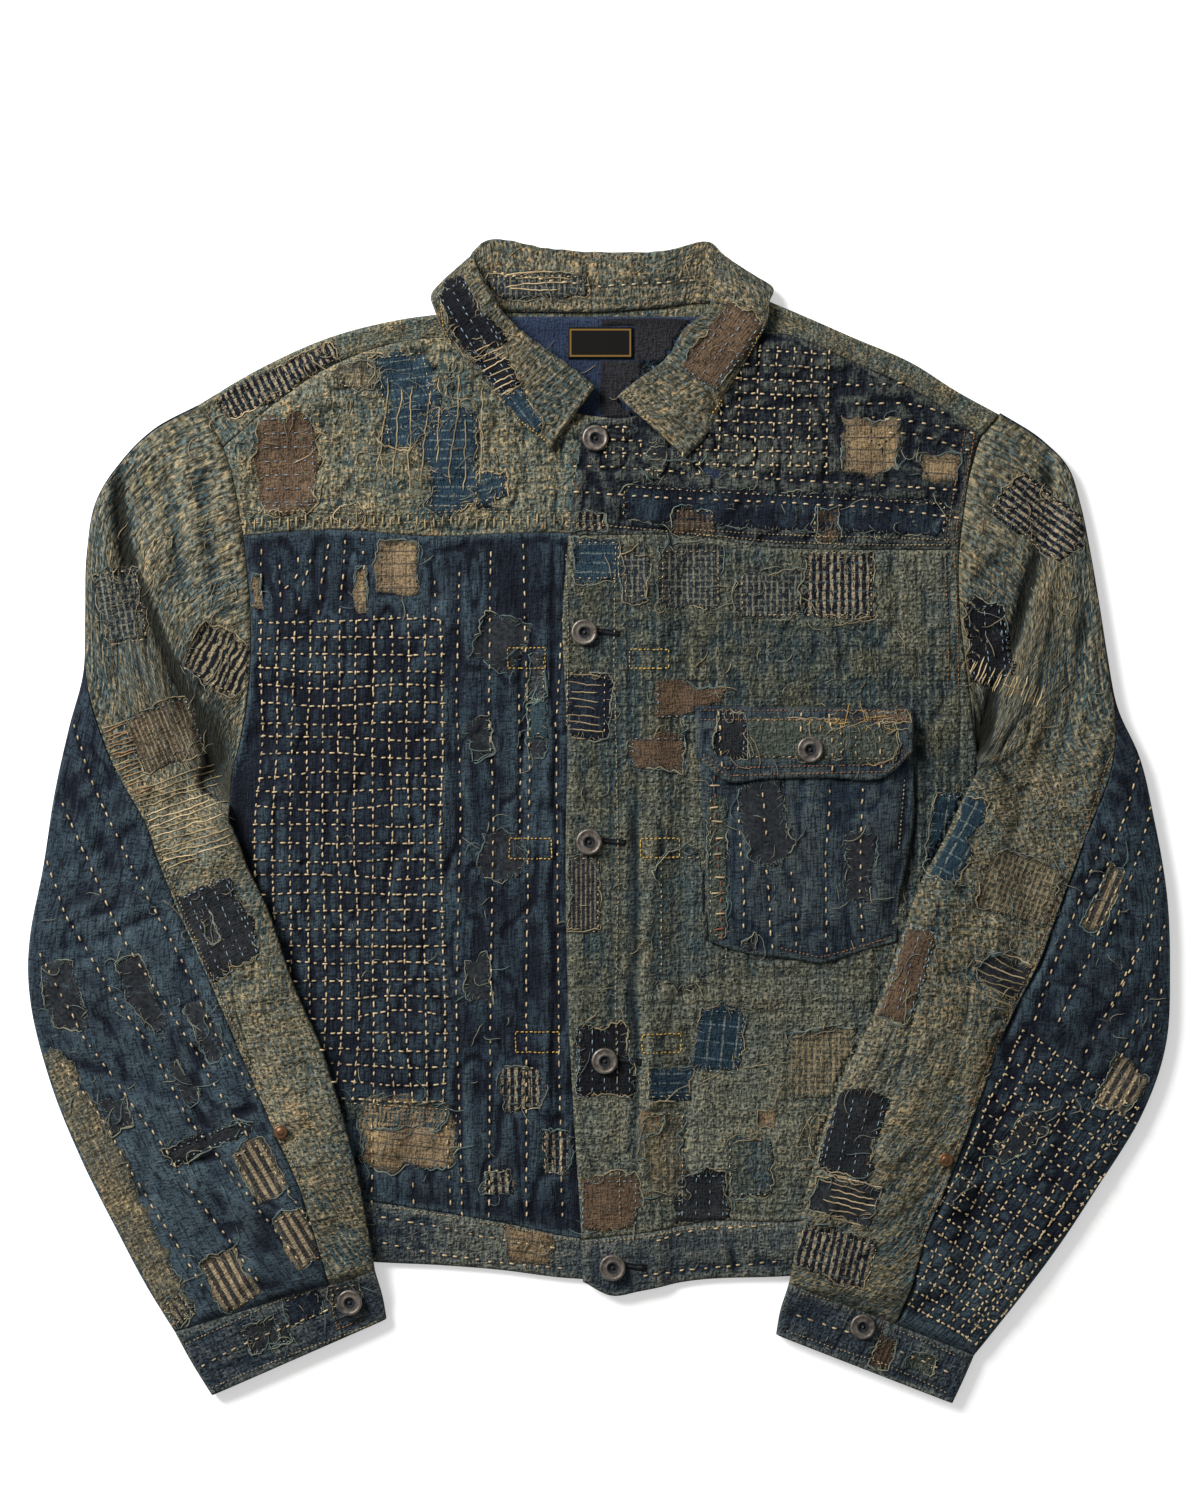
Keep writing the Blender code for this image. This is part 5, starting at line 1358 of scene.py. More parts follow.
def add_node(tree, kind, inputs, output=0, **settings):
    """Adds a node with its settings, each input a value or a socket to link from, and gives back
    one of its outputs."""
    node = tree.nodes.new("ShaderNode" + kind)
    node.location = (180 * (len(tree.nodes) % 12), -240 * (len(tree.nodes) // 12))
    for name, value in settings.items():
        setattr(node, name, value)
    for key, value in inputs.items():
        if isinstance(value, bpy.types.NodeSocket):
            tree.links.new(value, node.inputs[key])
        else:
            node.inputs[key].default_value = value
    return node.outputs[output] if len(node.outputs) else None


def start_material(name):
    made = bpy.data.materials.new(name)
    made.use_nodes = True
    made.node_tree.nodes.clear()
    return made, made.node_tree


def finish_material(tree, inputs):
    """Ends a material in a Principled surface with the given inputs."""
    surface = add_node(tree, "BsdfPrincipled", inputs)
    add_node(tree, "OutputMaterial", {"Surface": surface})


# Each cloth: hex of its ground, of its second tone, of pale slubs and of dark pits between yarns,
# the pits' colour also painting shade in pucker dimples, creases and hollows; how much of it is
# slubs; pitch in mm of the puckers that its rows of sewing draw up, painted pale on their tops
# and dark in their dimples, 0 for none; sets of woven lines (way they run, pitch in mm, share of
# the pitch, sway in mm, colour, strength, how broken up they are); grain of warp and weft in mm
# (width, length). Real yarns are 0.4 to 0.8 mm apart, too fine to show, so the grain is drawn
# from 1.3 mm.
Fabric = namedtuple("Fabric", "ground second slub pit slubs cell lines warp weft",
                    defaults=((), (1.4, 5), (5, 1.4)))
FABRICS = {
    # hand-spun slub cotton, sewn over in close rows: beige knots over faded teal
    "teal_beige_slub": Fabric("475d5f", "737059", "b5996d", "2b2b24", 0.18, 6,
        (("across", 5.8, 0.42, 5, "60767b", 0.5, 0.8), ("up", 4.8, 0.34, 6, "ae946b", 0.66, 0.8)),
        (1.6, 4), (4, 1.6)),
    "olive_teal_slub": Fabric("3b4c50", "5c5c4a", "8b8268", "1a1d1f", 0.12, 5.6,
        (("up", 5.4, 0.36, 1.1, "777b6d", 0.72, 0.6), ("across", 5.4, 0.22, 1.2, "23292b", 0.55, 0.7)),
        (1.5, 4.5), (4, 1.5)),
    "brown_teal_slub": Fabric("465a5e", "6d6852", "a8936e", "20201a", 0.18, 6.4,
        (("across", 6.2, 0.4, 4, "5c6e71", 0.6, 0.6), ("up", 5, 0.34, 4.5, "9f8c6a", 0.72, 0.6)),
        (1.6, 4.2), (4.2, 1.6)),
    "collar_slub": Fabric("515b55", "6d654f", "b6996b", "23231d", 0.2, 5.4,
        (("across", 4.6, 0.36, 2.5, "a99069", 0.65, 0.7), ("up", 5.4, 0.4, 3, "5d7075", 0.5, 0.6)),
        (1.6, 4), (4, 1.6)),
    "teal_slub": Fabric("46565a", "5d6054", "958b6b", "1f2425", 0.18, 5.6,
        (("up", 5, 0.32, 2.4, "7b7d6b", 0.55, 0.7),)),
    "beige_slub": Fabric("64645a", "83775e", "b09a72", "33342c", 0.24, 6,
        (("up", 4.8, 0.34, 3, "a5926c", 0.6, 0.7),)),
    # indigo denim washed soft: warp streaks faded to slate
    "washed_denim": Fabric("191e29", "2c3943", "4b5a61", "0d0f15", 0.14, 0,
        (("up", 4.1, 0.2, 1.8, "3b4853", 0.25, 1),), (1.5, 11), (4, 1.6)),
    "band_denim": Fabric("323e48", "465056", "7a7768", "1a1f25", 0.26, 5, (), (1.5, 7), (5, 1.5)),
    "deep_denim": Fabric("1a202a", "2a3137", "55554b", "0d0f14", 0.16, 6,
        (("up", 4.4, 0.2, 1.4, "414a4f", 0.5, 1),), (1.4, 8)),
    "pocket_denim": Fabric("1f2935", "34414a", "5a625c", "10141a", 0.22, 0,
        (("up", 4.6, 0.2, 1.6, "465355", 0.5, 1),), (1.4, 12)),
    "black_denim": Fabric("191a1f", "232529", "403f3c", "0b0b0e", 0.1, 0),
    # plain-woven cotton offcuts
    "brown_cotton": Fabric("5f4e3f", "705c48", "84705a", "30281f", 0.18, 0),
    "blue_cotton": Fabric("283a47", "33454e", "5f6b6a", "172530", 0.16, 0,
        (("across", 6, 0.16, 1, "77827e", 0.7, 0.5),)),
    "tan_cotton": Fabric("86735a", "9a8363", "b89f78", "504531", 0.24, 0),
    "teal_cotton": Fabric("34454b", "3f4f51", "5c6864", "1f2c31", 0.18, 0),
    "grey_cotton": Fabric("404547", "4c4e4c", "6a6961", "242729", 0.18, 5),
    "grey_green": Fabric("4c554e", "5c6056", "7c7a6b", "2c312b", 0.22, 5),
    "charcoal_cotton": Fabric("26282b", "323335", "4e4e4a", "141518", 0.14, 0),
    "lining_cotton": Fabric("29344a", "2e394d", "3c485c", "1e2637", 0.06, 0),
    "lining_charcoal": Fabric("28282b", "2f2f33", "3c3c42", "1a1a1c", 0.06, 0),
    "lining_navy": Fabric("1c2436", "20293b", "2e394b", "131a28", 0.06, 0),
    # yarn-dyed stripes, checks and plaids
    "dark_stripe": Fabric("191d25", "24292f", "4d4e4e", "0d0f14", 0.12, 0,
        (("up", 4.6, 0.46, 1.6, "a3947a", 0.88, 0.45), ("across", 6, 0.2, 1.2, "4d5c5d", 0.7, 0.5))),
    "tan_plaid": Fabric("86735a", "9b8462", "b9a078", "4e4332", 0.22, 0,
        (("across", 7.8, 0.12, 0.6, "33353a", 0.8, 0.1), ("up", 9, 0.12, 0.6, "514c41", 0.6, 0.2))),
    "brown_stripe": Fabric("5b4a39", "675441", "7f6b50", "312820", 0.2, 0,
        (("up", 3.4, 0.42, 0.5, "25211f", 0.85, 0.1),)),
    "pale_check": Fabric("283238", "364042", "676960", "161a1d", 0.16, 0,
        (("up", 3.9, 0.36, 0.5, "89806a", 0.7, 0.45), ("across", 3.9, 0.3, 0.5, "757569", 0.6, 0.45))),
    "pinstripe": Fabric("2b2d30", "35383a", "4c4d4c", "17181b", 0.12, 0,
        (("up", 3, 0.34, 0.3, "857b68", 0.8, 0.2),)),
    "blue_window": Fabric("243743", "2d4149", "4f5e60", "15222c", 0.14, 0,
        (("up", 9, 0.12, 0.9, "85877a", 0.75, 0.35), ("across", 11, 0.09, 0.9, "6f8082", 0.6, 0.4))),
    "tan_check": Fabric("474b44", "555347", "7e7460", "2a2a24", 0.2, 0,
        (("up", 3.9, 0.46, 0.6, "988768", 0.75, 0.35), ("across", 3.9, 0.42, 0.6, "8d7f63", 0.6, 0.35))),
    "wavy_stripe": Fabric("14171d", "1d2127", "363b3f", "0b0c10", 0.1, 0,
        (("across", 4.6, 0.44, 6, "978a6e", 0.9, 0.1),)),
    "brown_pinstripe": Fabric("4d4338", "5a4c3c", "73634e", "29221b", 0.2, 0,
        (("up", 3, 0.3, 0.5, "8f866d", 0.75, 0.3),)),
    "tan_stripe": Fabric("97876d", "a39173", "b8a584", "5c523e", 0.18, 0,
        (("up", 6, 0.56, 0.8, "1e222c", 0.96, 0.1),)),
}


# What slub cloth bleaches to where it is rubbed, and on ridges painted pale as highlight
BLEACHED = "8d9181"


def woven(look):
    """Cotton woven of uneven yarn: faded blotches, puckers painted pale on their tops as highlight and
    dark in their dimples as shade, slubs and pits in both directions, worn places bleached, ridges paler
    as wear and painted highlight, troughs, creases and hollows darkened as painted shade, and a matt
    surface."""
    fabric = FABRICS[look]
    sewn = fabric.cell > 0
    made, tree = start_material(look.replace("_", " ").capitalize() + ", woven")
    flat = add_node(tree, "UVMap", {}, uv_map="cloth")
    place = add_node(tree, "VectorMath", {0: flat, "Scale": 1000}, operation="SCALE")
    grains = []
    for grain_x, grain_y, detail, output in (
            (11, 11, 2, "Color"), (*fabric.warp, 2, 0), (*fabric.weft, 2, 0),
            (26, 32, 3, 0), (1.2, 1.2, 2, 0)):
        spread = add_node(tree, "Mapping", {"Vector": place, "Scale": (1 / grain_x, 1 / grain_y, 1)})
        grains.append(add_node(tree, "TexNoise", {
            "Vector": spread, "Scale": 1, "Detail": detail, "Roughness": 0.6}, output,
            noise_dimensions="2D"))
    sway, warp, weft, blotch, grit = grains

    over = add_node(tree, "Math", {0: warp, 1: weft}, operation="MAXIMUM")
    under = add_node(tree, "Math", {0: warp, 1: weft}, operation="MINIMUM")
    wear = add_node(tree, "Attribute", {}, "Fac", attribute_name="wear")
    height = add_node(tree, "Math", {0: warp, 1: weft}, operation="ADD")
    height = add_node(tree, "Math", {0: grit, 1: 0.7, 2: height}, operation="MULTIPLY_ADD")
    fine = 0.6 if sewn else 0.35
    level = add_node(tree, "Math", {0: wear, 1: 0.20, 2: over}, operation="MULTIPLY_ADD")
    level = add_node(tree, "Math", {0: blotch, 1: fine, 2: level}, operation="MULTIPLY_ADD")
    faded = add_node(tree, "Math", {0: over, 1: fine, 2: blotch}, operation="MULTIPLY_ADD")
    faded = add_node(tree, "Math", {0: wear, 1: 0.25, 2: faded}, operation="MULTIPLY_ADD")

    # Masks, each with the levels between which it goes from one share to the other, and its colour
    middle = (0.50 if sewn else 0.56) + 0.57 * fine
    # The wear and shade attribute bleaches the cloth where it is positive: worn places, and ridges painted
    # pale as highlight.
    layers = [(faded, middle - 0.12, middle + 0.12, 0, 1, fabric.second),
              (wear, 0.05, 1.05, 0, 0.75, BLEACHED if sewn else fabric.slub)]
    for way, pitch, width, reach, tone, strength, broken in fabric.lines:
        bent = add_node(tree, "VectorMath", {0: sway, 1: (reach, reach, 0), 2: place},
                        operation="MULTIPLY_ADD")
        across = add_node(tree, "SeparateXYZ", {"Vector": bent}, "X" if way == "up" else "Y")
        start = 0.30 + 0.22 * broken
        gone = add_node(tree, "MapRange", {
            "Value": warp, "From Min": start - 0.08, "From Max": start + 0.06,
            "To Min": broken * pitch, "To Max": 0})
        off = add_node(tree, "Math", {0: across, 1: 0.5 * pitch}, operation="PINGPONG")
        off = add_node(tree, "Math", {0: off, 1: gone}, operation="ADD")
        edge = 0.5 * width * pitch
        layers.append((off, edge - 0.28, edge + 0.28, strength, 0, tone))
    if sewn:
        bent = add_node(tree, "VectorMath", {0: sway, 1: (5, 5, 0), 2: place},
                        operation="MULTIPLY_ADD")
        apart = add_node(tree, "TexVoronoi", {"Vector": bent, "Scale": 1 / fabric.cell,
                                              "Randomness": 0.42}, voronoi_dimensions="2D")
        # Each pucker is painted dark at its centre and along its cell's edge, as shade in its dimples;
        # below, its ring of top takes slubs sooner, painted pale as highlight.
        layers += [(apart, 0.40, 0.70, 0, 0.45, fabric.pit), (apart, 0.07, 0.17, 0.85, 0, fabric.pit)]
        ring = add_node(tree, "Math", {0: apart, 1: 0.27}, operation="SUBTRACT")
        ring = add_node(tree, "Math", {0: ring}, operation="ABSOLUTE")
        level = add_node(tree, "Math", {0: ring, 1: -0.75, 2: level}, operation="MULTIPLY_ADD")
        level = add_node(tree, "Math", {0: level, 1: -0.03}, operation="ADD")
        height = add_node(tree, "Math", {0: ring, 1: -2.6, 2: height}, operation="MULTIPLY_ADD")
    start = 1.02 - 0.36 * fabric.slubs
    soft = 0.05 if sewn else 0
    # Slubs, pits between yarns, and the pit colour as painted shade where the wear and shade attribute is
    # negative.
    layers += [(level, start - soft, start + 0.09 + soft, 0, 0.88, fabric.slub),
               (under, 0.34, 0.45 + soft, 0.75, 0, fabric.pit),
               (wear, -1, -0.08, 0.92, 0, fabric.pit)]
    colour = linear(fabric.ground)
    for mask, low, high, first, last, tone in layers:
        share = add_node(tree, "MapRange", {
            "Value": mask, "From Min": low, "From Max": high, "To Min": first, "To Max": last})
        colour = add_node(tree, "Mix", {0: share, 6: colour, 7: linear(tone)}, 2, data_type="RGBA")
    least, most = (0.74, 1.20) if sewn else (0.82, 1.16)
    shade = add_node(tree, "MapRange", {
        "Value": grit, "From Min": 0.3, "From Max": 0.7, "To Min": least, "To Max": most})
    colour = add_node(tree, "Mix", {0: 1, 6: colour, 7: shade}, 2, data_type="RGBA",
                      blend_type="MULTIPLY")
    bump = add_node(tree, "Bump", {"Height": height, "Strength": 0.9, "Distance": 0.0011})
    finish_material(tree, {
        "Base Color": colour, "Normal": bump, "Roughness": 0.95, "Specular IOR Level": 0.10,
        "Sheen Weight": 0.02, "Sheen Roughness": 0.6})
    return made


# Each yarn and thread: hex of its body and of its soiled parts
YARNS = {
    "cream": ("cab38c", "998666"), "tan": ("a38f69", "75664b"), "orange": ("94653a", "6f4d30"),
    "gold": ("d3ab4a", "a5823d"), "rust": ("7d4a33", "5d3a2b"), "beige": ("a3916c", "72664b"),
    "sage": ("87866f", "60625a"), "brown": ("a07d55", "7a6043"), "sky": ("8aa0ae", "62747f"),
    "charcoal": ("33332f", "242423"), "teal": ("5f7370", "425250"),
}


def yarn(look):
    """Spun cotton yarn: matt, with soiled lengths and a fuzz of fibre."""
    body, soiled = YARNS[look]
    made, tree = start_material(look.replace("_", " ").capitalize() + " yarn, spun")
    spot = add_node(tree, "TexCoord", {}, "Object")
    soil = add_node(tree, "TexNoise", {"Vector": spot, "Scale": 90, "Detail": 3})
    share = add_node(tree, "MapRange", {"Value": soil, "From Min": 0.40, "From Max": 0.62})
    colour = add_node(tree, "Mix", {0: share, 6: linear(body), 7: linear(soiled)}, 2, data_type="RGBA")
    twist = add_node(tree, "TexNoise", {"Vector": spot, "Scale": 1400, "Detail": 1})
    bump = add_node(tree, "Bump", {"Height": twist, "Strength": 0.4, "Distance": 0.0003})
    finish_material(tree, {"Base Color": colour, "Normal": bump, "Roughness": 0.85,
                           "Specular IOR Level": 0.2, "Sheen Weight": 0.15})
    return made


def mottled(name, first, second, scale, inputs, bump_depth=0.0003):
    """A material clouded between two colours, with a fine grain."""
    made, tree = start_material(name)
    spot = add_node(tree, "TexCoord", {}, "Object")
    bloom = add_node(tree, "TexNoise", {"Vector": spot, "Scale": scale, "Detail": 4, "Roughness": 0.7})
    share = add_node(tree, "MapRange", {"Value": bloom, "From Min": 0.36, "From Max": 0.66})
    colour = add_node(tree, "Mix", {0: share, 6: linear(first), 7: linear(second)}, 2, data_type="RGBA")
    bump = add_node(tree, "Bump", {"Height": bloom, "Strength": 0.4, "Distance": bump_depth})
    finish_material(tree, {"Base Color": colour, "Normal": bump, **inputs})
    return made


def hollow_shade_and_under_layer():
    """Near-black matt charcoal with a trace of fibre: the dark under layer seen through worn holes,
    darkened there as painted shade, and painted shade in buttonhole slits and in the buttons' dishes.
    """
    return mottled("Charcoal under layer, woven", "191b1f", "34373a", 420,
                   {"Roughness": 0.95, "Specular IOR Level": 0.1}, 0.0005)


def aged_steel():
    """Pressed steel, its plating rubbed off: dull grey with brown bloom in the hollows."""
    return mottled("Aged steel, pressed", "8b837b", "4d453d", 260,
                   {"Metallic": 0.8, "Roughness": 0.5})


def aged_copper():
    """Copper rivet head, dulled brown."""
    return mottled("Aged copper, pressed", "8f6a4c", "4d3a2d", 320,
                   {"Metallic": 0.9, "Roughness": 0.5})


def label_satin():
    """Woven satin label: black with a plain ochre border set in from its edge, soft shine."""
    made, tree = start_material("Black label, satin woven")
    flat = add_node(tree, "UVMap", {}, uv_map="cloth")
    place = add_node(tree, "VectorMath", {0: flat, "Scale": 1000}, operation="SCALE")
    reach = []
    for axis, (low, high) in (("X", LABEL_X), ("Y", LABEL_Y)):
        one = add_node(tree, "SeparateXYZ", {"Vector": place}, axis)
        reach.append(add_node(tree, "Math", {0: one, 1: 0.5 * (high - low)}, operation="PINGPONG"))
    near = add_node(tree, "Math", {0: reach[0], 1: reach[1]}, operation="MINIMUM")
    off = add_node(tree, "Math", {0: near, 1: 1.6, 2: 0.5}, operation="COMPARE")
    share = add_node(tree, "Math", {0: off, 1: 0.9}, operation="MULTIPLY")
    colour = add_node(tree, "Mix", {0: share, 6: linear("0e0c0a"), 7: linear("7d5f2c")}, 2,
                      data_type="RGBA")
    ribs = add_node(tree, "TexNoise", {"Vector": place, "Scale": 1.2, "Detail": 2})
    bump = add_node(tree, "Bump", {"Height": ribs, "Strength": 0.3, "Distance": 0.0003})
    finish_material(tree, {"Base Color": colour, "Normal": bump, "Roughness": 0.6,
                           "Specular IOR Level": 0.12})
    return made


def studio_floor():
    """Matt paper sweep: white to the camera except where the jacket shades it."""
    made, tree = start_material("White paper, matt")
    camera = add_node(tree, "LightPath", {}, "Is Camera Ray")
    mirrored = add_node(tree, "LightPath", {}, "Is Glossy Ray")
    seen = add_node(tree, "Math", {0: camera, 1: mirrored}, operation="MAXIMUM")
    surface = add_node(tree, "BsdfDiffuse", {"Color": linear("f6f6f5")})
    glow = add_node(tree, "Emission", {"Color": linear("ffffff"), "Strength": 0.42})
    lit = add_node(tree, "AddShader", {0: surface, 1: glow})
    mixed = add_node(tree, "MixShader", {0: seen, 1: surface, 2: lit})
    add_node(tree, "OutputMaterial", {"Surface": mixed})
    return made


def finish(look):
    """The material of a given look, made once."""
    if look not in MADE:
        if look in FABRICS:
            MADE[look] = woven(look)
        elif look in YARNS:
            MADE[look] = yarn(look)
        else:
            MADE[look] = SPECIAL[look]()
    return MADE[look]


SPECIAL = {
    "hollow": hollow_shade_and_under_layer, "label_satin": label_satin, "aged_steel": aged_steel,
    "aged_copper": aged_copper, "floor": studio_floor,
}
MADE = {}


# ---- what lies on the cloth

class Ground:
    """The topmost cloth over a grid of places: its height and whose it is."""

    STEP = 1.5
    LOW = np.array([-378, -385])
    HIGH = np.array([378, 385])
    ABOVE = 60

    def __init__(self, pieces):
        points = []
        faces = []
        ends = []
        self.names = [piece.name.replace("_cloth", "").replace("patches_on_", "") for piece in pieces]
        for piece in pieces:
            offset = len(points)
            points += [[value / MM for value in vertex.co] for vertex in piece.data.vertices]
            faces += [[value + offset for value in face.vertices] for face in piece.data.polygons]
            ends.append(len(faces))
        tree = BVHTree.FromPolygons(points, faces)
        columns, rows = ((self.HIGH - self.LOW) / self.STEP).astype(int) + 1
        self.height = np.zeros((rows, columns))
        self.owner = np.full((rows, columns), -1)
        for row, col in np.ndindex(rows, columns):
            start = (self.LOW[0] + col * self.STEP, self.LOW[1] + row * self.STEP, self.ABOVE)
            spot, _, face, _ = tree.ray_cast(start, (0, 0, -1))
            if spot is not None:
                self.height[row, col] = spot.z
                self.owner[row, col] = np.searchsorted(ends, face, side="right")

    def cell(self, x, y):
        rows, columns = (y - self.LOW[1]) / self.STEP, (x - self.LOW[0]) / self.STEP
        last_row, last_column = np.array(self.height.shape) - 1.001
        return np.clip(rows, 0, last_row), np.clip(columns, 0, last_column)

    def at(self, x, y):
        """Height over a place."""
        rows, columns = self.cell(x, y)
        row, col = rows.astype(int), columns.astype(int)
        up, over = rows - row, columns - col
        low, high = (self.height[row + step, col] * (1 - over) + self.height[row + step, col + 1] * over
                     for step in (0, 1))
        return low * (1 - up) + high * up

    def belongs(self, x, y, name):
        """Whether a place shows the named piece."""
        shown = self.owner[tuple(np.rint(self.cell(x, y)).astype(int))]
        return np.isin(shown, [number for number, other in enumerate(self.names) if other == name])


def ragged_box(width, height, raggedness, spacing, seed):
    """Grid over a torn scrap around its own centre: a box with worn corners and uneven sides."""
    columns = max(3, math.ceil(width / spacing) + 1)
    rows = max(3, math.ceil(height / spacing) + 1)
    across, up = np.meshgrid(np.linspace(-1, 1, columns), np.linspace(-1, 1, rows))
    corner = 1 - (0.02 + 0.02 * raggedness) * across ** 2 * up ** 2
    x = 0.5 * width * across * corner
    y = 0.5 * height * up * corner
    for grain, share in ((20, 1), (7, 0.9), (3, 0.5)):
        x = x + share * raggedness * across ** 3 * noise(y, 90 * np.sign(across), grain, 1, seed)
        y = y + share * raggedness * up ** 3 * noise(x, 90 * np.sign(up), grain, 1, seed + 3)
    return x, y


# How scraps and holes lie: height over the cloth, thickness, spacing of their grid
PATCH_LIE = (0.25, 0.6, 2.3)
HOLE_LIE = (0.12, 0.3, 1.8)
HOLE_RAGGEDNESS = 2.6
# Scraps cut neater than this have turned-in edges: no stitches round them and no loose yarn
LEAST_RAGGEDNESS = 0.5
# First seeds of the holes' and buttonholes' outlines; the scraps' begin at 0
HOLE_SEED = 90
BUTTONHOLE_SEED = 140


def scraps():
    """Every sewn scrap, and every worn hole: piece, look, box, raggedness, seed."""
    patches = [(name, look, box, raggedness, seed)
               for seed, (name, look, *box, raggedness) in enumerate(entries(PATCHES))]
    holes = [(name, "hollow", box, HOLE_RAGGEDNESS, seed)
             for seed, (name, *box) in enumerate(entries(HOLES), HOLE_SEED)]
    return patches, holes


def scrap_outline(box, raggedness, seed):
    """The torn edge of a scrap, once round."""
    centre_x, centre_y, width, height, degrees = box
    x, y = turned(*ragged_box(width, height, raggedness, PATCH_LIE[-1], seed), degrees)
    grid = np.dstack([x + centre_x, y + centre_y])
    return np.concatenate([grid[0, :-1], grid[:-1, -1], grid[-1, :0:-1], grid[:0:-1, 0]])


def lay_patch(layer, ground, name, look, box, raggedness, seed, lift, depth, spacing):
    """Adds a scrap to a piece, cut to a ragged box and following what is under it, where it shows."""
    centre_x, centre_y, width, height, degrees = box
    local = ragged_box(width, height, raggedness, spacing, seed)
    x, y = turned(*local, degrees)
    x, y = x + centre_x, y + centre_y
    on_piece = ground.belongs(x, y, name)
    kept = on_piece[:-1, :-1] & on_piece[1:, 1:] & on_piece[1:, :-1] & on_piece[:-1, 1:]
    if kept.sum() >= 4:
        top = ground.at(x, y) + lift - 0.3 * lift * rim(x, 1)
        # The scrap's rim is painted dark as the shade along its edge.
        wear = -0.7 * rim(x, ROUND_CELLS)
        parts = patch_parts(np.dstack([x, y, top]), depth, np.dstack(local) + (7 * seed, 11 * seed),
                            kept, wear)
        layer.setdefault(name, []).append((*parts, look))


def tube(path, radius, sides=3):
    """Closed tube of yarn along a path, tapering to both ends."""
    count = len(path)
    heading = np.gradient(path, axis=0)
    heading /= np.linalg.norm(heading, axis=1, keepdims=True) + 1e-9
    aside = np.cross(heading, (0, 0, 1))
    aside /= np.linalg.norm(aside, axis=1, keepdims=True) + 1e-9
    above = np.cross(aside, heading)
    thick = np.full((count, 1), radius)
    thick[0] *= 0.45
    thick[-1] *= 0.35
    turns = math.pi * (0.5 + 2 * np.arange(sides) / sides)
    points = np.stack([path + (aside * math.cos(turn) + above * math.sin(turn)) * thick
                       for turn in turns], axis=1).reshape(-1, 3)
    faces = [list(range(sides))[::-1], list(range((count - 1) * sides, count * sides))]
    for start in range(0, (count - 1) * sides, sides):
        for side in range(sides):
            after = (side + 1) % sides
            faces.append([start + side, start + after, start + sides + after, start + sides + side])
    return points, faces


def add_strand(layer, name, look, points, faces):
    """Adds a strand to those that lie on a piece of cloth."""
    part = (points, faces, points[:, :2], np.zeros(len(points)), look)
    layer.setdefault(name, []).append(part)


def make_layer(prefix, layer):
    """One mesh for each piece of cloth of what lies on it."""
    return [make_piece(f"{prefix}_on_{name}", sorted(layer[name], key=lambda part: part[4]))
            for name in sorted(layer)]


def stitch(start, end, ground, radius):
    """One stitch of thread: its ends dive into the cloth, its middle stands proud."""
    flat = start + (end - start) * np.array([0, 0.24, 0.76, 1])[:, None]
    height = ground.at(*flat.T)
    height[1:3] = height.max() + 0.15
    path = np.column_stack([flat, height + np.array([-0.7, 0.7, 0.7, -0.7]) * radius])
    heading = (end - start) / (np.linalg.norm(end - start) + 1e-9)
    aside = np.array([-heading[1], heading[0], 0]) * radius
    above = np.array([0, 0, radius])
    points = np.array([path[0], *(path[place] + offset for place in (1, 2)
                                  for offset in (aside, above, -aside, -above)), path[3]])
    faces = []
    for side in range(4):
        after = (side + 1) % 4
        faces += [[0, 1 + after, 1 + side], [1 + side, 1 + after, 5 + after, 5 + side],
                  [9, 5 + side, 5 + after]]
    return points, faces


def sew(layer, ground, chance, name, thread, points, pitch, length, radius):
    """Stitches along a line, each a little off in place, length and turn."""
    knots = runs_along(points)
    count = max(1, int(knots[-1] / pitch))
    for number in range(count):
        middle = (number + 0.5 + 0.10 * chance.normal()) * knots[-1] / count
        reach = 0.5 * length * (1 + 0.16 * chance.normal())
        ends = [np.array([np.interp(place, knots, line) for line in points.T])
                + 0.22 * min(1, length / 3) * chance.normal(size=2)
                for place in (middle - reach, middle + reach)]
        if ground.belongs(*(0.5 * (ends[0] + ends[1])), name):
            add_strand(layer, name, thread, *stitch(*ends, ground, radius))


def laid_yarn(ground, flat, radius, lift, sides=3):
    """Yarn along a route, lying on the cloth and lifting in its middle."""
    height = ground.at(*flat.T)
    smooth = np.maximum(height, np.convolve(np.pad(height, 1, mode="edge"), [0.25, 0.5, 0.25], "valid"))
    arch = lift * np.sin(np.linspace(0, math.pi, len(flat))) ** 2
    return tube(np.column_stack([flat, smooth + 0.5 * radius + arch]), radius, sides)


# Below this height a place lies off the jacket
LEAST_GROUND = 1.5


def loose_end(ground, chance, start, degrees, length, radius, lift, kink=0.20):
    """A free end of yarn that wanders from its start."""
    count = max(4, int(length / 2.6) + 1)
    turns = [0.12 * chance.normal()]
    for _ in range(count - 1):
        turns.append(0.7 * turns[-1] + kink * chance.normal())
    heading = math.radians(degrees) + np.cumsum(turns[1:])
    steps = np.stack([np.cos(heading), np.sin(heading)], axis=1) * length / (count - 1)
    flat = np.array(start) + np.concatenate([np.zeros((1, 2)), np.cumsum(steps, axis=0)])
    on_cloth = ground.at(*flat.T) > LEAST_GROUND
    kept = count if on_cloth.all() else max(2, int(np.argmin(on_cloth)))
    return laid_yarn(ground, flat[:kept], radius, lift)


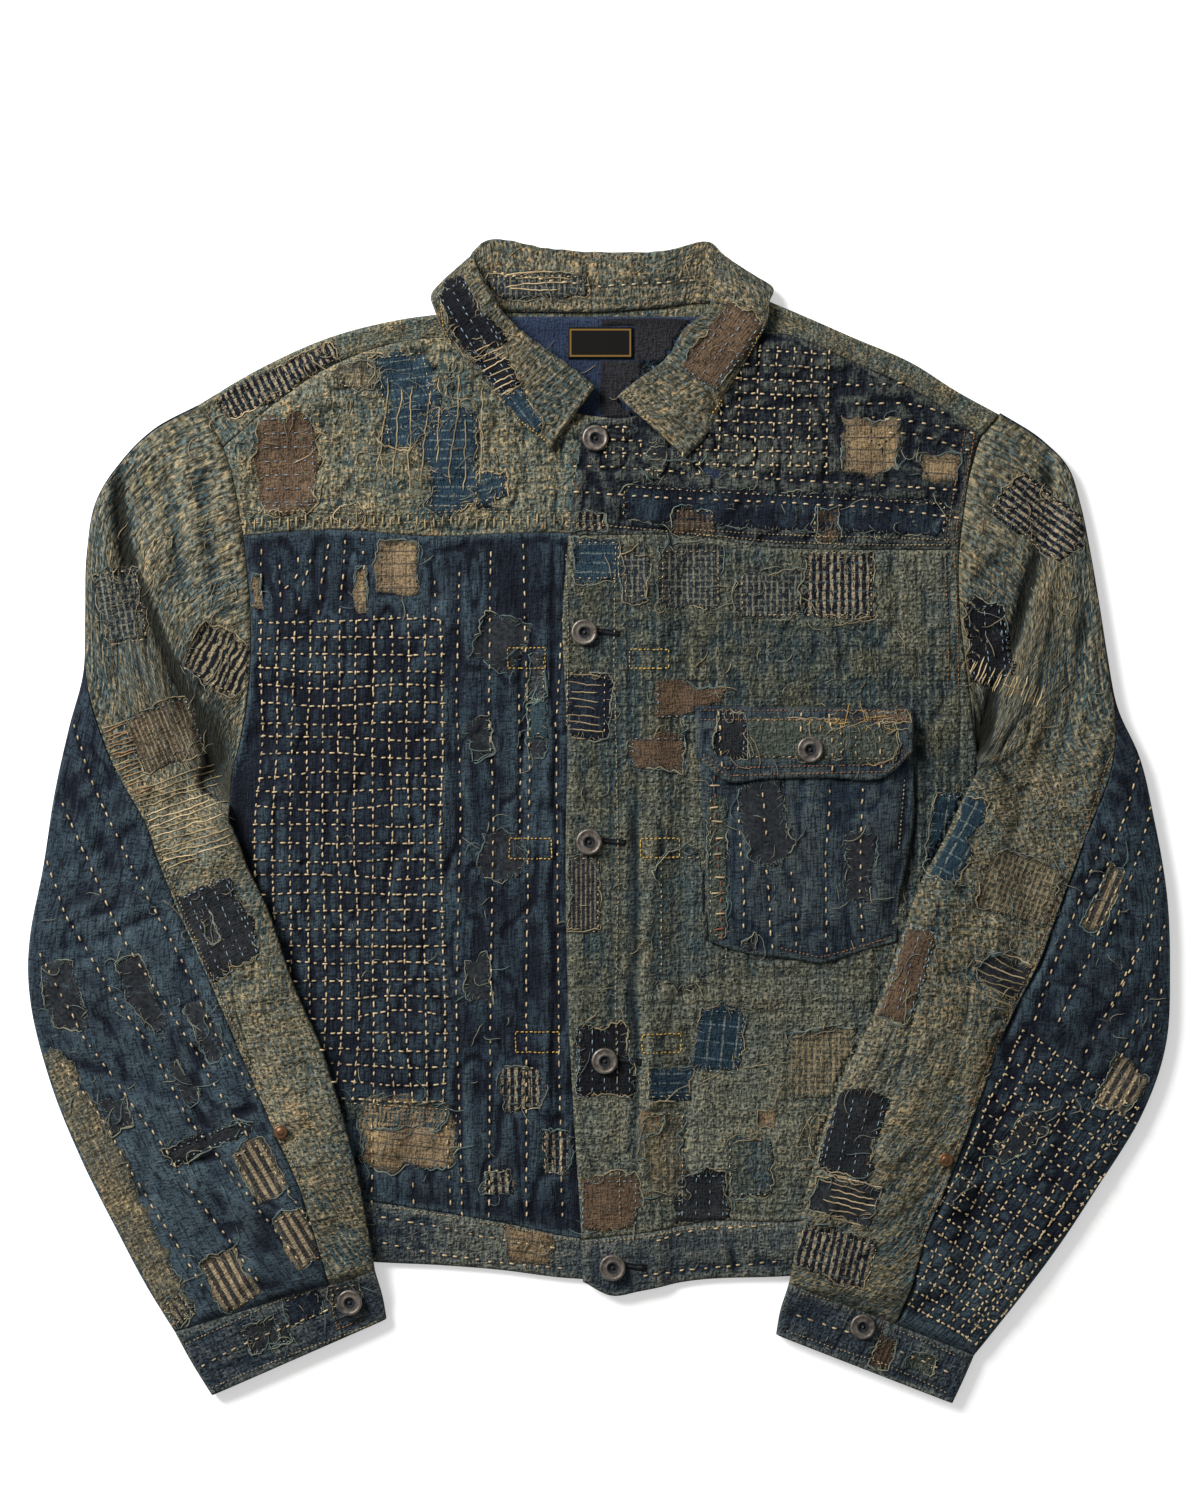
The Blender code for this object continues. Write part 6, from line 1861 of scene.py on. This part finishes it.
def fray_rim(layer, ground, chance, name, outline, looks):
    """The torn edge of the cloth round a scrap: yarn curling along it and fibres across it."""
    count = len(outline)
    middle = outline.mean(axis=0)
    for _ in range(2):
        spot = int(chance.integers(count))
        while spot < 2.1 * count:
            length = int(chance.integers(5, 16))
            places = np.arange(spot, spot + length) % count
            flat = outline[places] + 0.45 * chance.normal(size=(length, 2))
            flat = flat + 1.1 * chance.normal() * (flat - middle) / 40
            spot += length + int(chance.integers(0, 5))
            if spot < 2.1 * count and ground.belongs(*flat.T, name).all():
                look = looks[chance.integers(len(looks))]
                add_strand(layer, name, look, *laid_yarn(ground, flat, 0.38 + 0.2 * chance.random(),
                                                         1.2 * chance.random() ** 2))
                spot += count // 2
    for place in outline:
        spot = place + 0.4 * chance.normal(size=2)
        if ground.belongs(*spot, name):
            look = looks[chance.integers(len(looks))]
            inward = middle - spot
            degrees = math.degrees(math.atan2(inward[1], inward[0])) + 40 * chance.normal()
            length = 1.8 + 4.5 * chance.random() ** 3
            add_strand(layer, name, look, *loose_end(ground, chance, spot, degrees, length, 0.2, 0.2))
    for _ in range(count // 16):
        spot = outline[chance.integers(count)]
        look = looks[chance.integers(len(looks))]
        if ground.belongs(*spot, name):
            add_strand(layer, name, look, *loose_end(ground, chance, spot, 360 * chance.random(),
                                                     8 + 14 * chance.random(), 0.30, 1.2, 0.26))


def make_patches(ground):
    """Every scrap and worn hole, gathered into one object for each piece they are sewn to."""
    layer = {}
    patches, holes = scraps()
    for name, look, box, raggedness, seed in patches + holes:
        lie = HOLE_LIE if look == "hollow" else PATCH_LIE
        lay_patch(layer, ground, name, look, box, raggedness, seed, *lie)
    for seed, (name, x, y) in enumerate(entries(BUTTONHOLES), BUTTONHOLE_SEED):
        # Each buttonhole: a black denim surround, and a slit in the hollows' charcoal as painted shade.
        for look, box, lift in (("black_denim", (x + 1, y, 15, 4.6, -6), 0.4),
                                ("hollow", (x, y, 12, 2, -6), 0.6)):
            lay_patch(layer, ground, name, look, box, 0.4, seed, lift, 0.5, 1.2)
    return [make_piece(f"patches_on_{name}", layer[name]) for name in sorted(layer)]


# Stitches round a scrap and dashes across it: pitch, length, radius of the thread
SCRAP_HEM = (4.6, 2, 0.34)
SCRAP_DASH = (5.4, 3, 0.32)
DASH_SPACING = 8
# How far the stitches round a scrap stay from its corners and from its edge
HEM_INSET = (2.6, 2.2)


def make_stitches(ground):
    chance = np.random.default_rng(12)
    layer = {}
    for name, thread, pitch, length, points in stitch_lines():
        radius = bpy.context.scene.boro_cloth.stitch_radius / MM * (1 if length > 2.6 else 0.7)
        sew(layer, ground, chance, name, thread, points, pitch, length, radius)
    for name, look, (x, y, width, height, degrees), raggedness, number in scraps()[0]:
        thread = PATCH_THREAD.get(look, "cream")
        if raggedness < LEAST_RAGGEDNESS:
            continue
        for side in range(4):
            turn = degrees + 90 * side
            reach, half = 0.5 * np.array((width, height) if side % 2 == 0 else (height, width)) - HEM_INSET
            points = np.array([turned(-reach, half, turn), turned(reach, half, turn)]) + (x, y)
            if (number + side) % 3:
                sew(layer, ground, chance, name, thread, points, *SCRAP_HEM)
        if look in DASHED.get(name, ()):
            rows = int(width / DASH_SPACING)
            for across in (np.arange(rows) + 0.5) * width / rows - 0.5 * width:
                ends = [turned(across, share * height, degrees) for share in (0.42, -0.42)]
                sew(layer, ground, chance, name, thread, np.array(ends) + (x, y), *SCRAP_DASH)
    return make_layer("stitches", layer)


YARN_RADIUS = 0.36
LADDER_RADIUS = 0.45


def make_yarn(ground):
    chance = np.random.default_rng(34)
    layer = {}
    for name, look, x, y, width, height, degrees, pitch in entries(LADDERS):
        for row in np.arange(-0.5 * height, 0.5 * height, pitch):
            thread = look if chance.random() < 0.6 else "beige"
            start = -0.5 * width * (1 - 0.3 * abs(chance.normal()))
            end = 0.5 * width * (1 - 0.3 * abs(chance.normal()))
            if end - start < 4:
                continue
            across = np.arange(start, end, 2.4)
            sway = np.cumsum(0.35 * chance.normal(size=len(across)))
            flat = turned(across, row + 0.5 * chance.normal() + sway - sway.mean(), degrees)
            flat = np.column_stack(flat) + (x, y)
            flat = flat[ground.belongs(*flat.T, name)]
            if len(flat) >= 3:
                path = np.column_stack([flat, ground.at(*flat.T) + 0.25])
                add_strand(layer, name, thread, *tube(path, LADDER_RADIUS, 4))
    for name, look, x, y, width, height, count, longest in entries(FRAYS):
        for _ in range(count):
            spot = np.array([x + width * (chance.random() - 0.5), y + height * (chance.random() - 0.5)])
            if ground.belongs(*spot, name):
                length = longest * (0.25 + 0.75 * chance.random() ** 2)
                way = YARN_WAY.get(name, 90) + 90 * int(chance.integers(4)) + 24 * chance.normal()
                thick = YARN_RADIUS * (0.45 + 0.6 * chance.random())
                lift = 0.4 + 1.2 * chance.random() ** 3
                add_strand(layer, name, look,
                           *loose_end(ground, chance, spot, way, length, thick, lift, 0.34))
    patches, holes = scraps()
    for name, _, box, raggedness, seed in holes + patches:
        if raggedness >= LEAST_RAGGEDNESS:
            looks = HOST_YARN.get(name, ("sage", "beige"))
            fray_rim(layer, ground, chance, name, scrap_outline(box, raggedness, seed), looks)
    return make_layer("yarn", layer)


PATCH_THREAD = {
    "brown_cotton": "sky", "charcoal_cotton": "sky", "black_denim": "sky", "blue_cotton": "cream",
    "tan_plaid": "charcoal", "tan_check": "charcoal", "tan_cotton": "rust", "brown_pinstripe": "sky",
    "blue_window": "sky",
}
# Scraps with rows of blue dashes, on each piece
DASHED = {
    "right_front_yoke": ("brown_cotton",), "left_front": ("black_denim", "charcoal_cotton"),
    "left_sleeve_front": ("brown_cotton", "black_denim", "charcoal_cotton"),
    "right_sleeve_front": ("charcoal_cotton",), "collar": ("brown_cotton", "black_denim"),
}
# Yarn that frays out of each piece, where it is not sage and beige
HOST_YARN = {
    "right_front": ("teal", "sage", "teal"), "left_front": ("sage", "teal", "beige"),
    "right_front_yoke": ("beige", "sage", "cream"), "back_yoke": ("beige", "cream"),
    "left_front_yoke": ("teal", "sage"), "pocket": ("sage", "teal"), "right_cuff": ("teal", "sage"),
    "left_cuff": ("teal", "sage"), "right_sleeve_back": ("teal", "sage"),
    "left_sleeve_back": ("teal", "sage"), "right_sleeve_front": ("sage", "beige", "sage"),
    "left_sleeve_front": ("sage", "beige", "teal"),
}
# Which way each piece's yarn runs, in degrees, where it is not upright
YARN_WAY = {
    "right_sleeve_front": 64, "right_sleeve_back": 62, "left_sleeve_front": 116,
    "left_sleeve_back": 118, "right_cuff": 112, "left_cuff": 66,
}


# ---- buttons and rivets

# Rings raised one after another from the rim inwards: outward step as a share of the radius, rise as
# a share of the height. The button has a rolled rim, a dished ring and a small tack head; the rivet a
# low rim, a flat washer and a raised centre.
BUTTON_RINGS = (
    (0.2, 0.14), (0.02, 0.22), (-0.04, 0.24), (-0.08, 0.18), (-0.08, -0.06), (-0.06, -0.1), (-0.18, 0.02),
    (-0.12, 0.08), (-0.08, 0.02), (-0.06, -0.1), (-0.02, -0.34), (-0.16, -0.04), (-0.02, 0.3),
    (-0.06, 0.06), (-0.04, 0),
)
RIVET_RINGS = (
    (0.04, 0.2), (0, 0.25), (-0.1, 0.2), (-0.14, 0), (-0.24, -0.08), (-0.06, 0.24), (-0.1, 0.14),
    (-0.12, 0.05),
)
# Shares of the button's radius between which its dish and centre hole are painted dark as shade
PAINTED_DISH_SHADE = (0.07, 0.42)
# Rivets stand this much higher than their solids, on cloth raised between its creases
RIVET_LIFT = 3.4


def pressed_metal(name, rings, first, radius, height):
    """A round pressed pattern, its rings extruded upwards from a disc of the first width."""
    bpy.ops.object.select_all(action="DESELECT")
    bpy.ops.mesh.primitive_circle_add(vertices=36, radius=radius * first, fill_type="NGON",
                                      location=(0, 0, 0))
    made = bpy.context.object
    made.name = name
    bpy.ops.object.mode_set(mode="EDIT")
    bpy.ops.mesh.select_all(action="SELECT")
    width = first
    for outward, rise in rings:
        bpy.ops.mesh.extrude_region_move(
            TRANSFORM_OT_translate={"value": (0, 0, rise * height)})
        scale = (width + outward) / width
        bpy.ops.transform.resize(value=(scale, scale, 1), center_override=(0, 0, 0))
        width += outward
    bpy.ops.mesh.select_all(action="SELECT")
    bpy.ops.mesh.normals_make_consistent(inside=False)
    bpy.ops.object.mode_set(mode="OBJECT")
    bpy.ops.object.shade_smooth()
    return made


def seat(pattern, node, look):
    """A copy of a pattern, with its own mesh, put where the node's solid stands."""
    low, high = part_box(node)
    copy = pattern.copy()
    copy.data = pattern.data.copy()
    copy.name = node + "_metal"
    copy.data.name = copy.name
    bpy.context.scene.collection.objects.link(copy)
    lift = RIVET_LIFT * MM if look == "aged_copper" else 0
    middle = Vector((0.5 * (low[0] + high[0]), 0.5 * (low[1] + high[1]), low[2] + lift))
    scale = 0.5 * (high[0] - low[0]) / max(vertex.co.x for vertex in pattern.data.vertices)
    for vertex in copy.data.vertices:
        vertex.co = Vector((vertex.co.x * scale, vertex.co.y * scale, vertex.co.z)) + middle
    copy.data.materials.clear()
    # The dish and hole of a button take the hollows' charcoal as painted shade.
    for coat in (look, "hollow"):
        copy.data.materials.append(finish(coat))
    for face in copy.data.polygons:
        away = (face.center - middle).xy.length / (0.5 * (high[0] - low[0]))
        if look == "aged_steel" and PAINTED_DISH_SHADE[0] < away < PAINTED_DISH_SHADE[1]:
            face.material_index = 1
    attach(copy, "root")
    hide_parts(node)


def make_fastenings():
    button = pressed_metal("button_pattern", BUTTON_RINGS, 0.80, BUTTON_RADIUS * MM, BUTTON_HEIGHT * MM)
    rivet = pressed_metal("rivet_pattern", RIVET_RINGS, 0.96, RIVET_RADIUS * MM, RIVET_HEIGHT * MM)
    for number in range(1, 6):
        seat(button, f"front_button_{number}", "aged_steel")
    for node in ("pocket_button", "right_cuff_button", "left_cuff_button"):
        seat(button, node, "aged_steel")
    for node in ("right_sleeve_rivet", "left_sleeve_rivet"):
        seat(rivet, node, "aged_copper")
    for pattern in (button, rivet):
        mesh = pattern.data
        bpy.data.objects.remove(pattern)
        bpy.data.meshes.remove(mesh)


# ---- studio

# In metres: from the middle of the floor to its edges, and from it up to the jacket
FLOOR_REACH = 14
FLOOR_GAP = 0.0005


def make_stage():
    """Pale floor, a broad soft light from the upper left, an even sky and a camera overhead."""
    settings = bpy.context.scene.boro_studio
    mesh = bpy.data.meshes.new("floor")
    corners = [(x * FLOOR_REACH, y * FLOOR_REACH, -FLOOR_GAP)
               for x, y in ((-1, -1), (1, -1), (1, 1), (-1, 1))]
    mesh.from_pydata(corners, [], [(0, 1, 2, 3)])
    mesh.materials.append(finish("floor"))
    add_object("floor", mesh)

    world = bpy.data.worlds.new("studio sky")
    bpy.context.scene.world = world
    world.use_nodes = True
    tree = world.node_tree
    seen = add_node(tree, "LightPath", {}, "Is Camera Ray")
    strength = add_node(tree, "MapRange", {
        "Value": seen, "To Min": settings.sky_strength, "To Max": 1})
    sky = tree.nodes["Background"]
    sky.inputs["Color"].default_value = (1, 1, 1, 1)
    tree.links.new(strength, sky.inputs["Strength"])

    lamp = bpy.data.lights.new("softbox", "AREA")
    lamp.shape = "SQUARE"
    lamp.size = settings.softbox_size
    lamp.energy = settings.softbox_power
    softbox = add_object("softbox", lamp)
    softbox.location = (-1.5, 1.3, 1.35)
    softbox.rotation_euler = softbox.location.to_track_quat("Z", "Y").to_euler()

    lens = bpy.data.cameras.new("camera")
    lens.sensor_width = 36
    lens.sensor_fit = "HORIZONTAL"
    lens.lens = 85
    camera = add_object("camera", lens)
    camera.location = settings.camera_place
    bpy.context.scene.camera = camera
    bpy.context.scene.view_settings.view_transform = "Standard"


# ---- each sheet's cut

# Each cloth piece: what it is made of, its slot, what it rests on
CLOTHS = {
    "back": ("washed_denim", "body_cloth"),
    "back_waistband": ("band_denim", "band_cloth"),
    "back_yoke": ("teal_beige_slub", "yoke_cloth"),
    "right_front": ("washed_denim", "body_cloth", "back"),
    "left_front": ("olive_teal_slub", "left_front_cloth", "back", "right_front"),
    "right_front_yoke": ("teal_beige_slub", "yoke_cloth", "back_yoke"),
    "left_front_yoke": ("deep_denim", "left_yoke_cloth", "back_yoke", "right_front_yoke"),
    "right_waistband": ("band_denim", "band_cloth", "back_waistband"),
    "left_waistband": ("band_denim", "band_cloth", "back_waistband", "right_waistband"),
    "collar": ("collar_slub", "collar_cloth", "right_front_yoke", "left_front_yoke"),
    "neck_lining": ("lining_cotton", "lining_cloth", "back_yoke"),
    "neck_label": ("label_satin", "label_cloth", "neck_lining"),
    "right_sleeve_front": ("brown_teal_slub", "sleeve_cloth", "right_front"),
    "right_sleeve_back": ("washed_denim", "body_cloth"),
    "left_sleeve_front": ("brown_teal_slub", "sleeve_cloth", "left_front"),
    "left_sleeve_back": ("washed_denim", "body_cloth"),
    "right_cuff": ("band_denim", "band_cloth"),
    "left_cuff": ("band_denim", "band_cloth"),
    "pocket": ("pocket_denim", "pocket_cloth", "left_front"),
    "pocket_flap": ("pocket_denim", "pocket_cloth", "left_front", "pocket"),
}


def declare_sheets():
    """Works out the size each cloth piece was cut to, its length stretched where it would not
    cover the piece's area; nothing further is done with it.
    """
    for name, (_, _, *rests_on) in CLOTHS.items():
        cloth = bpy.data.objects[name + "_cloth"]
        area = cloth["flat_area"]
        width, length = cloth["flat_size"]
        if width * length < area:
            length = area / width


# ---- add-on

class BoroCloth(bpy.types.PropertyGroup):
    """Sizes of the cloth's relief and stitching."""

    crease_depth: bpy.props.FloatProperty(
        name="Crease depth", description="Multiplies the depth of every crease", default=1.3, min=0)
    pucker_depth: bpy.props.FloatProperty(
        name="Pucker depth", description="Multiplies the height of the fine puckers", default=1,
        min=0)
    stitch_radius: bpy.props.FloatProperty(
        name="Stitch radius", description="Half the thickness of the sashiko thread", default=0.00058,
        min=0.0001, subtype="DISTANCE", unit="LENGTH")


class BoroStudio(bpy.types.PropertyGroup):
    """Light and camera of the studio."""

    sky_strength: bpy.props.FloatProperty(
        name="Sky strength", description="Even light from all round", default=0.26, min=0)
    softbox_power: bpy.props.FloatProperty(
        name="Softbox power", description="Power of the broad light", default=92, min=0,
        subtype="POWER", unit="POWER")
    softbox_size: bpy.props.FloatProperty(
        name="Softbox size", description="Side of the square light", default=1, min=0.1,
        subtype="DISTANCE", unit="LENGTH")
    camera_place: bpy.props.FloatVectorProperty(
        name="Camera", description="Camera's place over the jacket", default=(0, 0.0467, 1.822),
        subtype="TRANSLATION", unit="LENGTH")


def cloth_pieces():
    """The finished cloth shells, in order of name."""
    return [bpy.data.objects[name + "_cloth"] for name in sorted(CLOTHS)]


class BORO_OT_body(bpy.types.Operator):
    """Make the back, fronts, yokes and waistbands"""

    bl_idname = "boro.body"
    bl_label = "Body"

    def execute(self, context):
        make_back()
        make_back_yoke()
        make_front_yokes()
        make_fronts()
        make_waistbands()
        return {"FINISHED"}


class BORO_OT_collar(bpy.types.Operator):
    """Make the collar, neck lining and label"""

    bl_idname = "boro.collar"
    bl_label = "Collar and lining"

    def execute(self, context):
        make_collar()
        make_lining()
        return {"FINISHED"}


class BORO_OT_sleeves(bpy.types.Operator):
    """Make both sleeves, each of two pieces, and their cuffs"""

    bl_idname = "boro.sleeves"
    bl_label = "Sleeves and cuffs"

    def execute(self, context):
        make_sleeves()
        make_cuffs()
        return {"FINISHED"}


class BORO_OT_pocket(bpy.types.Operator):
    """Make the patch pocket and its flap"""

    bl_idname = "boro.pocket"
    bl_label = "Pocket and flap"

    def execute(self, context):
        make_pocket()
        return {"FINISHED"}


class BORO_OT_patches(bpy.types.Operator):
    """Lay the scraps and worn holes on the finished cloth"""

    bl_idname = "boro.patches"
    bl_label = "Patches and holes"

    def execute(self, context):
        if not make_patches(Ground(cloth_pieces())):
            raise RuntimeError("no patch lies on its piece")
        return {"FINISHED"}


class BORO_OT_threads(bpy.types.Operator):
    """Sew the stitches and lay the loose and laddered yarn"""

    bl_idname = "boro.threads"
    bl_label = "Stitches and loose yarn"

    def execute(self, context):
        patches = [other for other in bpy.data.objects if other.name.startswith("patches_on_")]
        ground = Ground(cloth_pieces() + patches)
        if not make_stitches(ground):
            raise RuntimeError("no stitch lies on its piece")
        make_yarn(ground)
        return {"FINISHED"}


class BORO_OT_fastenings(bpy.types.Operator):
    """Model the tack buttons and rivets and seat a copy in each place"""

    bl_idname = "boro.fastenings"
    bl_label = "Buttons and rivets"

    def execute(self, context):
        make_fastenings()
        return {"FINISHED"}


class BORO_OT_cuts(bpy.types.Operator):
    """Work out the size each sheet of cloth was cut to"""

    bl_idname = "boro.cuts"
    bl_label = "Cut of each piece"

    def execute(self, context):
        declare_sheets()
        return {"FINISHED"}


class BORO_OT_stage(bpy.types.Operator):
    """Set up the floor, light and camera"""

    bl_idname = "boro.stage"
    bl_label = "Studio"

    def execute(self, context):
        make_stage()
        return {"FINISHED"}


STEPS = (BORO_OT_body, BORO_OT_collar, BORO_OT_sleeves, BORO_OT_pocket, BORO_OT_patches,
         BORO_OT_threads, BORO_OT_fastenings, BORO_OT_cuts, BORO_OT_stage)


class BORO_PT_panel(bpy.types.Panel):
    """Lists the jacket's steps in the sidebar"""

    bl_label = "Boro jacket"
    bl_idname = "BORO_PT_panel"
    bl_space_type = "VIEW_3D"
    bl_region_type = "UI"
    bl_category = "Boro jacket"

    def draw(self, context):
        for group in (context.scene.boro_cloth, context.scene.boro_studio):
            for name in group.bl_rna.properties.keys():
                if name not in {"rna_type", "name"}:
                    self.layout.prop(group, name)
        for step in STEPS:
            self.layout.operator(step.bl_idname)


CLASSES = (BoroCloth, BoroStudio, *STEPS, BORO_PT_panel)


def register():
    for kind in CLASSES:
        bpy.utils.register_class(kind)
    bpy.types.Scene.boro_cloth = bpy.props.PointerProperty(type=BoroCloth)
    bpy.types.Scene.boro_studio = bpy.props.PointerProperty(type=BoroStudio)


def unregister():
    del bpy.types.Scene.boro_studio
    del bpy.types.Scene.boro_cloth
    for kind in reversed(CLASSES):
        bpy.utils.unregister_class(kind)


def main():
    register()
    bpy.ops.boro.body()
    bpy.ops.boro.collar()
    bpy.ops.boro.sleeves()
    bpy.ops.boro.pocket()
    bpy.ops.boro.patches()
    bpy.ops.boro.threads()
    bpy.ops.boro.fastenings()
    bpy.ops.boro.cuts()
    bpy.ops.boro.stage()


if __name__ == "__main__":
    main()
